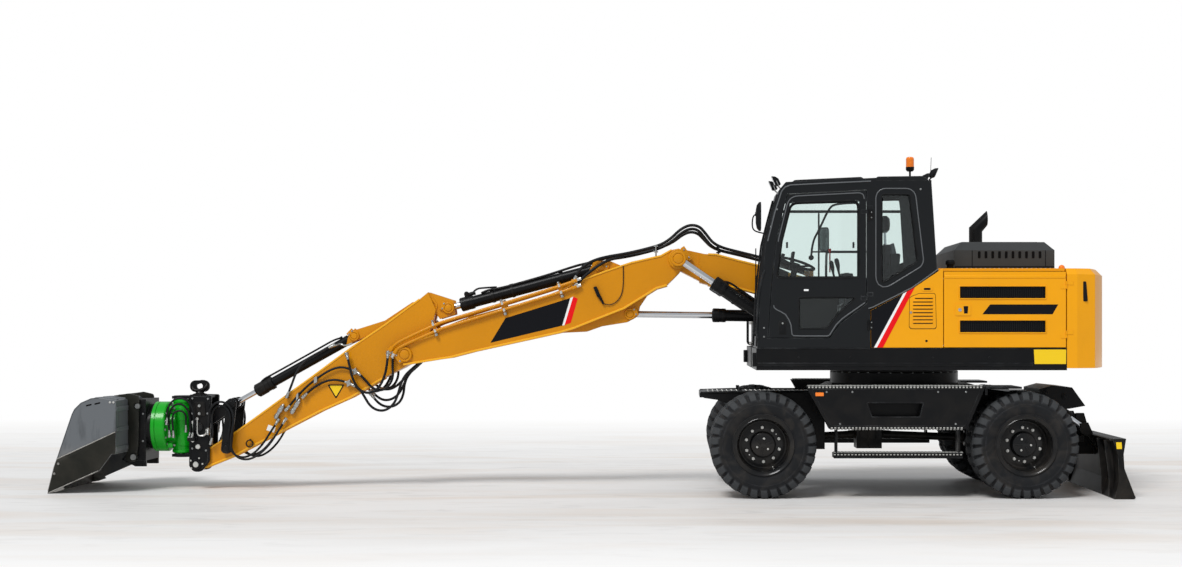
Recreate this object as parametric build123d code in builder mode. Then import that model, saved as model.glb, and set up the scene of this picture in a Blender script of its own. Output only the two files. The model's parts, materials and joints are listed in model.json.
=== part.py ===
from build123d import *
import math
import os

# Wheeled excavator with a two-piece boom, a tilting and rotating tool head and a
# grading bucket. Millimetres. X runs from the bucket (-) to the dozer blade (+),
# -Y is the driver's left side with the cab, Z is up from the ground.

os.makedirs("parts", exist_ok=True)

# ---- driving dimensions ----
HALF_WIDTH = 1250          # outer face of the tyres and of the blade
FRONT_AXLE_X = 1760
REAR_AXLE_X = 4310
TYRE_R = 520
TYRE_WIDTH = 260
TWIN_GAP = 60
RIM_SEAT_R = 285
RIM_BARREL_R = 245
KINGPIN_Y = 600
KINGPIN_R = 30
SLEW_X = 3170
SLEW_R = 640
DECK_BOTTOM = 1250
DECK_TOP = 1460
DECK_FRONT = 1690
DECK_REAR = 4700
HOUSE_HALF = 1237
HINGE_R = 6                # knuckles of the doors' hinges
HINGE_Y = HOUSE_HALF + 7   # distance of a hinge line from the centre plane
HINGE_HEIGHT = 36
DOOR_HINGE_X = 2762
ENGINE_HINGE_X = 4695
HOOD_HINGE = (4690, 2252)
BODY_TOP = 2240
TAIL_X = 5262
CAB_INNER_Y = -335
CAB_WALL = 45
RUNNING_GAP = 7            # side gap between pieces that turn on one pin
BOOM_HALF = 160
EAR = 25                   # thickness of a fork's side plate
ARM_HALF = BOOM_HALF - EAR - RUNNING_GAP
LIFT_Y = 240               # each lift cylinder's distance from the centre plane

# ---- pins of the working arm, as (x, z) ----
FOOT = (2716, 1920)
KNEE = (934, 2370)
ARM_PIN = (-1885, 1388)
TIP = (-4033, 256)
LIFT_BASE = (2197, 1525)
ADJUST_BASE = (2353, 1778)
ADJUST_EYE = (434, 1805)
ARM_CYL_BASE = (131, 2286)
ARM_CYL_EYE = (-1442, 1868)
BUCKET_CYL_BASE = (-2416, 1579)
ROCKER_PIN = (-3715, 424)
LINK_PIN = (-3663, 881)
HITCH_PIN = (-4010, 640)
TILT_X = -4215
ROTOR_Z = 640
LIFTING_EYE = (-4037, 1057)
LIFTING_EYE_R = 32

# ---- pins of the dozer blade's parallel links ----
BLADE_LOW_PIN = (4690, 470)
BLADE_HIGH_PIN = (4690, 790)
BLADE_LINK_RUN = (370, -50)
BLADE_CYL_BASE = (4695, 905)
BLADE_CYL_EYE = (5065, 650)
BLADE_PIN_R = 22
ARM_PIN_R = 45
TIP_PIN_R = 35
ROCKER_PIN_R = 35
BORE_GAP = 0.5             # added to a pin's radius for the bore that turns on it


# ---- helpers: each adds to the sub-part that is open when it is called ----
def plate(points, y_low, y_high, radius=0, mode=Mode.ADD):
    """A flat piece with the side outline points, between two Y planes."""
    with BuildSketch(Plane.XZ.offset(-y_high)) as outline:
        with BuildLine():
            FilletPolyline(*points, radius=radius, close=True)
        make_face()
    extrude(outline.sketch, amount=y_high - y_low, mode=mode)


def twin_plates(points, y_in, y_out, radius=0, mode=Mode.ADD):
    """The same flat piece on both sides of the centre plane."""
    plate(points, y_in, y_out, radius, mode)
    plate(points, -y_out, -y_in, radius, mode)


def slab(points, z_low, z_high, radius=0, mode=Mode.ADD):
    """A piece with the plan outline points, between two heights."""
    with BuildSketch(Plane.XY.offset(z_low)) as outline:
        with BuildLine():
            FilletPolyline(*points, radius=radius, close=True)
        make_face()
    extrude(outline.sketch, amount=z_high - z_low, mode=mode)


def block(x, y, z, mode=Mode.ADD):
    """A box from its (low, high) pairs."""
    with Locations(((x[0] + x[1]) / 2, (y[0] + y[1]) / 2, (z[0] + z[1]) / 2)):
        Box(x[1] - x[0], y[1] - y[0], z[1] - z[0], mode=mode)


def cross_pin(at, r, y_low, y_high, mode=Mode.ADD):
    """A round piece along Y, at = (x, z)."""
    with BuildSketch(Plane.XZ.offset(-y_high)) as disc:
        with Locations(at):
            Circle(r)
    extrude(disc.sketch, amount=y_high - y_low, mode=mode)


def bar(start, end, r, mode=Mode.ADD):
    """A round bar between two points (x, y, z)."""
    run = Vector(*end) - Vector(*start)
    with BuildSketch(Plane(origin=start, z_dir=run)) as disc:
        Circle(r)
    extrude(disc.sketch, amount=run.length, mode=mode)


def turned(at, profile):
    """A ring or disc turned about the line along Y through at = (x, z).

    The profile holds (y, radius) points.
    """
    centre = (at[0], 0, at[1])
    with BuildSketch(Plane(origin=centre, x_dir=(0, 1, 0), z_dir=(1, 0, 0))) as section:
        with BuildLine():
            Polyline(*profile, close=True)
        make_face()
    revolve(section.sketch, Axis(centre, (0, 1, 0)), 360)


def along(start, end, share, lift=0):
    """The point a share of the way between two (x, z) points, moved off the line."""
    dx, dz = end[0] - start[0], end[1] - start[1]
    size = math.hypot(dx, dz)
    return (start[0] + share * dx - lift * dz / size, start[1] + share * dz + lift * dx / size)


def towards(start, end, distance):
    """The point that far from start on the line to end."""
    return along(start, end, distance / math.dist(start, end))


def hinge_half(x_line, x_far, side, z_low):
    """Half of a door's hinge: a knuckle on the hinge line and the leaf that holds it."""
    y_line = side * HINGE_Y
    bar((x_line, y_line, z_low), (x_line, y_line, z_low + HINGE_HEIGHT), HINGE_R)
    block(sorted((x_line, x_far)), sorted((side * HOUSE_HALF, side * (HOUSE_HALF + 4))),
          (z_low, z_low + HINGE_HEIGHT))


def save(piece, label):
    piece.part.label = label
    export_step(piece.part, f"parts/{label}.step")


# ================= undercarriage =================
CHASSIS_HALF = 420
FRAME_TOP = 1095
FRAME_LOW = 740
TURRET_TOP = 1207
with BuildPart() as chassis_frame:
    # main box, narrow enough for the steered wheels to swing beside it
    plate([(1190, 950), (1190, 1010), (2350, 1010), (2500, FRAME_TOP), (3900, FRAME_TOP),
           (4200, 1010), (4620, 1010), (4620, 400), (4560, 400), (4560, FRAME_LOW),
           (2420, FRAME_LOW), (2420, 430), (2290, 430), (2290, FRAME_LOW), (2060, 860),
           (1500, 860), (1330, 930)], -CHASSIS_HALF, CHASSIS_HALF)
    # bumper bar of the platform between the steered wheels
    block((1150, 1192), (-CHASSIS_HALF, CHASSIS_HALF), (955, 1005))
    # gap that the propeller shaft passes through
    block((2280, 2430), (-70, 70), (420, 660), Mode.SUBTRACT)
    # turret under the slew ring
    with Locations((SLEW_X, 0, (FRAME_TOP + TURRET_TOP) / 2)):
        Cylinder(SLEW_R + 20, TURRET_TOP - FRAME_TOP)
    # rear brackets for the blade's links and for its cylinders
    twin_plates([(4600, 900), (4735, 900), (4745, 420), (4600, 420)], 150, 175)
    for y_in, y_out in ((262, 288), (372, 398)):
        twin_plates([(4610, 990), (4700, 960), (4745, 905), (4700, 850), (4610, 820)], y_in, y_out)
    for pin in (BLADE_LOW_PIN, BLADE_HIGH_PIN):
        for y_low, y_high in ((-222, -150), (150, 222)):
            cross_pin(pin, BLADE_PIN_R, y_low, y_high)
    # guard over the blade's links, open ahead of them so that the raised blade clears it
    twin_plates([(4600, 1010), (4735, 1076), (4930, 1057), (5064, 870), (4900, 840), (4600, 840)],
                405, 425)
    plate([(4600, 1008), (4600, 1040), (4735, 1076), (4930, 1057), (4926, 1036), (4735, 1055)],
          -410, 410)
save(chassis_frame, "chassis_frame")

BOX_OUTER = 1245
BOX_INNER = 955
with BuildPart() as side_steps:
    for side in (-1, 1):
        # closed step box with slanted ends; its front inner corner clears the steered wheel
        slab([(2170, side * BOX_OUTER), (3910, side * BOX_OUTER), (3910, side * 990),
              (3800, side * BOX_INNER), (3400, side * BOX_INNER), (3400, side * CHASSIS_HALF),
              (2900, side * CHASSIS_HALF), (2900, side * BOX_INNER), (2700, side * BOX_INNER),
              (2170, side * 1180)], 680, FRAME_TOP)
    for x_top, x_low, x_away in ((2170, 2400, 2000), (3910, 3730, 4100)):
        plate([(x_top, FRAME_TOP), (x_low, 680), (x_low, 600), (x_away, 600), (x_away, 1100)],
              -1300, 1300, mode=Mode.SUBTRACT)
    for side in (-1, 1):
        # foot hole in the outer face
        y_mid = side * BOX_OUTER
        plate([(2760, 936), (3310, 936), (3275, 795), (2810, 795)],
              min(y_mid, y_mid - side * 130), max(y_mid, y_mid - side * 130), mode=Mode.SUBTRACT)
        # lower step on two hangers
        block((2440, 3690), sorted((side * 1225, side * 1045)), (400, 445))
        for x in (2460, 3650):
            block((x, x + 20), sorted((side * 1200, side * 1070)), (445, 690))
    # plates behind the rear of the boxes, over the front of the rear wheels
    for side in (-1, 1):
        block((3910, 4260), sorted((side * 1240, side * 680)), (1070, 1090))
        block((3910, 3930), sorted((side * 1230, side * CHASSIS_HALF)), (1010, 1070))
save(side_steps, "side_steps")

with BuildPart() as front_axle:
    bar((FRONT_AXLE_X, -510, TYRE_R), (FRONT_AXLE_X, 510, TYRE_R), 95)
    with Locations((FRONT_AXLE_X, 0, TYRE_R)):
        Sphere(190)
    block((FRONT_AXLE_X - 90, FRONT_AXLE_X + 90), (-110, 110), (TYRE_R, 860))
    bar((FRONT_AXLE_X, 0, TYRE_R), (2120, 0, TYRE_R), 75)
    for side in (-1, 1):
        # fork that holds the kingpin above and below
        for z in (TYRE_R - 150, TYRE_R + 115):
            block((FRONT_AXLE_X - 60, FRONT_AXLE_X + 60), sorted((side * 490, side * 650)),
                  (z, z + 35))
        block((FRONT_AXLE_X - 60, FRONT_AXLE_X + 60), sorted((side * 470, side * 510)),
              (TYRE_R - 150, TYRE_R + 150))
        bar((FRONT_AXLE_X, side * KINGPIN_Y, 300), (FRONT_AXLE_X, side * KINGPIN_Y, 740),
            KINGPIN_R + 0.5, Mode.SUBTRACT)
save(front_axle, "front_axle")

with BuildPart() as rear_axle:
    bar((REAR_AXLE_X, -965, TYRE_R), (REAR_AXLE_X, 965, TYRE_R), 100)
    with Locations((REAR_AXLE_X, 0, TYRE_R)):
        Sphere(200)
    bar((REAR_AXLE_X, 0, TYRE_R), (3900, 0, TYRE_R), 80)
    for side in (-1, 1):
        block((REAR_AXLE_X - 90, REAR_AXLE_X + 90), sorted((side * 300, side * 400)),
              (TYRE_R, FRAME_LOW))
save(rear_axle, "rear_axle")

with BuildPart() as driveline:
    # transfer box and the two propeller shafts
    block((2770, 3030), (-150, 150), (420, FRAME_LOW))
    bar((2126, 0, TYRE_R + 5), (2780, 0, 560), 38)
    bar((3020, 0, 560), (3894, 0, TYRE_R + 5), 38)
save(driveline, "driveline")

for corner, side in (("left", -1), ("right", 1)):
    with BuildPart() as knuckle:
        cross = sorted((side * 545, side * 700))
        block((FRONT_AXLE_X - 55, FRONT_AXLE_X + 55), cross, (TYRE_R - 105, TYRE_R + 105))
        bar((FRONT_AXLE_X, side * KINGPIN_Y, TYRE_R - 190),
            (FRONT_AXLE_X, side * KINGPIN_Y, TYRE_R + 190), KINGPIN_R)
        bar((FRONT_AXLE_X, side * 700, TYRE_R), (FRONT_AXLE_X, side * 970, TYRE_R), 120)
    save(knuckle, f"knuckle_{corner}")

# twin wheels: two tyres on a common rim and hub, made at each corner
WHEEL_TABLE = (  # name, axle x, side
    ("front_left", FRONT_AXLE_X, -1),
    ("front_right", FRONT_AXLE_X, 1),
    ("rear_left", REAR_AXLE_X, -1),
    ("rear_right", REAR_AXLE_X, 1),
)
TYRE_OUT = HALF_WIDTH
TWIN_PITCH = TYRE_WIDTH + TWIN_GAP
for name, axle_x, side in WHEEL_TABLE:
    with BuildPart() as tyres:
        for outer in (TYRE_OUT, TYRE_OUT - TWIN_PITCH):
            inner = outer - TYRE_WIDTH
            turned((axle_x, TYRE_R), [(side * y, r) for y, r in (
                (inner + 30, RIM_SEAT_R + 0.5), (inner, 340), (inner, 440), (inner + 35, 505),
                (inner + 75, TYRE_R), (outer - 75, TYRE_R), (outer - 35, 505), (outer, 440),
                (outer, 340), (outer - 30, RIM_SEAT_R + 0.5))])
    save(tyres, f"tyres_{name}")
    with BuildPart() as rim:
        first, last = TYRE_OUT - TWIN_PITCH - TYRE_WIDTH + 12, TYRE_OUT - 12
        turned((axle_x, TYRE_R), [(side * y, r) for y, r in (
            (first, 260), (first, 283), (last, 283), (last, 260), (1080, RIM_BARREL_R),
            (1060, 120), (1120, 115), (1130, 0), (985, 0), (985, 125), (1035, 135),
            (1035, 258))])
    save(rim, f"rim_{name}")

# ================= dozer blade =================
def blade_shift(pin):
    return (pin[0] + BLADE_LINK_RUN[0], pin[1] + BLADE_LINK_RUN[1])


BLADE_LOW_END = blade_shift(BLADE_LOW_PIN)
BLADE_HIGH_END = blade_shift(BLADE_HIGH_PIN)
with BuildPart() as dozer_blade:
    # curved mouldboard over the full width
    plate([(5140, 587), (5270, 587), (5246, 434), (5254, 298), (5303, 169), (5363, 13), (5340, 0),
           (5160, 0), (5200, 170), (5190, 430)], -HALF_WIDTH, HALF_WIDTH)
    # carriage between the links' ends
    twin_plates([(5010, 370), (5010, 790), (5090, 790), (5150, 587), (5195, 430), (5195, 370)],
                225, 255)
    # lugs beside the cylinder rods' eyes
    for y_in, y_out in ((262, 288), (372, 398)):
        twin_plates([(5022, 690), (5100, 700), (5150, 587), (5195, 430), (5100, 560),
                     (5022, 600)], y_in, y_out)
    block((5010, 5050), (-398, 398), (505, 560))
    for pin in (BLADE_LOW_END, BLADE_HIGH_END):
        for y_low, y_high in ((-230, -180), (180, 230)):
            cross_pin(pin, BLADE_PIN_R, y_low, y_high)
save(dozer_blade, "dozer_blade")

with BuildPart() as blade_links_lower:
    twin_plates([along(BLADE_LOW_PIN, BLADE_LOW_END, -0.12, 45),
                 along(BLADE_LOW_PIN, BLADE_LOW_END, 1.12, 45),
                 along(BLADE_LOW_PIN, BLADE_LOW_END, 1.12, -45),
                 along(BLADE_LOW_PIN, BLADE_LOW_END, -0.12, -45)], 183, 218, 40)
    bar((BLADE_LOW_PIN[0] + 200, -185, BLADE_LOW_PIN[1] - 25),
        (BLADE_LOW_PIN[0] + 200, 185, BLADE_LOW_PIN[1] - 25), 35)
    for pin in (BLADE_LOW_PIN, BLADE_LOW_END):
        cross_pin(pin, BLADE_PIN_R + BORE_GAP, -230, 230, Mode.SUBTRACT)
save(blade_links_lower, "blade_links_lower")

with BuildPart() as blade_links_upper:
    twin_plates([along(BLADE_HIGH_PIN, BLADE_HIGH_END, -0.10, 38),
                 along(BLADE_HIGH_PIN, BLADE_HIGH_END, 1.10, 38),
                 along(BLADE_HIGH_PIN, BLADE_HIGH_END, 1.10, -38),
                 along(BLADE_HIGH_PIN, BLADE_HIGH_END, -0.10, -38)], 183, 218, 35)
    for pin in (BLADE_HIGH_PIN, BLADE_HIGH_END):
        cross_pin(pin, BLADE_PIN_R + BORE_GAP, -230, 230, Mode.SUBTRACT)
save(blade_links_upper, "blade_links_upper")


def at_side(point, y):
    """An (x, z) point as a point in space."""
    return (point[0], y, point[1])


def cylinder_barrel(base, eye, closed, r, rod_r, y_centre, eye_half):
    """A hydraulic cylinder's tube with its gland and base eye, closed long from its base pin."""
    gland = towards(base, eye, closed)
    head = towards(base, eye, closed - 2.2 * r)
    tube = towards(base, eye, 1.7 * r)
    bar(at_side(tube, y_centre), at_side(gland, y_centre), r)
    bar(at_side(head, y_centre), at_side(gland, y_centre), 1.18 * r)
    bar(at_side(towards(base, eye, 2.2 * r), y_centre), at_side(gland, y_centre), rod_r + 1,
        Mode.SUBTRACT)
    share = 1.9 * r / math.dist(base, eye)
    plate([along(base, eye, 0, 0.75 * r), along(base, eye, share, 0.75 * r),
           along(base, eye, share, -0.75 * r), along(base, eye, 0, -0.75 * r)],
          y_centre - eye_half, y_centre + eye_half)
    cross_pin(base, 0.95 * r, y_centre - eye_half, y_centre + eye_half)


def cylinder_rod(base, eye, start, r, y_centre, eye_half, eye_r):
    """A cylinder's rod from start inside the tube to its eye."""
    bar(at_side(towards(base, eye, start), y_centre), at_side(eye, y_centre), r)
    cross_pin(eye, eye_r, y_centre - eye_half, y_centre + eye_half)


BLADE_CYL_Y = 330
with BuildPart() as blade_cylinder_barrels:
    for side in (-1, 1):
        cylinder_barrel(BLADE_CYL_BASE, BLADE_CYL_EYE, 270, 48, 25, side * BLADE_CYL_Y, 35)
save(blade_cylinder_barrels, "blade_cylinder_barrels")

with BuildPart() as blade_cylinder_rods:
    for side in (-1, 1):
        cylinder_rod(BLADE_CYL_BASE, BLADE_CYL_EYE, 222, 25, side * BLADE_CYL_Y, 35, 42)
save(blade_cylinder_rods, "blade_cylinder_rods")

# ================= upper structure =================
with BuildPart() as house_deck:
    slab([(DECK_FRONT, -HOUSE_HALF), (DECK_REAR, -HOUSE_HALF), (DECK_REAR, HOUSE_HALF),
          (DECK_FRONT, HOUSE_HALF)], DECK_BOTTOM, DECK_TOP)
    # slot at the front for the adjusting cylinder when the boom is down
    block((DECK_FRONT - 10, 2085), (-105, 105), (DECK_BOTTOM - 10, DECK_TOP + 10), Mode.SUBTRACT)
    # upper race of the slewing ring
    with Locations((SLEW_X, 0, (1215 + DECK_BOTTOM) / 2)):
        Cylinder(SLEW_R, DECK_BOTTOM - 1215)
    # cheeks that hold the boom's foot pin
    twin_plates([(2280, DECK_TOP), (2560, 2030), (2870, 2030), (3150, DECK_TOP)],
                BOOM_HALF + RUNNING_GAP, BOOM_HALF + RUNNING_GAP + 30, (0, 120, 120, 0))
    # lugs that hold the lift cylinders
    for y_in, y_out in ((180, 205), (275, 300)):
        twin_plates([(2112, DECK_TOP), (2136, 1582), (2258, 1582), (2284, DECK_TOP)],
                    y_in, y_out, (0, 55, 55, 0))
save(house_deck, "house_deck")

ENGINE_HINGE_HEIGHTS = (1560, 2040)
with BuildPart() as counterweight:
    with BuildSketch(Plane.XY.offset(1270)) as plan:
        with BuildLine():
            Polyline((4990, 1160), (4800, HOUSE_HALF), (DECK_REAR, HOUSE_HALF),
                     (DECK_REAR, -HOUSE_HALF), (4800, -HOUSE_HALF), (4990, -1160))
            ThreePointArc((4990, -1160), (TAIL_X, 0), (4990, 1160))
        make_face()
    extrude(amount=BODY_TOP - 1270)
    chamfer(counterweight.faces().sort_by(Axis.Z)[-1].edges().sort_by(Axis.X)[1:], 60)
    block((DECK_REAR - 10, 4760), (-1100, 1100), (1200, DECK_TOP), Mode.SUBTRACT)
    for side in (-1, 1):
        for z_low in ENGINE_HINGE_HEIGHTS:
            hinge_half(ENGINE_HINGE_X, 4760, side, z_low + HINGE_HEIGHT + 2)
save(counterweight, "counterweight")

with BuildPart() as engine_block:
    block((3760, 4560), (-480, 420), (DECK_TOP, 2150))
save(engine_block, "engine_block")

HOOD_HINGE_SPOTS = (-560, 280)
with BuildPart() as engine_hood:
    slab([(3680, -760), (4680, -760), (4680, 520), (3680, 520)], BODY_TOP + 5, 2520)
    chamfer(engine_hood.faces().sort_by(Axis.Z)[-1].edges(), 85)
    offset(amount=-20, openings=engine_hood.faces().sort_by(Axis.Z)[0])
    for y_low in HOOD_HINGE_SPOTS:
        cross_pin(HOOD_HINGE, HINGE_R, y_low, y_low + HINGE_HEIGHT)
        block((4670, HOOD_HINGE[0]), (y_low, y_low + HINGE_HEIGHT), (2250, 2256))
save(engine_hood, "engine_hood")

with BuildPart() as exhaust_stack:
    bar((4138, 700, BODY_TOP), (4138, 700, 2720), 70)
    bar((4120, 700, 2690), (4300, 700, 2870), 70)
    block((4262, 4400), (600, 800), (2600, 3000), Mode.SUBTRACT)
save(exhaust_stack, "exhaust_stack")

CORNER_PANEL = [(2800, 1470), (2800, 1830), (3200, 2040), (3440, 2200), (3500, BODY_TOP),
                (3500, 1470)]
with BuildPart() as house_panels:
    # left corner panel below the cab's rear, front bulkhead and the deck over the engine
    plate(CORNER_PANEL, -HOUSE_HALF, -HOUSE_HALF + 40)
    block((3460, 3500), (-HOUSE_HALF + 40, HOUSE_HALF - 40), (DECK_TOP, BODY_TOP))
    slab([(3500, -HOUSE_HALF + 60), (4690, -HOUSE_HALF + 60), (4690, HOUSE_HALF - 60),
          (3500, HOUSE_HALF - 60)], BODY_TOP - 30, BODY_TOP)
    block((3720, 4640), (-720, 480), (BODY_TOP - 40, BODY_TOP + 10), Mode.SUBTRACT)
    for y_low in HOOD_HINGE_SPOTS:
        y_house = y_low + HINGE_HEIGHT + 2
        cross_pin(HOOD_HINGE, HINGE_R, y_house, y_house + HINGE_HEIGHT)
        block((4684, 4690), (y_house, y_house + HINGE_HEIGHT), (BODY_TOP - 5, HOOD_HINGE[1]))
save(house_panels, "house_panels")

with BuildPart() as right_tanks:
    # fuel and oil tanks on the right, with the tool locker ahead of them
    block((2500, 3455), (640, HOUSE_HALF), (DECK_TOP, 2200))
    block((1740, 2480), (760, HOUSE_HALF), (DECK_TOP, 1900))
save(right_tanks, "right_tanks")

for corner, side in (("left", -1), ("right", 1)):
    with BuildPart() as engine_door:
        block((3508, 4690), sorted((side * HOUSE_HALF, side * (HOUSE_HALF - 40))), (1472, 2205))
        for z_low in (1610, 1940):
            block((3655, 4500), sorted((side * (HOUSE_HALF + 5), side * (HOUSE_HALF - 25))),
                  (z_low, z_low + 130), Mode.SUBTRACT)
        for z_low in ENGINE_HINGE_HEIGHTS:
            hinge_half(ENGINE_HINGE_X, 4640, side, z_low)
    save(engine_door, f"engine_door_{corner}")

# ---- cab ----
CAB_OUTLINE = [(1698, 1465), (1730, 2029), (1785, 2514), (1911, 3000), (1975, 3075),
               (2853, 3116), (3335, 3121), (3388, 3058), (3440, 2242), (3440, 1465)]
CAB_INSIDE = [(1745, 1510), (1777, 2029), (1832, 2505), (1952, 2965), (1998, 3030),
              (2853, 3066), (3300, 3071), (3340, 3040), (3388, 2275), (3388, 1510)]
CAB_LEFT = -HOUSE_HALF
DOOR_WINDOW = [(1880, 2140), (1925, 2500), (2020, 2880), (2690, 2900), (2690, 2140)]
DOOR_LOW_WINDOW = [(2100, 1650), (2100, 1960), (2670, 1960), (2480, 1790), (2380, 1650)]
QUARTER_WINDOW = [(2900, 2960), (3180, 2960), (3260, 2300), (2900, 2080)]
RIGHT_WINDOW = [(1870, 2080), (1990, 2950), (3200, 2980), (3280, 2330), (2700, 2080)]
WINDSCREEN_Y = (CAB_LEFT + 90, CAB_INNER_Y - 90)
REAR_WINDOW_Y = (CAB_LEFT + 120, CAB_INNER_Y - 120)
PANE = 6                   # thickness of the window glass
DOOR_OPENING = [(1800, 1560), (1830, 2029), (1880, 2500), (1990, 2960), (2760, 3000),
                (2760, 1900), (2500, 1700), (2400, 1560)]
DOOR_HINGE_HEIGHTS = (1930, 2770)
with BuildPart() as cab_shell:
    plate(CAB_OUTLINE, CAB_LEFT, CAB_INNER_Y)
    plate(CAB_INSIDE, CAB_LEFT + CAB_WALL, CAB_INNER_Y - CAB_WALL, mode=Mode.SUBTRACT)
    # the wall steps in behind the house's corner panel
    plate([(2760, 1480), (2760, 1880), (3180, 2090), (3420, 2260), (3420, 1480)],
          CAB_LEFT + CAB_WALL - 5, CAB_LEFT + 2 * CAB_WALL)
    plate([(2792, 1460), (2792, 1838), (3200, 2052), (3450, 2220), (3450, 1460)],
          CAB_LEFT - 5, CAB_LEFT + CAB_WALL, mode=Mode.SUBTRACT)
    # door opening and rear quarter window on the left
    plate(DOOR_OPENING, CAB_LEFT - 10, CAB_LEFT + CAB_WALL + 5, mode=Mode.SUBTRACT)
    plate(QUARTER_WINDOW, CAB_LEFT - 10, CAB_LEFT + 2 * CAB_WALL + 5, 30, Mode.SUBTRACT)
    # right side window
    plate(RIGHT_WINDOW, CAB_INNER_Y - CAB_WALL - 5, CAB_INNER_Y + 10, 30, Mode.SUBTRACT)
    # windscreen and rear window
    block((1600, 2010), WINDSCREEN_Y, (1640, 2930), Mode.SUBTRACT)
    block((3250, 3500), REAR_WINDOW_Y, (2420, 2940), Mode.SUBTRACT)
    for z_low in DOOR_HINGE_HEIGHTS:
        hinge_half(DOOR_HINGE_X, 2820, -1, z_low + HINGE_HEIGHT + 2)
save(cab_shell, "cab_shell")

with BuildPart() as cab_glass:
    windscreen = [(1724, 1640), (1746, 2029), (1801, 2514), (1909, 2930)]
    plate(windscreen + [(x + PANE, z) for x, z in windscreen[::-1]], *WINDSCREEN_Y)
    plate([(3408, 2420), (3375, 2940), (3375 - PANE, 2940), (3408 - PANE, 2420)],
          *REAR_WINDOW_Y)
    plate(QUARTER_WINDOW, CAB_LEFT + 20, CAB_LEFT + 20 + PANE, 30)
    plate(RIGHT_WINDOW, CAB_INNER_Y - 20 - PANE, CAB_INNER_Y - 20, 30)
save(cab_glass, "cab_glass")

with BuildPart() as cab_door:
    plate([(1806, 1566), (1836, 2029), (1886, 2500), (1995, 2954), (2754, 2994),
           (2754, 1903), (2496, 1706), (2396, 1566)], CAB_LEFT, CAB_LEFT + CAB_WALL)
    plate(DOOR_WINDOW, CAB_LEFT - 5, CAB_LEFT + CAB_WALL + 5, 25, Mode.SUBTRACT)
    plate(DOOR_LOW_WINDOW, CAB_LEFT - 5, CAB_LEFT + CAB_WALL + 5, 15, Mode.SUBTRACT)
    for z_low in DOOR_HINGE_HEIGHTS:
        hinge_half(DOOR_HINGE_X, 2705, -1, z_low)
save(cab_door, "cab_door")

with BuildPart() as door_glass:
    plate(DOOR_WINDOW, CAB_LEFT + 20, CAB_LEFT + 20 + PANE, 25)
    plate(DOOR_LOW_WINDOW, CAB_LEFT + 20, CAB_LEFT + 20 + PANE, 15)
save(door_glass, "door_glass")

SEAT_Y = -790
with BuildPart() as seat_cushion:
    block((2510, 2960), (SEAT_Y - 240, SEAT_Y + 240), (1802, 1900))
save(seat_cushion, "seat_cushion")

with BuildPart() as seat_backrest:
    plate([(2905, 1905), (2945, 2500), (3030, 2500), (3035, 1905)], SEAT_Y - 230, SEAT_Y + 230)
save(seat_backrest, "seat_backrest")

with BuildPart() as cab_controls:
    # seat suspension, the two side consoles and the steering column
    block((2590, 2920), (SEAT_Y - 180, SEAT_Y + 180), (1510, 1800))
    for y_low, y_high in ((-1138, -1040), (-540, -430)):
        block((2560, 3050), (y_low, y_high), (1510, 2010))
    bar((2129, SEAT_Y, 1520), (2060, SEAT_Y, 2130), 45)
save(cab_controls, "cab_controls")

with BuildPart() as mirrors:
    block((1690, 1735), (-1210, -1080), (2605, 2885))
    bar((1797, -1150, 2575), (1710, -1150, 2600), 10)
    block((2484, 2590), (1098, 1130), (2500, 2770))
    bar((2479, 1113, 1901), (2479, 1113, 2915), 10)
save(mirrors, "mirrors")

with BuildPart() as roof_lights:
    for x, z in ((1880, 3090), (3400, 3170)):
        block((x, x + 60), (-1130, -1010), (z - 40, z + 80))
        block((x, x + 60), (-560, -440), (z - 40, z + 80))
    with Locations((3248, -700, 3246)):
        Cylinder(45, 248)
save(roof_lights, "roof_lights")

# ================= boom =================
with BuildPart() as base_boom:
    plate([(1150, 2130), (1240, 2105), (1525, 2079), (1762, 2016), (2700, 1800), (2836, 1900),
           (2780, 2030), (1778, 2300), (1557, 2355), (1321, 2418), (1150, 2425)],
          -BOOM_HALF, BOOM_HALF, (0, 0, 0, 0, 100, 40, 100, 0, 0, 0, 0))
    plate([(1200, 2120), (958, 2245), (820, 2330), (860, 2470), (990, 2470), (1200, 2425)],
          -ARM_HALF, ARM_HALF, (0, 0, 60, 60, 0, 0))
    # bracket under the boom for the adjusting cylinder
    twin_plates([(2250, 1930), (2250, 1740), (2420, 1700), (2500, 1880)], 70, 95, (0, 40, 40, 0))
    cross_pin(FOOT, 60, -165, 165)
    # bulkhead that the hoses over the knee end in
    block((2290, 2330), (-95, 95), (2130, 2280))
save(base_boom, "base_boom")

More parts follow.
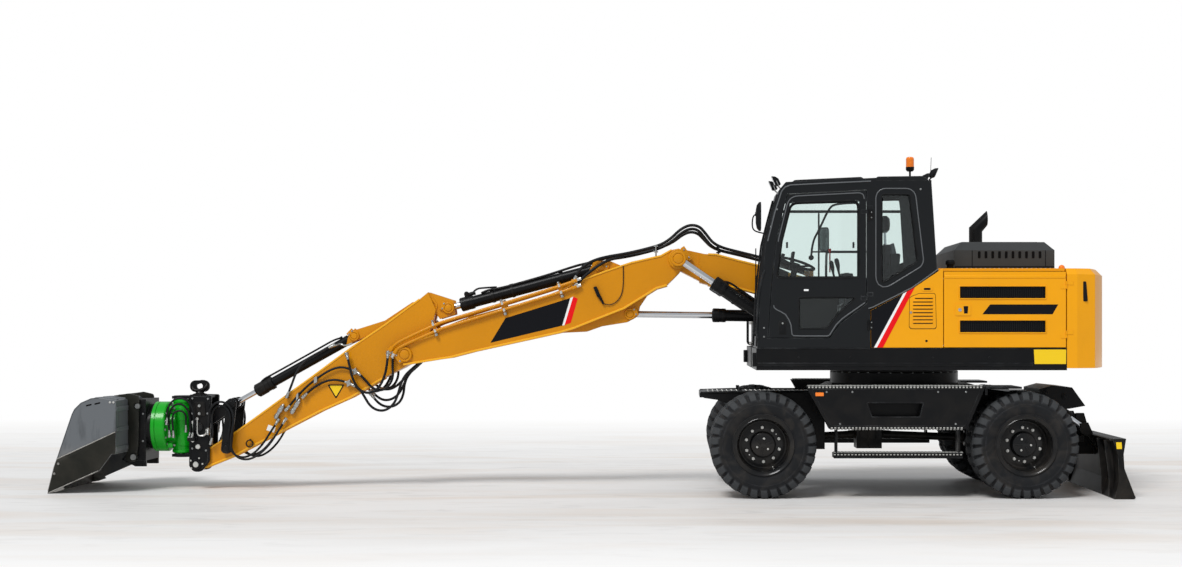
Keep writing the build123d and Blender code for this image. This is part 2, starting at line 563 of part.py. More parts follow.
with BuildPart() as front_boom:
    plate([(1040, 2370), (940, 2480), (864, 2465), (753, 2403), (454, 2335),
           (186, 2245), (-97, 2142), (-285, 2040), (-491, 1961), (-1212, 1768), (-1495, 1658),
           (-1590, 1588), (-1930, 1480), (-1990, 1388), (-1900, 1285), (-1542, 1343),
           (-1417, 1360), (-1181, 1422), (-285, 1619), (-144, 1661), (376, 1866), (706, 2071),
           (816, 2103), (940, 2230)], -BOOM_HALF, BOOM_HALF)
    # fork slots for the base boom and for the arm
    slot_half = BOOM_HALF - EAR
    plate([(1200, 2150), (760, 2150), (700, 2370), (760, 2600), (1200, 2600)],
          -slot_half, slot_half, mode=Mode.SUBTRACT)
    plate([(-2100, 1650), (-1560, 1700), (-1560, 1200), (-2100, 1200)],
          -slot_half, slot_half, mode=Mode.SUBTRACT)
    # pocket under the arm cylinder's base
    plate([(-180, 2040), (240, 2170), (240, 2450), (-180, 2450)], -78, 78, mode=Mode.SUBTRACT)
    # bracket under the boom for the adjusting cylinder's rod
    twin_plates([(-335, 1607), (-20, 1622), (138, 1678), (400, 1720), (510, 1780), (533, 1883),
                 (640, 2040), (200, 1800)], 60, 90)
    # bracket on top for the arm cylinder's base
    twin_plates([(-40, 2150), (60, 2350), (210, 2360), (330, 2310), (300, 2200)], 78, 104)
    cross_pin(ARM_PIN, ARM_PIN_R, -BOOM_HALF - 5, BOOM_HALF + 5)
save(front_boom, "front_boom")

with BuildPart() as arm:
    plate([(-4000, 202), (-3659, 340), (-2762, 807), (-2447, 949), (-2068, 1169), (-1909, 1248),
           (-1800, 1312), (-1680, 1500), (-1600, 1700), (-1570, 1850), (-1650, 2029), (-1736, 1958),
           (-2099, 1690), (-2423, 1470), (-2834, 1165), (-3059, 1002), (-3609, 602),
           (-3747, 515), (-4020, 345), (-4075, 300), (-4090, 256), (-4075, 215)],
          -ARM_HALF, ARM_HALF)
    # ears for the arm cylinder and for the bucket cylinder
    twin_plates([(-1700, 1980), (-1650, 2029), (-1389, 1945), (-1373, 1801), (-1531, 1753)],
                70, 95)
    twin_plates([(-2500, 1480), (-2470, 1620), (-2352, 1658), (-2099, 1738), (-1816, 1927),
                 (-1736, 1940), (-2099, 1660)], 70, 95)
    # fork in which the arm cylinder's eye moves
    plate([(-1250, 1600), (-1650, 1600), (-1678, 1700), (-1668, 1775), (-1622, 1835),
           (-1560, 1885), (-1500, 1925), (-1250, 1925)], -58, 58, mode=Mode.SUBTRACT)
    cross_pin(ARM_PIN, ARM_PIN_R + BORE_GAP, -200, 200, Mode.SUBTRACT)
    cross_pin(TIP, TIP_PIN_R + BORE_GAP, -200, 200, Mode.SUBTRACT)
    cross_pin(ROCKER_PIN, ROCKER_PIN_R, -196, 196)
save(arm, "arm")

with BuildPart() as rocker_links:
    for side in (-1, 1):
        plate([along(ROCKER_PIN, LINK_PIN, -0.12, 55), along(ROCKER_PIN, LINK_PIN, 1.12, 50),
               along(ROCKER_PIN, LINK_PIN, 1.12, -50), along(ROCKER_PIN, LINK_PIN, -0.12, -55)],
              *sorted((side * 172, side * 192)), 45)
        cross_pin(LINK_PIN, 32, *sorted((side * 52, side * 172)))
    cross_pin(ROCKER_PIN, ROCKER_PIN_R + BORE_GAP, -200, 200, Mode.SUBTRACT)
save(rocker_links, "rocker_links")

with BuildPart() as bucket_link:
    twin_plates([along(LINK_PIN, HITCH_PIN, -0.14, 55), along(LINK_PIN, HITCH_PIN, 1.12, 50),
                 along(LINK_PIN, HITCH_PIN, 1.12, -50), along(LINK_PIN, HITCH_PIN, -0.14, -55)],
                60, 100, 45)
    plate([along(LINK_PIN, HITCH_PIN, 0.35, 30), along(LINK_PIN, HITCH_PIN, 0.75, 30),
           along(LINK_PIN, HITCH_PIN, 0.75, -30), along(LINK_PIN, HITCH_PIN, 0.35, -30)],
          -60, 60)
    cross_pin(LINK_PIN, 32.5, -110, 110, Mode.SUBTRACT)
save(bucket_link, "bucket_link")

with BuildPart() as tool_hitch:
    twin_plates([(-4104, 973), (-3875, 967), (-3891, 495), (-3895, 285), (-3980, 180),
                 (-4060, 180), (-4104, 240)], 135, 165, (20, 20, 0, 60, 60, 60, 20))
    block((-4104, -4084), (-135, 135), (330, 973))
    block((-4084, -3900), (-135, 135), (940, 965))
    for z_low in (330, 930):
        block((-4300, -4104), (-100, 100), (z_low, z_low + 28))
    # ports beside the tilting head
    for side in (-1, 1):
        block((-4104, -4030), sorted((side * 165, side * 240)), (500, 535))
    cross_pin(TIP, TIP_PIN_R, -170, 170)
    # lifting eye on top
    plate([(-4137, 997), (-3937, 997), (-3937, 1117), (-4137, 1117)], -15, 15, 55)
    block((-4070, -4004), (-15, 15), (960, 1003))
    cross_pin(LIFTING_EYE, LIFTING_EYE_R, -20, 20, Mode.SUBTRACT)
save(tool_hitch, "tool_hitch")

with BuildPart() as tilt_rotator:
    with Locations((TILT_X, 0, (365 + 923) / 2)):
        Cylinder(104, 923 - 365)
    bar((-4260, 0, ROTOR_Z), (-4484, 0, ROTOR_Z), 180)
    bar((-4340, 0, ROTOR_Z), (-4484, 0, ROTOR_Z), 258)
save(tilt_rotator, "tilt_rotator")

with BuildPart() as tool_coupler:
    bar((-4491, 0, ROTOR_Z), (-4530, 0, ROTOR_Z), 230)
    block((-4640, -4530), (-230, 230), (300, 930))
    twin_plates([(-4640, 930), (-4700, 930), (-4700, 400), (-4780, 311), (-4640, 240),
                 (-4530, 240), (-4530, 930)], 190, 225)
save(tool_coupler, "tool_coupler")

BUCKET_HALF = 650
BUCKET_OUT = [(-5390, 0), (-5322, 268), (-5290, 357), (-5143, 792), (-5118, 843), (-5054, 906),
              (-4951, 951), (-4874, 957), (-4706, 932), (-4706, 395)]
BUCKET_IN = [(-5378, 0), (-5308, 262), (-5276, 351), (-5130, 784), (-5108, 834), (-5048, 893),
             (-4948, 937), (-4874, 943), (-4720, 919), (-4720, 395)]
with BuildPart() as bucket:
    plate(BUCKET_OUT + BUCKET_IN[::-1], -BUCKET_HALF, BUCKET_HALF)
    for y_low in (-BUCKET_HALF, BUCKET_HALF - 16):
        plate(BUCKET_OUT + [(-4747, 395), (-4874, 223)], y_low, y_low + 16)
save(bucket, "bucket")

# ================= hydraulic cylinders of the boom =================
with BuildPart() as lift_barrels:
    for side in (-1, 1):
        cylinder_barrel(LIFT_BASE, KNEE, 1080, 62, 36, side * LIFT_Y, 28)
save(lift_barrels, "lift_cylinder_barrels")

with BuildPart() as lift_rods:
    for side in (-1, 1):
        cylinder_rod(LIFT_BASE, KNEE, 300, 36, side * LIFT_Y, 40, 72)
save(lift_rods, "lift_cylinder_rods")

with BuildPart() as adjust_barrel:
    cylinder_barrel(ADJUST_BASE, ADJUST_EYE, 1060, 60, 34, 0, 50)
save(adjust_barrel, "adjust_cylinder_barrel")

with BuildPart() as adjust_rod:
    cylinder_rod(ADJUST_BASE, ADJUST_EYE, 900, 34, 0, 45, 55)
save(adjust_rod, "adjust_cylinder_rod")

with BuildPart() as arm_barrel:
    cylinder_barrel(ARM_CYL_BASE, ARM_CYL_EYE, 1500, 60, 34, 0, 50)
save(arm_barrel, "arm_cylinder_barrel")

with BuildPart() as arm_rod:
    cylinder_rod(ARM_CYL_BASE, ARM_CYL_EYE, 250, 34, 0, 45, 55)
save(arm_rod, "arm_cylinder_rod")

with BuildPart() as bucket_barrel:
    cylinder_barrel(BUCKET_CYL_BASE, LINK_PIN, 1180, 50, 28, 0, 45)
save(bucket_barrel, "bucket_cylinder_barrel")

with BuildPart() as bucket_rod:
    cylinder_rod(BUCKET_CYL_BASE, LINK_PIN, 250, 28, 0, 45, 50)
save(bucket_rod, "bucket_cylinder_rod")


# ================= hoses =================
def hose(route, diameter):
    """A tube along the route's runs, with arcs as large as the runs allow."""
    points = [Vector(*point) for point in route]
    runs = [end - start for start, end in zip(points, points[1:])]
    radii = []
    for run_in, run_out in zip(runs, runs[1:]):
        half_turn = math.radians(run_in.get_angle(run_out)) / 2
        radii.append(0.45 * min(run_in.length, run_out.length) / math.tan(half_turn))
    with BuildLine() as path:
        FilletPolyline(*points, radius=radii)
    with BuildSketch(Plane(origin=points[0], z_dir=runs[0])) as section:
        Circle(diameter / 2)
    sweep(sections=section.sketch, path=path.line)
    print("hose of", diameter, "with radii", [round(radius) for radius in radii])


def other_side(route):
    return [(x, -y, z) for x, y, z in route]


# from the bulkhead on the base boom, over the knee, to the pipes of the front boom
KNEE_HOSES = (
    [(-135, -185, 2150), (-105, -185, 2235), (-30, -178, 2310), (80, -150, 2365),
     (210, -105, 2400), (360, -70, 2425), (500, -60, 2455), (640, -58, 2490), (760, -60, 2525),
     (860, -60, 2590), (950, -60, 2680), (1050, -60, 2730), (1150, -60, 2715),
     (1215, -60, 2640), (1285, -60, 2545), (1385, -60, 2492), (1550, -60, 2450),
     (1770, -58, 2397), (2020, -58, 2325), (2285, -60, 2240)],
    [(-135, -185, 2085), (-70, -185, 2160), (10, -182, 2230), (110, -165, 2305),
     (230, -125, 2372), (360, -40, 2392), (500, -5, 2422), (640, 0, 2458), (760, 0, 2495),
     (870, 0, 2560), (965, 0, 2650), (1055, 0, 2695), (1140, 0, 2680), (1200, 0, 2605),
     (1275, 0, 2508), (1380, 0, 2460), (1550, 0, 2425), (1770, 0, 2367), (2020, 0, 2298),
     (2285, 0, 2215)],
    [(-135, 185, 2150), (-105, 185, 2235), (-30, 178, 2310), (80, 150, 2365),
     (210, 105, 2400), (360, 75, 2420), (500, 62, 2445), (640, 60, 2475), (770, 60, 2505),
     (885, 60, 2560), (975, 60, 2632), (1060, 60, 2665), (1140, 60, 2645), (1200, 60, 2580),
     (1275, 60, 2503), (1380, 60, 2462), (1550, 60, 2425), (1770, 60, 2367), (2020, 60, 2298),
     (2285, 60, 2215)],
)
with BuildPart() as knee_hoses:
    for route in KNEE_HOSES:
        hose(route, 30)
save(knee_hoses, "knee_hoses")

# loops under the arm's pivot, from the front boom to the arm
ELBOW_OUTER = (
    [(-2050, -208, 1400), (-2060, -208, 1260), (-2100, -208, 1120), (-2165, -208, 1020),
     (-2265, -208, 985), (-2360, -208, 1035), (-2420, -205, 1150), (-2445, -200, 1270),
     (-2475, -190, 1385)],
    [(-2003, -176, 1395), (-2010, -176, 1275), (-2000, -176, 1160), (-2045, -176, 1060),
     (-2130, -176, 1012), (-2220, -174, 1040), (-2290, -168, 1130), (-2375, -160, 1205)],
)
ELBOW_INNER = (
    [(-1572, -100, 1452), (-1680, -100, 1358), (-1800, -100, 1255), (-1890, -105, 1175),
     (-1935, -115, 1080), (-1960, -120, 980), (-1995, -128, 885), (-2070, -134, 815),
     (-2160, -140, 805), (-2245, -146, 855), (-2300, -152, 950), (-2350, -156, 1035),
     (-2440, -160, 1085)],
    [(-1572, -55, 1452), (-1680, -55, 1355), (-1790, -55, 1260), (-1870, -55, 1172),
     (-1905, -55, 1078), (-1912, -55, 980), (-1950, -55, 890), (-2030, -55, 842),
     (-2120, -55, 848), (-2195, -55, 900), (-2245, -55, 970)],
    [(-1572, -15, 1452), (-1685, -15, 1350), (-1790, -15, 1250), (-1880, -15, 1172),
     (-1945, -15, 1100), (-2010, -15, 1045), (-2085, -15, 1018), (-2160, -15, 1030)],
    [(-1572, 30, 1452), (-1680, 30, 1358), (-1795, 30, 1260), (-1880, 30, 1170),
     (-1925, 30, 1072), (-1968, 30, 982), (-2038, 30, 922), (-2122, 30, 905),
     (-2200, 30, 940), (-2255, 30, 1000)],
)
with BuildPart() as elbow_hoses:
    for route in ELBOW_OUTER:
        hose(route, 26)
        hose(other_side(route), 26)
    for route in ELBOW_INNER:
        hose(route, 26)
save(elbow_hoses, "elbow_hoses")

# along the arm's side to the couplings, and on under the arm and over the rocker to the hitch
ARM_HOSES = (
    [(-2390, -160, 1212), (-2475, -160, 1250), (-2570, -160, 1258), (-2670, -160, 1220),
     (-2790, -160, 1142), (-2910, -160, 1045), (-3010, -160, 935), (-3100, -160, 825)],
    [(-2455, -160, 1092), (-2545, -160, 1122), (-2650, -160, 1128), (-2750, -160, 1092),
     (-2850, -160, 1028), (-2925, -160, 955)],
    [(-2640, -70, 1478), (-2740, -72, 1430), (-2850, -82, 1375), (-2950, -102, 1298),
     (-3015, -128, 1195), (-3050, -148, 1080), (-3095, -158, 960)],
)
HITCH_HOSES = (
    [(-3190, -165, 705), (-3265, -168, 590), (-3340, -172, 470), (-3425, -180, 375),
     (-3525, -190, 325), (-3620, -200, 345), (-3680, -210, 430), (-3690, -214, 540),
     (-3670, -214, 650), (-3665, -214, 765), (-3705, -214, 845), (-3775, -214, 870),
     (-3835, -214, 835), (-3860, -214, 755), (-3855, -212, 660), (-3845, -206, 570),
     (-3872, -194, 485)],
    [(-3115, -165, 715), (-3190, -175, 590), (-3270, -195, 460), (-3370, -215, 360),
     (-3480, -228, 305), (-3585, -238, 325), (-3650, -240, 405), (-3662, -240, 510),
     (-3640, -240, 620), (-3625, -240, 730), (-3650, -240, 835), (-3715, -240, 900),
     (-3795, -240, 905), (-3860, -238, 850), (-3888, -230, 765), (-3890, -218, 670),
     (-3902, -196, 590)],
)
with BuildPart() as hitch_hoses:
    for route in ARM_HOSES:
        hose(route, 24)
    for route in HITCH_HOSES:
        hose(route, 22)
        hose(other_side(route), 22)
save(hitch_hoses, "hitch_hoses")

# from the hitch's ports over to the tilting head
TOOL_HOSES = (
    [(-4060, -222, 537), (-4035, -222, 670), (-4042, -222, 800), (-4085, -222, 900),
     (-4165, -222, 945), (-4245, -222, 930), (-4300, -222, 860), (-4316, -222, 770),
     (-4318, -222, 690)],
    [(-4128, -196, 612), (-4131, -196, 690), (-4128, -196, 768), (-4168, -196, 809),
     (-4226, -196, 809), (-4266, -196, 768), (-4268, -196, 700), (-4262, -196, 625),
     (-4256, -196, 556)],
    [(-4092, -196, 537), (-4080, -196, 640), (-4086, -196, 740), (-4112, -196, 828),
     (-4172, -196, 880), (-4240, -196, 876), (-4288, -196, 822), (-4304, -196, 740),
     (-4304, -196, 650), (-4298, -196, 560)],
)
with BuildPart() as tool_hoses:
    for route in TOOL_HOSES:
        hose(route, 20)
        hose(other_side(route), 20)
save(tool_hoses, "tool_hoses")
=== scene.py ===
import json
import math
import bmesh
import bpy
import numpy as np
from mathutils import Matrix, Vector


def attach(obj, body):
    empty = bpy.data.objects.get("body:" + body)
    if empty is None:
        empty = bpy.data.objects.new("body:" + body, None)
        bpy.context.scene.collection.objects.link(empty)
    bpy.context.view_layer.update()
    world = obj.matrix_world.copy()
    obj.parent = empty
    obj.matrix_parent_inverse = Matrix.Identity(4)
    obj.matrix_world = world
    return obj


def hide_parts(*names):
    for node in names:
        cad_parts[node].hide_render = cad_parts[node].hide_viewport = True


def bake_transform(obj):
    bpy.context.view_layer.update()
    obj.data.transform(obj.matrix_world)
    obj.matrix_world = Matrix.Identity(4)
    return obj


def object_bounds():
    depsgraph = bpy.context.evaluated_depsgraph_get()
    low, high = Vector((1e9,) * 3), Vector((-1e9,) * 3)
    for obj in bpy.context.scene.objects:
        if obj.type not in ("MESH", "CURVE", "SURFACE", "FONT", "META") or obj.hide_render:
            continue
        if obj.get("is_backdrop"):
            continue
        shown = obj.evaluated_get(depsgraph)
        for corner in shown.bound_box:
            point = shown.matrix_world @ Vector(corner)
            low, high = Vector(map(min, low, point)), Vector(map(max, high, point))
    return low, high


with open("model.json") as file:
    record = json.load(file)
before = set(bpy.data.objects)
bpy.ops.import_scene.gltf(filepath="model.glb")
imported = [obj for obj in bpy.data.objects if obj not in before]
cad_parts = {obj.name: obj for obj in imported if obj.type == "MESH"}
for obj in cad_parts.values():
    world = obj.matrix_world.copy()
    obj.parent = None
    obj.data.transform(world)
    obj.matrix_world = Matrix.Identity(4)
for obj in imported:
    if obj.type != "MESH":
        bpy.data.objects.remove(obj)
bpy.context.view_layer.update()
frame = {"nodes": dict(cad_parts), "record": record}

# Wheeled excavator in metres: X from the bucket (-) to the dozer blade (+), -Y the cab's side.


# ---------------------------------------------------------------- mesh building
def finish_piece(name, points, faces, material, body, slot=None, soften=0.0, sharp=35):
    """A mesh object from points and faces, with doubles merged, faces turned outwards and
    its edges softened by a small bevel where asked."""
    mesh = bpy.data.meshes.new(name)
    mesh.from_pydata(np.asarray(points).tolist(), [], [list(face) for face in faces])
    shell = bmesh.new()
    shell.from_mesh(mesh)
    bmesh.ops.remove_doubles(shell, verts=shell.verts, dist=2e-5)
    bmesh.ops.dissolve_degenerate(shell, edges=shell.edges, dist=1e-5)
    bmesh.ops.recalc_face_normals(shell, faces=shell.faces)
    if soften:
        crisp = [e for e in shell.edges if e.is_manifold and e.calc_face_angle(0) > 0.5]
        bmesh.ops.bevel(shell, geom=crisp, offset=soften, segments=2, profile=0.6, affect="EDGES",
            clamp_overlap=True)
    shell.to_mesh(mesh)
    shell.free()
    mesh.polygons.foreach_set("use_smooth", np.ones(len(mesh.polygons), bool))
    mesh.set_sharp_from_angle(angle=math.radians(sharp))
    piece = bpy.data.objects.new(name, mesh)
    bpy.context.scene.collection.objects.link(piece)
    mesh.materials.append(material)
    if body:
        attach(piece, body)
    return piece


class Shell:
    """Gathers the points and faces of the surfaces that make up one piece."""

    def __init__(self):
        self.points, self.faces, self.count = [], [], 0

    def add(self, points, faces):
        points = np.asarray(points, float).reshape(-1, 3)
        self.faces += [[i + self.count for i in face] for face in faces]
        self.points.append(points)
        self.count += len(points)
        return self

    def finish(self, name, material, body, **options):
        return finish_piece(name, np.concatenate(self.points), self.faces, material, body,
            **options)


def grid_faces(rows, columns, wrap_rows=False, wrap_columns=False):
    """Quads that join each point of a grid to the next one along and the next one across."""
    i = np.arange(rows if wrap_rows else rows - 1)[:, None]
    j = np.arange(columns if wrap_columns else columns - 1)[None, :]
    i_next, j_next = (i + 1) % rows, (j + 1) % columns
    corners = [i * columns + j, i * columns + j_next, i_next * columns + j_next,
        i_next * columns + j]
    return np.stack(corners, axis=-1).reshape(-1, 4).tolist()


def capped_grid(rings):
    """Closed rings of points, (rings, points, 3), joined into a skin with a flat cap at
    each end."""
    rings = np.asarray(rings, float)
    rows, columns = rings.shape[:2]
    faces = grid_faces(rows, columns, wrap_columns=True)
    faces.append(list(range(columns - 1, -1, -1)))
    faces.append(list(range((rows - 1) * columns, rows * columns)))
    return rings.reshape(-1, 3), faces


SIDES = (("left", -1), ("right", 1))
SIDEWAYS = (0, 1, 0)
AXES = {"X": (1, 2, 0), "Y": (2, 0, 1), "Z": (0, 1, 2)}


def turned(profile, centre, axis="Y", segments=48, ring=False, start=0.0):
    """A profile of (distance along the axis, radius) turned about that axis: the point at
    angle a stands at radius * (cos a, sin a) off the axis. A ring's profile is closed."""
    profile = np.asarray(profile, float)
    angle = start + np.linspace(0, 2 * np.pi, segments, endpoint=False)
    u, v, w = AXES[axis]
    points = np.zeros((len(profile), segments, 3))
    points[..., u] = profile[:, 1:] * np.cos(angle)
    points[..., v] = profile[:, 1:] * np.sin(angle)
    points[..., w] = profile[:, :1]
    points += np.asarray(centre, float)
    return points.reshape(-1, 3), grid_faces(len(profile), segments, ring, True)


def unit(vectors):
    vectors = np.asarray(vectors, float)
    return vectors / np.maximum(np.linalg.norm(vectors, axis=-1, keepdims=True), 1e-12)


def carried(section, path, across=SIDEWAYS, sizes=1.0):
    """A closed section of (side, up) points carried along a path, square to it: side lies
    along the given direction made square to the path, up completes the frame."""
    path = np.asarray(path, float)
    section = np.asarray(section, float)
    heading = unit(np.gradient(path, axis=0))
    across = np.asarray(across, float)
    side = unit(across - (heading @ across)[:, None] * heading)
    up = np.cross(heading, side)
    sizes = np.broadcast_to(sizes, len(path))[:, None, None]
    return capped_grid(path[:, None] + sizes * (section[None, :, :1] * side[:, None]
        + section[None, :, 1:] * up[:, None]))


def slab_end(middle, along, back, front, y_one, y_other):
    """The four corners of a slab's end: back and front of its middle, at two depths in Y."""
    return [middle - along * back + (0, y_one, 0), middle + along * front + (0, y_one, 0),
        middle + along * front + (0, y_other, 0), middle - along * back + (0, y_other, 0)]


def circle(radius, sides=12):
    angle = np.linspace(0, 2 * np.pi, sides, endpoint=False)
    return radius * np.stack([np.cos(angle), np.sin(angle)], axis=1)


def side_ring(outline, y):
    """An (x, z) outline as points at a given y."""
    outline = np.asarray(outline, float)
    return np.stack([outline[:, 0], np.full(len(outline), y), outline[:, 1]], axis=1)


def prism(outline, y_one, y_other):
    """An (x, z) outline carried along Y between two planes, given in either order."""
    return capped_grid([side_ring(outline, y) for y in sorted((y_one, y_other))])


def box_shape(low, high):
    """A box as a rectangle in X and Z carried along Y; the y of its corners may be swapped."""
    (x0, y0, z0), (x1, y1, z1) = low, high
    return prism([(x0, z0), (x1, z0), (x1, z1), (x0, z1)], y0, y1)


def tube(name, path, radius, material, body, sides=10, **options):
    """A round tube along a path of points."""
    return finish_piece(name, *carried(circle(radius, sides), path), material, body, **options)


def rounded(outline, radius, steps=5):
    """An (x, z) outline whose corners are arcs of that radius, or of the radius each has."""
    outline = np.asarray(outline, float)
    radius = np.broadcast_to(radius, len(outline))
    before, after = np.roll(outline, 1, axis=0), np.roll(outline, -1, axis=0)
    to_before, to_after = unit(before - outline), unit(after - outline)
    half = np.arccos(np.clip((to_before * to_after).sum(axis=1), -1, 1)) / 2
    reach = np.minimum(radius / np.tan(half), 0.49 * np.minimum(np.linalg.norm(before - outline,
        axis=1), np.linalg.norm(after - outline, axis=1)))
    share = np.linspace(0, 1, steps)[None, :, None]
    start = (outline + to_before * reach[:, None])[:, None]
    end = (outline + to_after * reach[:, None])[:, None]
    middle = outline[:, None]
    bend = (1 - share) ** 2 * start + 2 * share * (1 - share) * middle + share ** 2 * end
    return bend.reshape(-1, 2)


def shrunk(outline, distance):
    """An (x, z) outline moved inwards by a distance: each corner goes along its bisector."""
    outline = np.asarray(outline, float)
    before, after = np.roll(outline, 1, axis=0), np.roll(outline, -1, axis=0)
    area = np.sum(outline[:, 0] * after[:, 1] - after[:, 0] * outline[:, 1])
    turn_in, turn_out = unit(outline - before), unit(after - outline)
    normal_in = np.stack([-turn_in[:, 1], turn_in[:, 0]], axis=1) * np.sign(area)
    normal_out = np.stack([-turn_out[:, 1], turn_out[:, 0]], axis=1) * np.sign(area)
    bisector = unit(normal_in + normal_out)
    reach = distance / np.maximum((bisector * normal_in).sum(axis=1), 0.3)
    return outline + bisector * reach[:, None]


def bar_shape(start, end, radius, sides=20, shapes=((0, 1), (1, 1))):
    """A round bar between two points. Shapes holds (share of the length, share of the
    radius) steps, so that it can be stepped or tapered."""
    start, end = np.asarray(start, float), np.asarray(end, float)
    heading = unit(end - start)
    guide = np.array([0.0, 1, 0]) if abs(heading[1]) < 0.9 else np.array([1.0, 0, 0])
    side = unit(np.cross(heading, guide))
    up = np.cross(heading, side)
    ring = circle(radius, sides)
    flat = ring[:, :1] * side + ring[:, 1:] * up
    return capped_grid([start + along * (end - start) + size * flat for along, size in shapes])


def sleeve_shape(start, end, bore, sides=36, shapes=((0, 1), (1, 1))):
    """A hollow bar: the outer skin steps as in bar_shape, with a radius for each step, and
    goes back along a bore given the same way, so the profile closes on itself."""
    start, end = np.asarray(start, float), np.asarray(end, float)
    heading = unit(end - start)
    side = unit(np.cross(heading, (0.0, 1.0, 0.0)))
    flat = circle(1.0, sides) @ np.stack([side, np.cross(heading, side)])
    rings = [start + along * (end - start) + size * flat for along,
        size in (*shapes, *reversed(bore))]
    return np.asarray(rings).reshape(-1, 3), grid_faces(len(rings), sides, True, True)


def closed_bead(path, radius, across, sides=8):
    """A round bead round a closed path: a ring of points square to the path at each one."""
    path = np.asarray(path, float)
    heading = unit(np.roll(path, -1, axis=0) - np.roll(path, 1, axis=0))
    across = np.asarray(across, float)
    side = unit(across - (heading @ across)[:, None] * heading)
    up = np.cross(heading, side)
    ring = circle(radius, sides)
    points = path[:, None] + ring[None, :, :1] * side[:, None] + ring[None, :, 1:] * up[:, None]
    return points.reshape(-1, 3), grid_faces(len(path), sides, True, True)


def side_bead(name, outline, y, radius, material, body):
    """A round bead along an (x, z) outline of a side face."""
    finish_piece(name, *closed_bead(side_ring(outline, y), radius, SIDEWAYS), material, body)


def placed(shape, spots):
    """One small shape repeated at every spot."""
    points, faces = shape
    spots = np.asarray(spots, float)
    many = (points[None] + spots[:, None]).reshape(-1, 3)
    joined = (np.asarray(faces)[None] + len(points) * np.arange(len(spots))[:, None, None])
    return many, joined.reshape(-1, np.asarray(faces).shape[1]).tolist()


def grid_spots(xs, ys, z):
    """The points of a level grid."""
    grid_x, grid_y = np.meshgrid(xs, ys)
    return np.stack([grid_x.ravel(), grid_y.ravel(), np.full(grid_x.size, z)], axis=1)


def ring_spots(centre, radius, count, axis="Y", start=0.0):
    """Points evenly round a circle about an axis: at angle a they stand radius * cos a and
    radius * sin a along the other two axes, in their order."""
    first, second = [place for place in range(3) if "XYZ"[place] != axis]
    angle = start + np.linspace(0, 2 * np.pi, count, endpoint=False)
    spots = np.zeros((count, 3))
    spots[:, first] = radius * np.cos(angle)
    spots[:, second] = radius * np.sin(angle)
    return spots + centre


def hexagon_head(radius, height, axis="Y", outward=1):
    """A hexagonal bolt head: a six-sided profile with a chamfered top, all quads."""
    profile = [(0, 0), (0, radius), (outward * height * 0.75, radius),
        (outward * height, radius * 0.8), (outward * height, 0)]
    return turned(profile, (0, 0, 0), axis, 6)


def nurbs_line(name, route, resolution=8):
    """The points of the smooth line that a route's control points give."""
    curve = bpy.data.curves.new(name + "_line", "CURVE")
    curve.dimensions = "3D"
    spline = curve.splines.new("NURBS")
    spline.points.add(len(route) - 1)
    for point, place in zip(spline.points, route):
        point.co = (*place, 1.0)
    spline.order_u = 3
    spline.use_endpoint_u = True
    spline.resolution_u = resolution
    holder = bpy.data.objects.new(name + "_line", curve)
    mesh = bpy.data.meshes.new_from_object(holder)
    line = np.zeros(3 * len(mesh.vertices))
    mesh.vertices.foreach_get("co", line)
    bpy.data.objects.remove(holder)
    bpy.data.meshes.remove(mesh)
    bpy.data.curves.remove(curve)
    return line.reshape(-1, 3)


# ---------------------------------------------------------------- materials
def colour(red, green, blue):
    """The shader's colour for display values from 0 to 255."""
    share = np.array([red, green, blue]) / 255
    linear = np.where(share <= 0.04045, share / 12.92, ((share + 0.055) / 1.055) ** 2.4)
    return (*(float(value) for value in linear), 1.0)


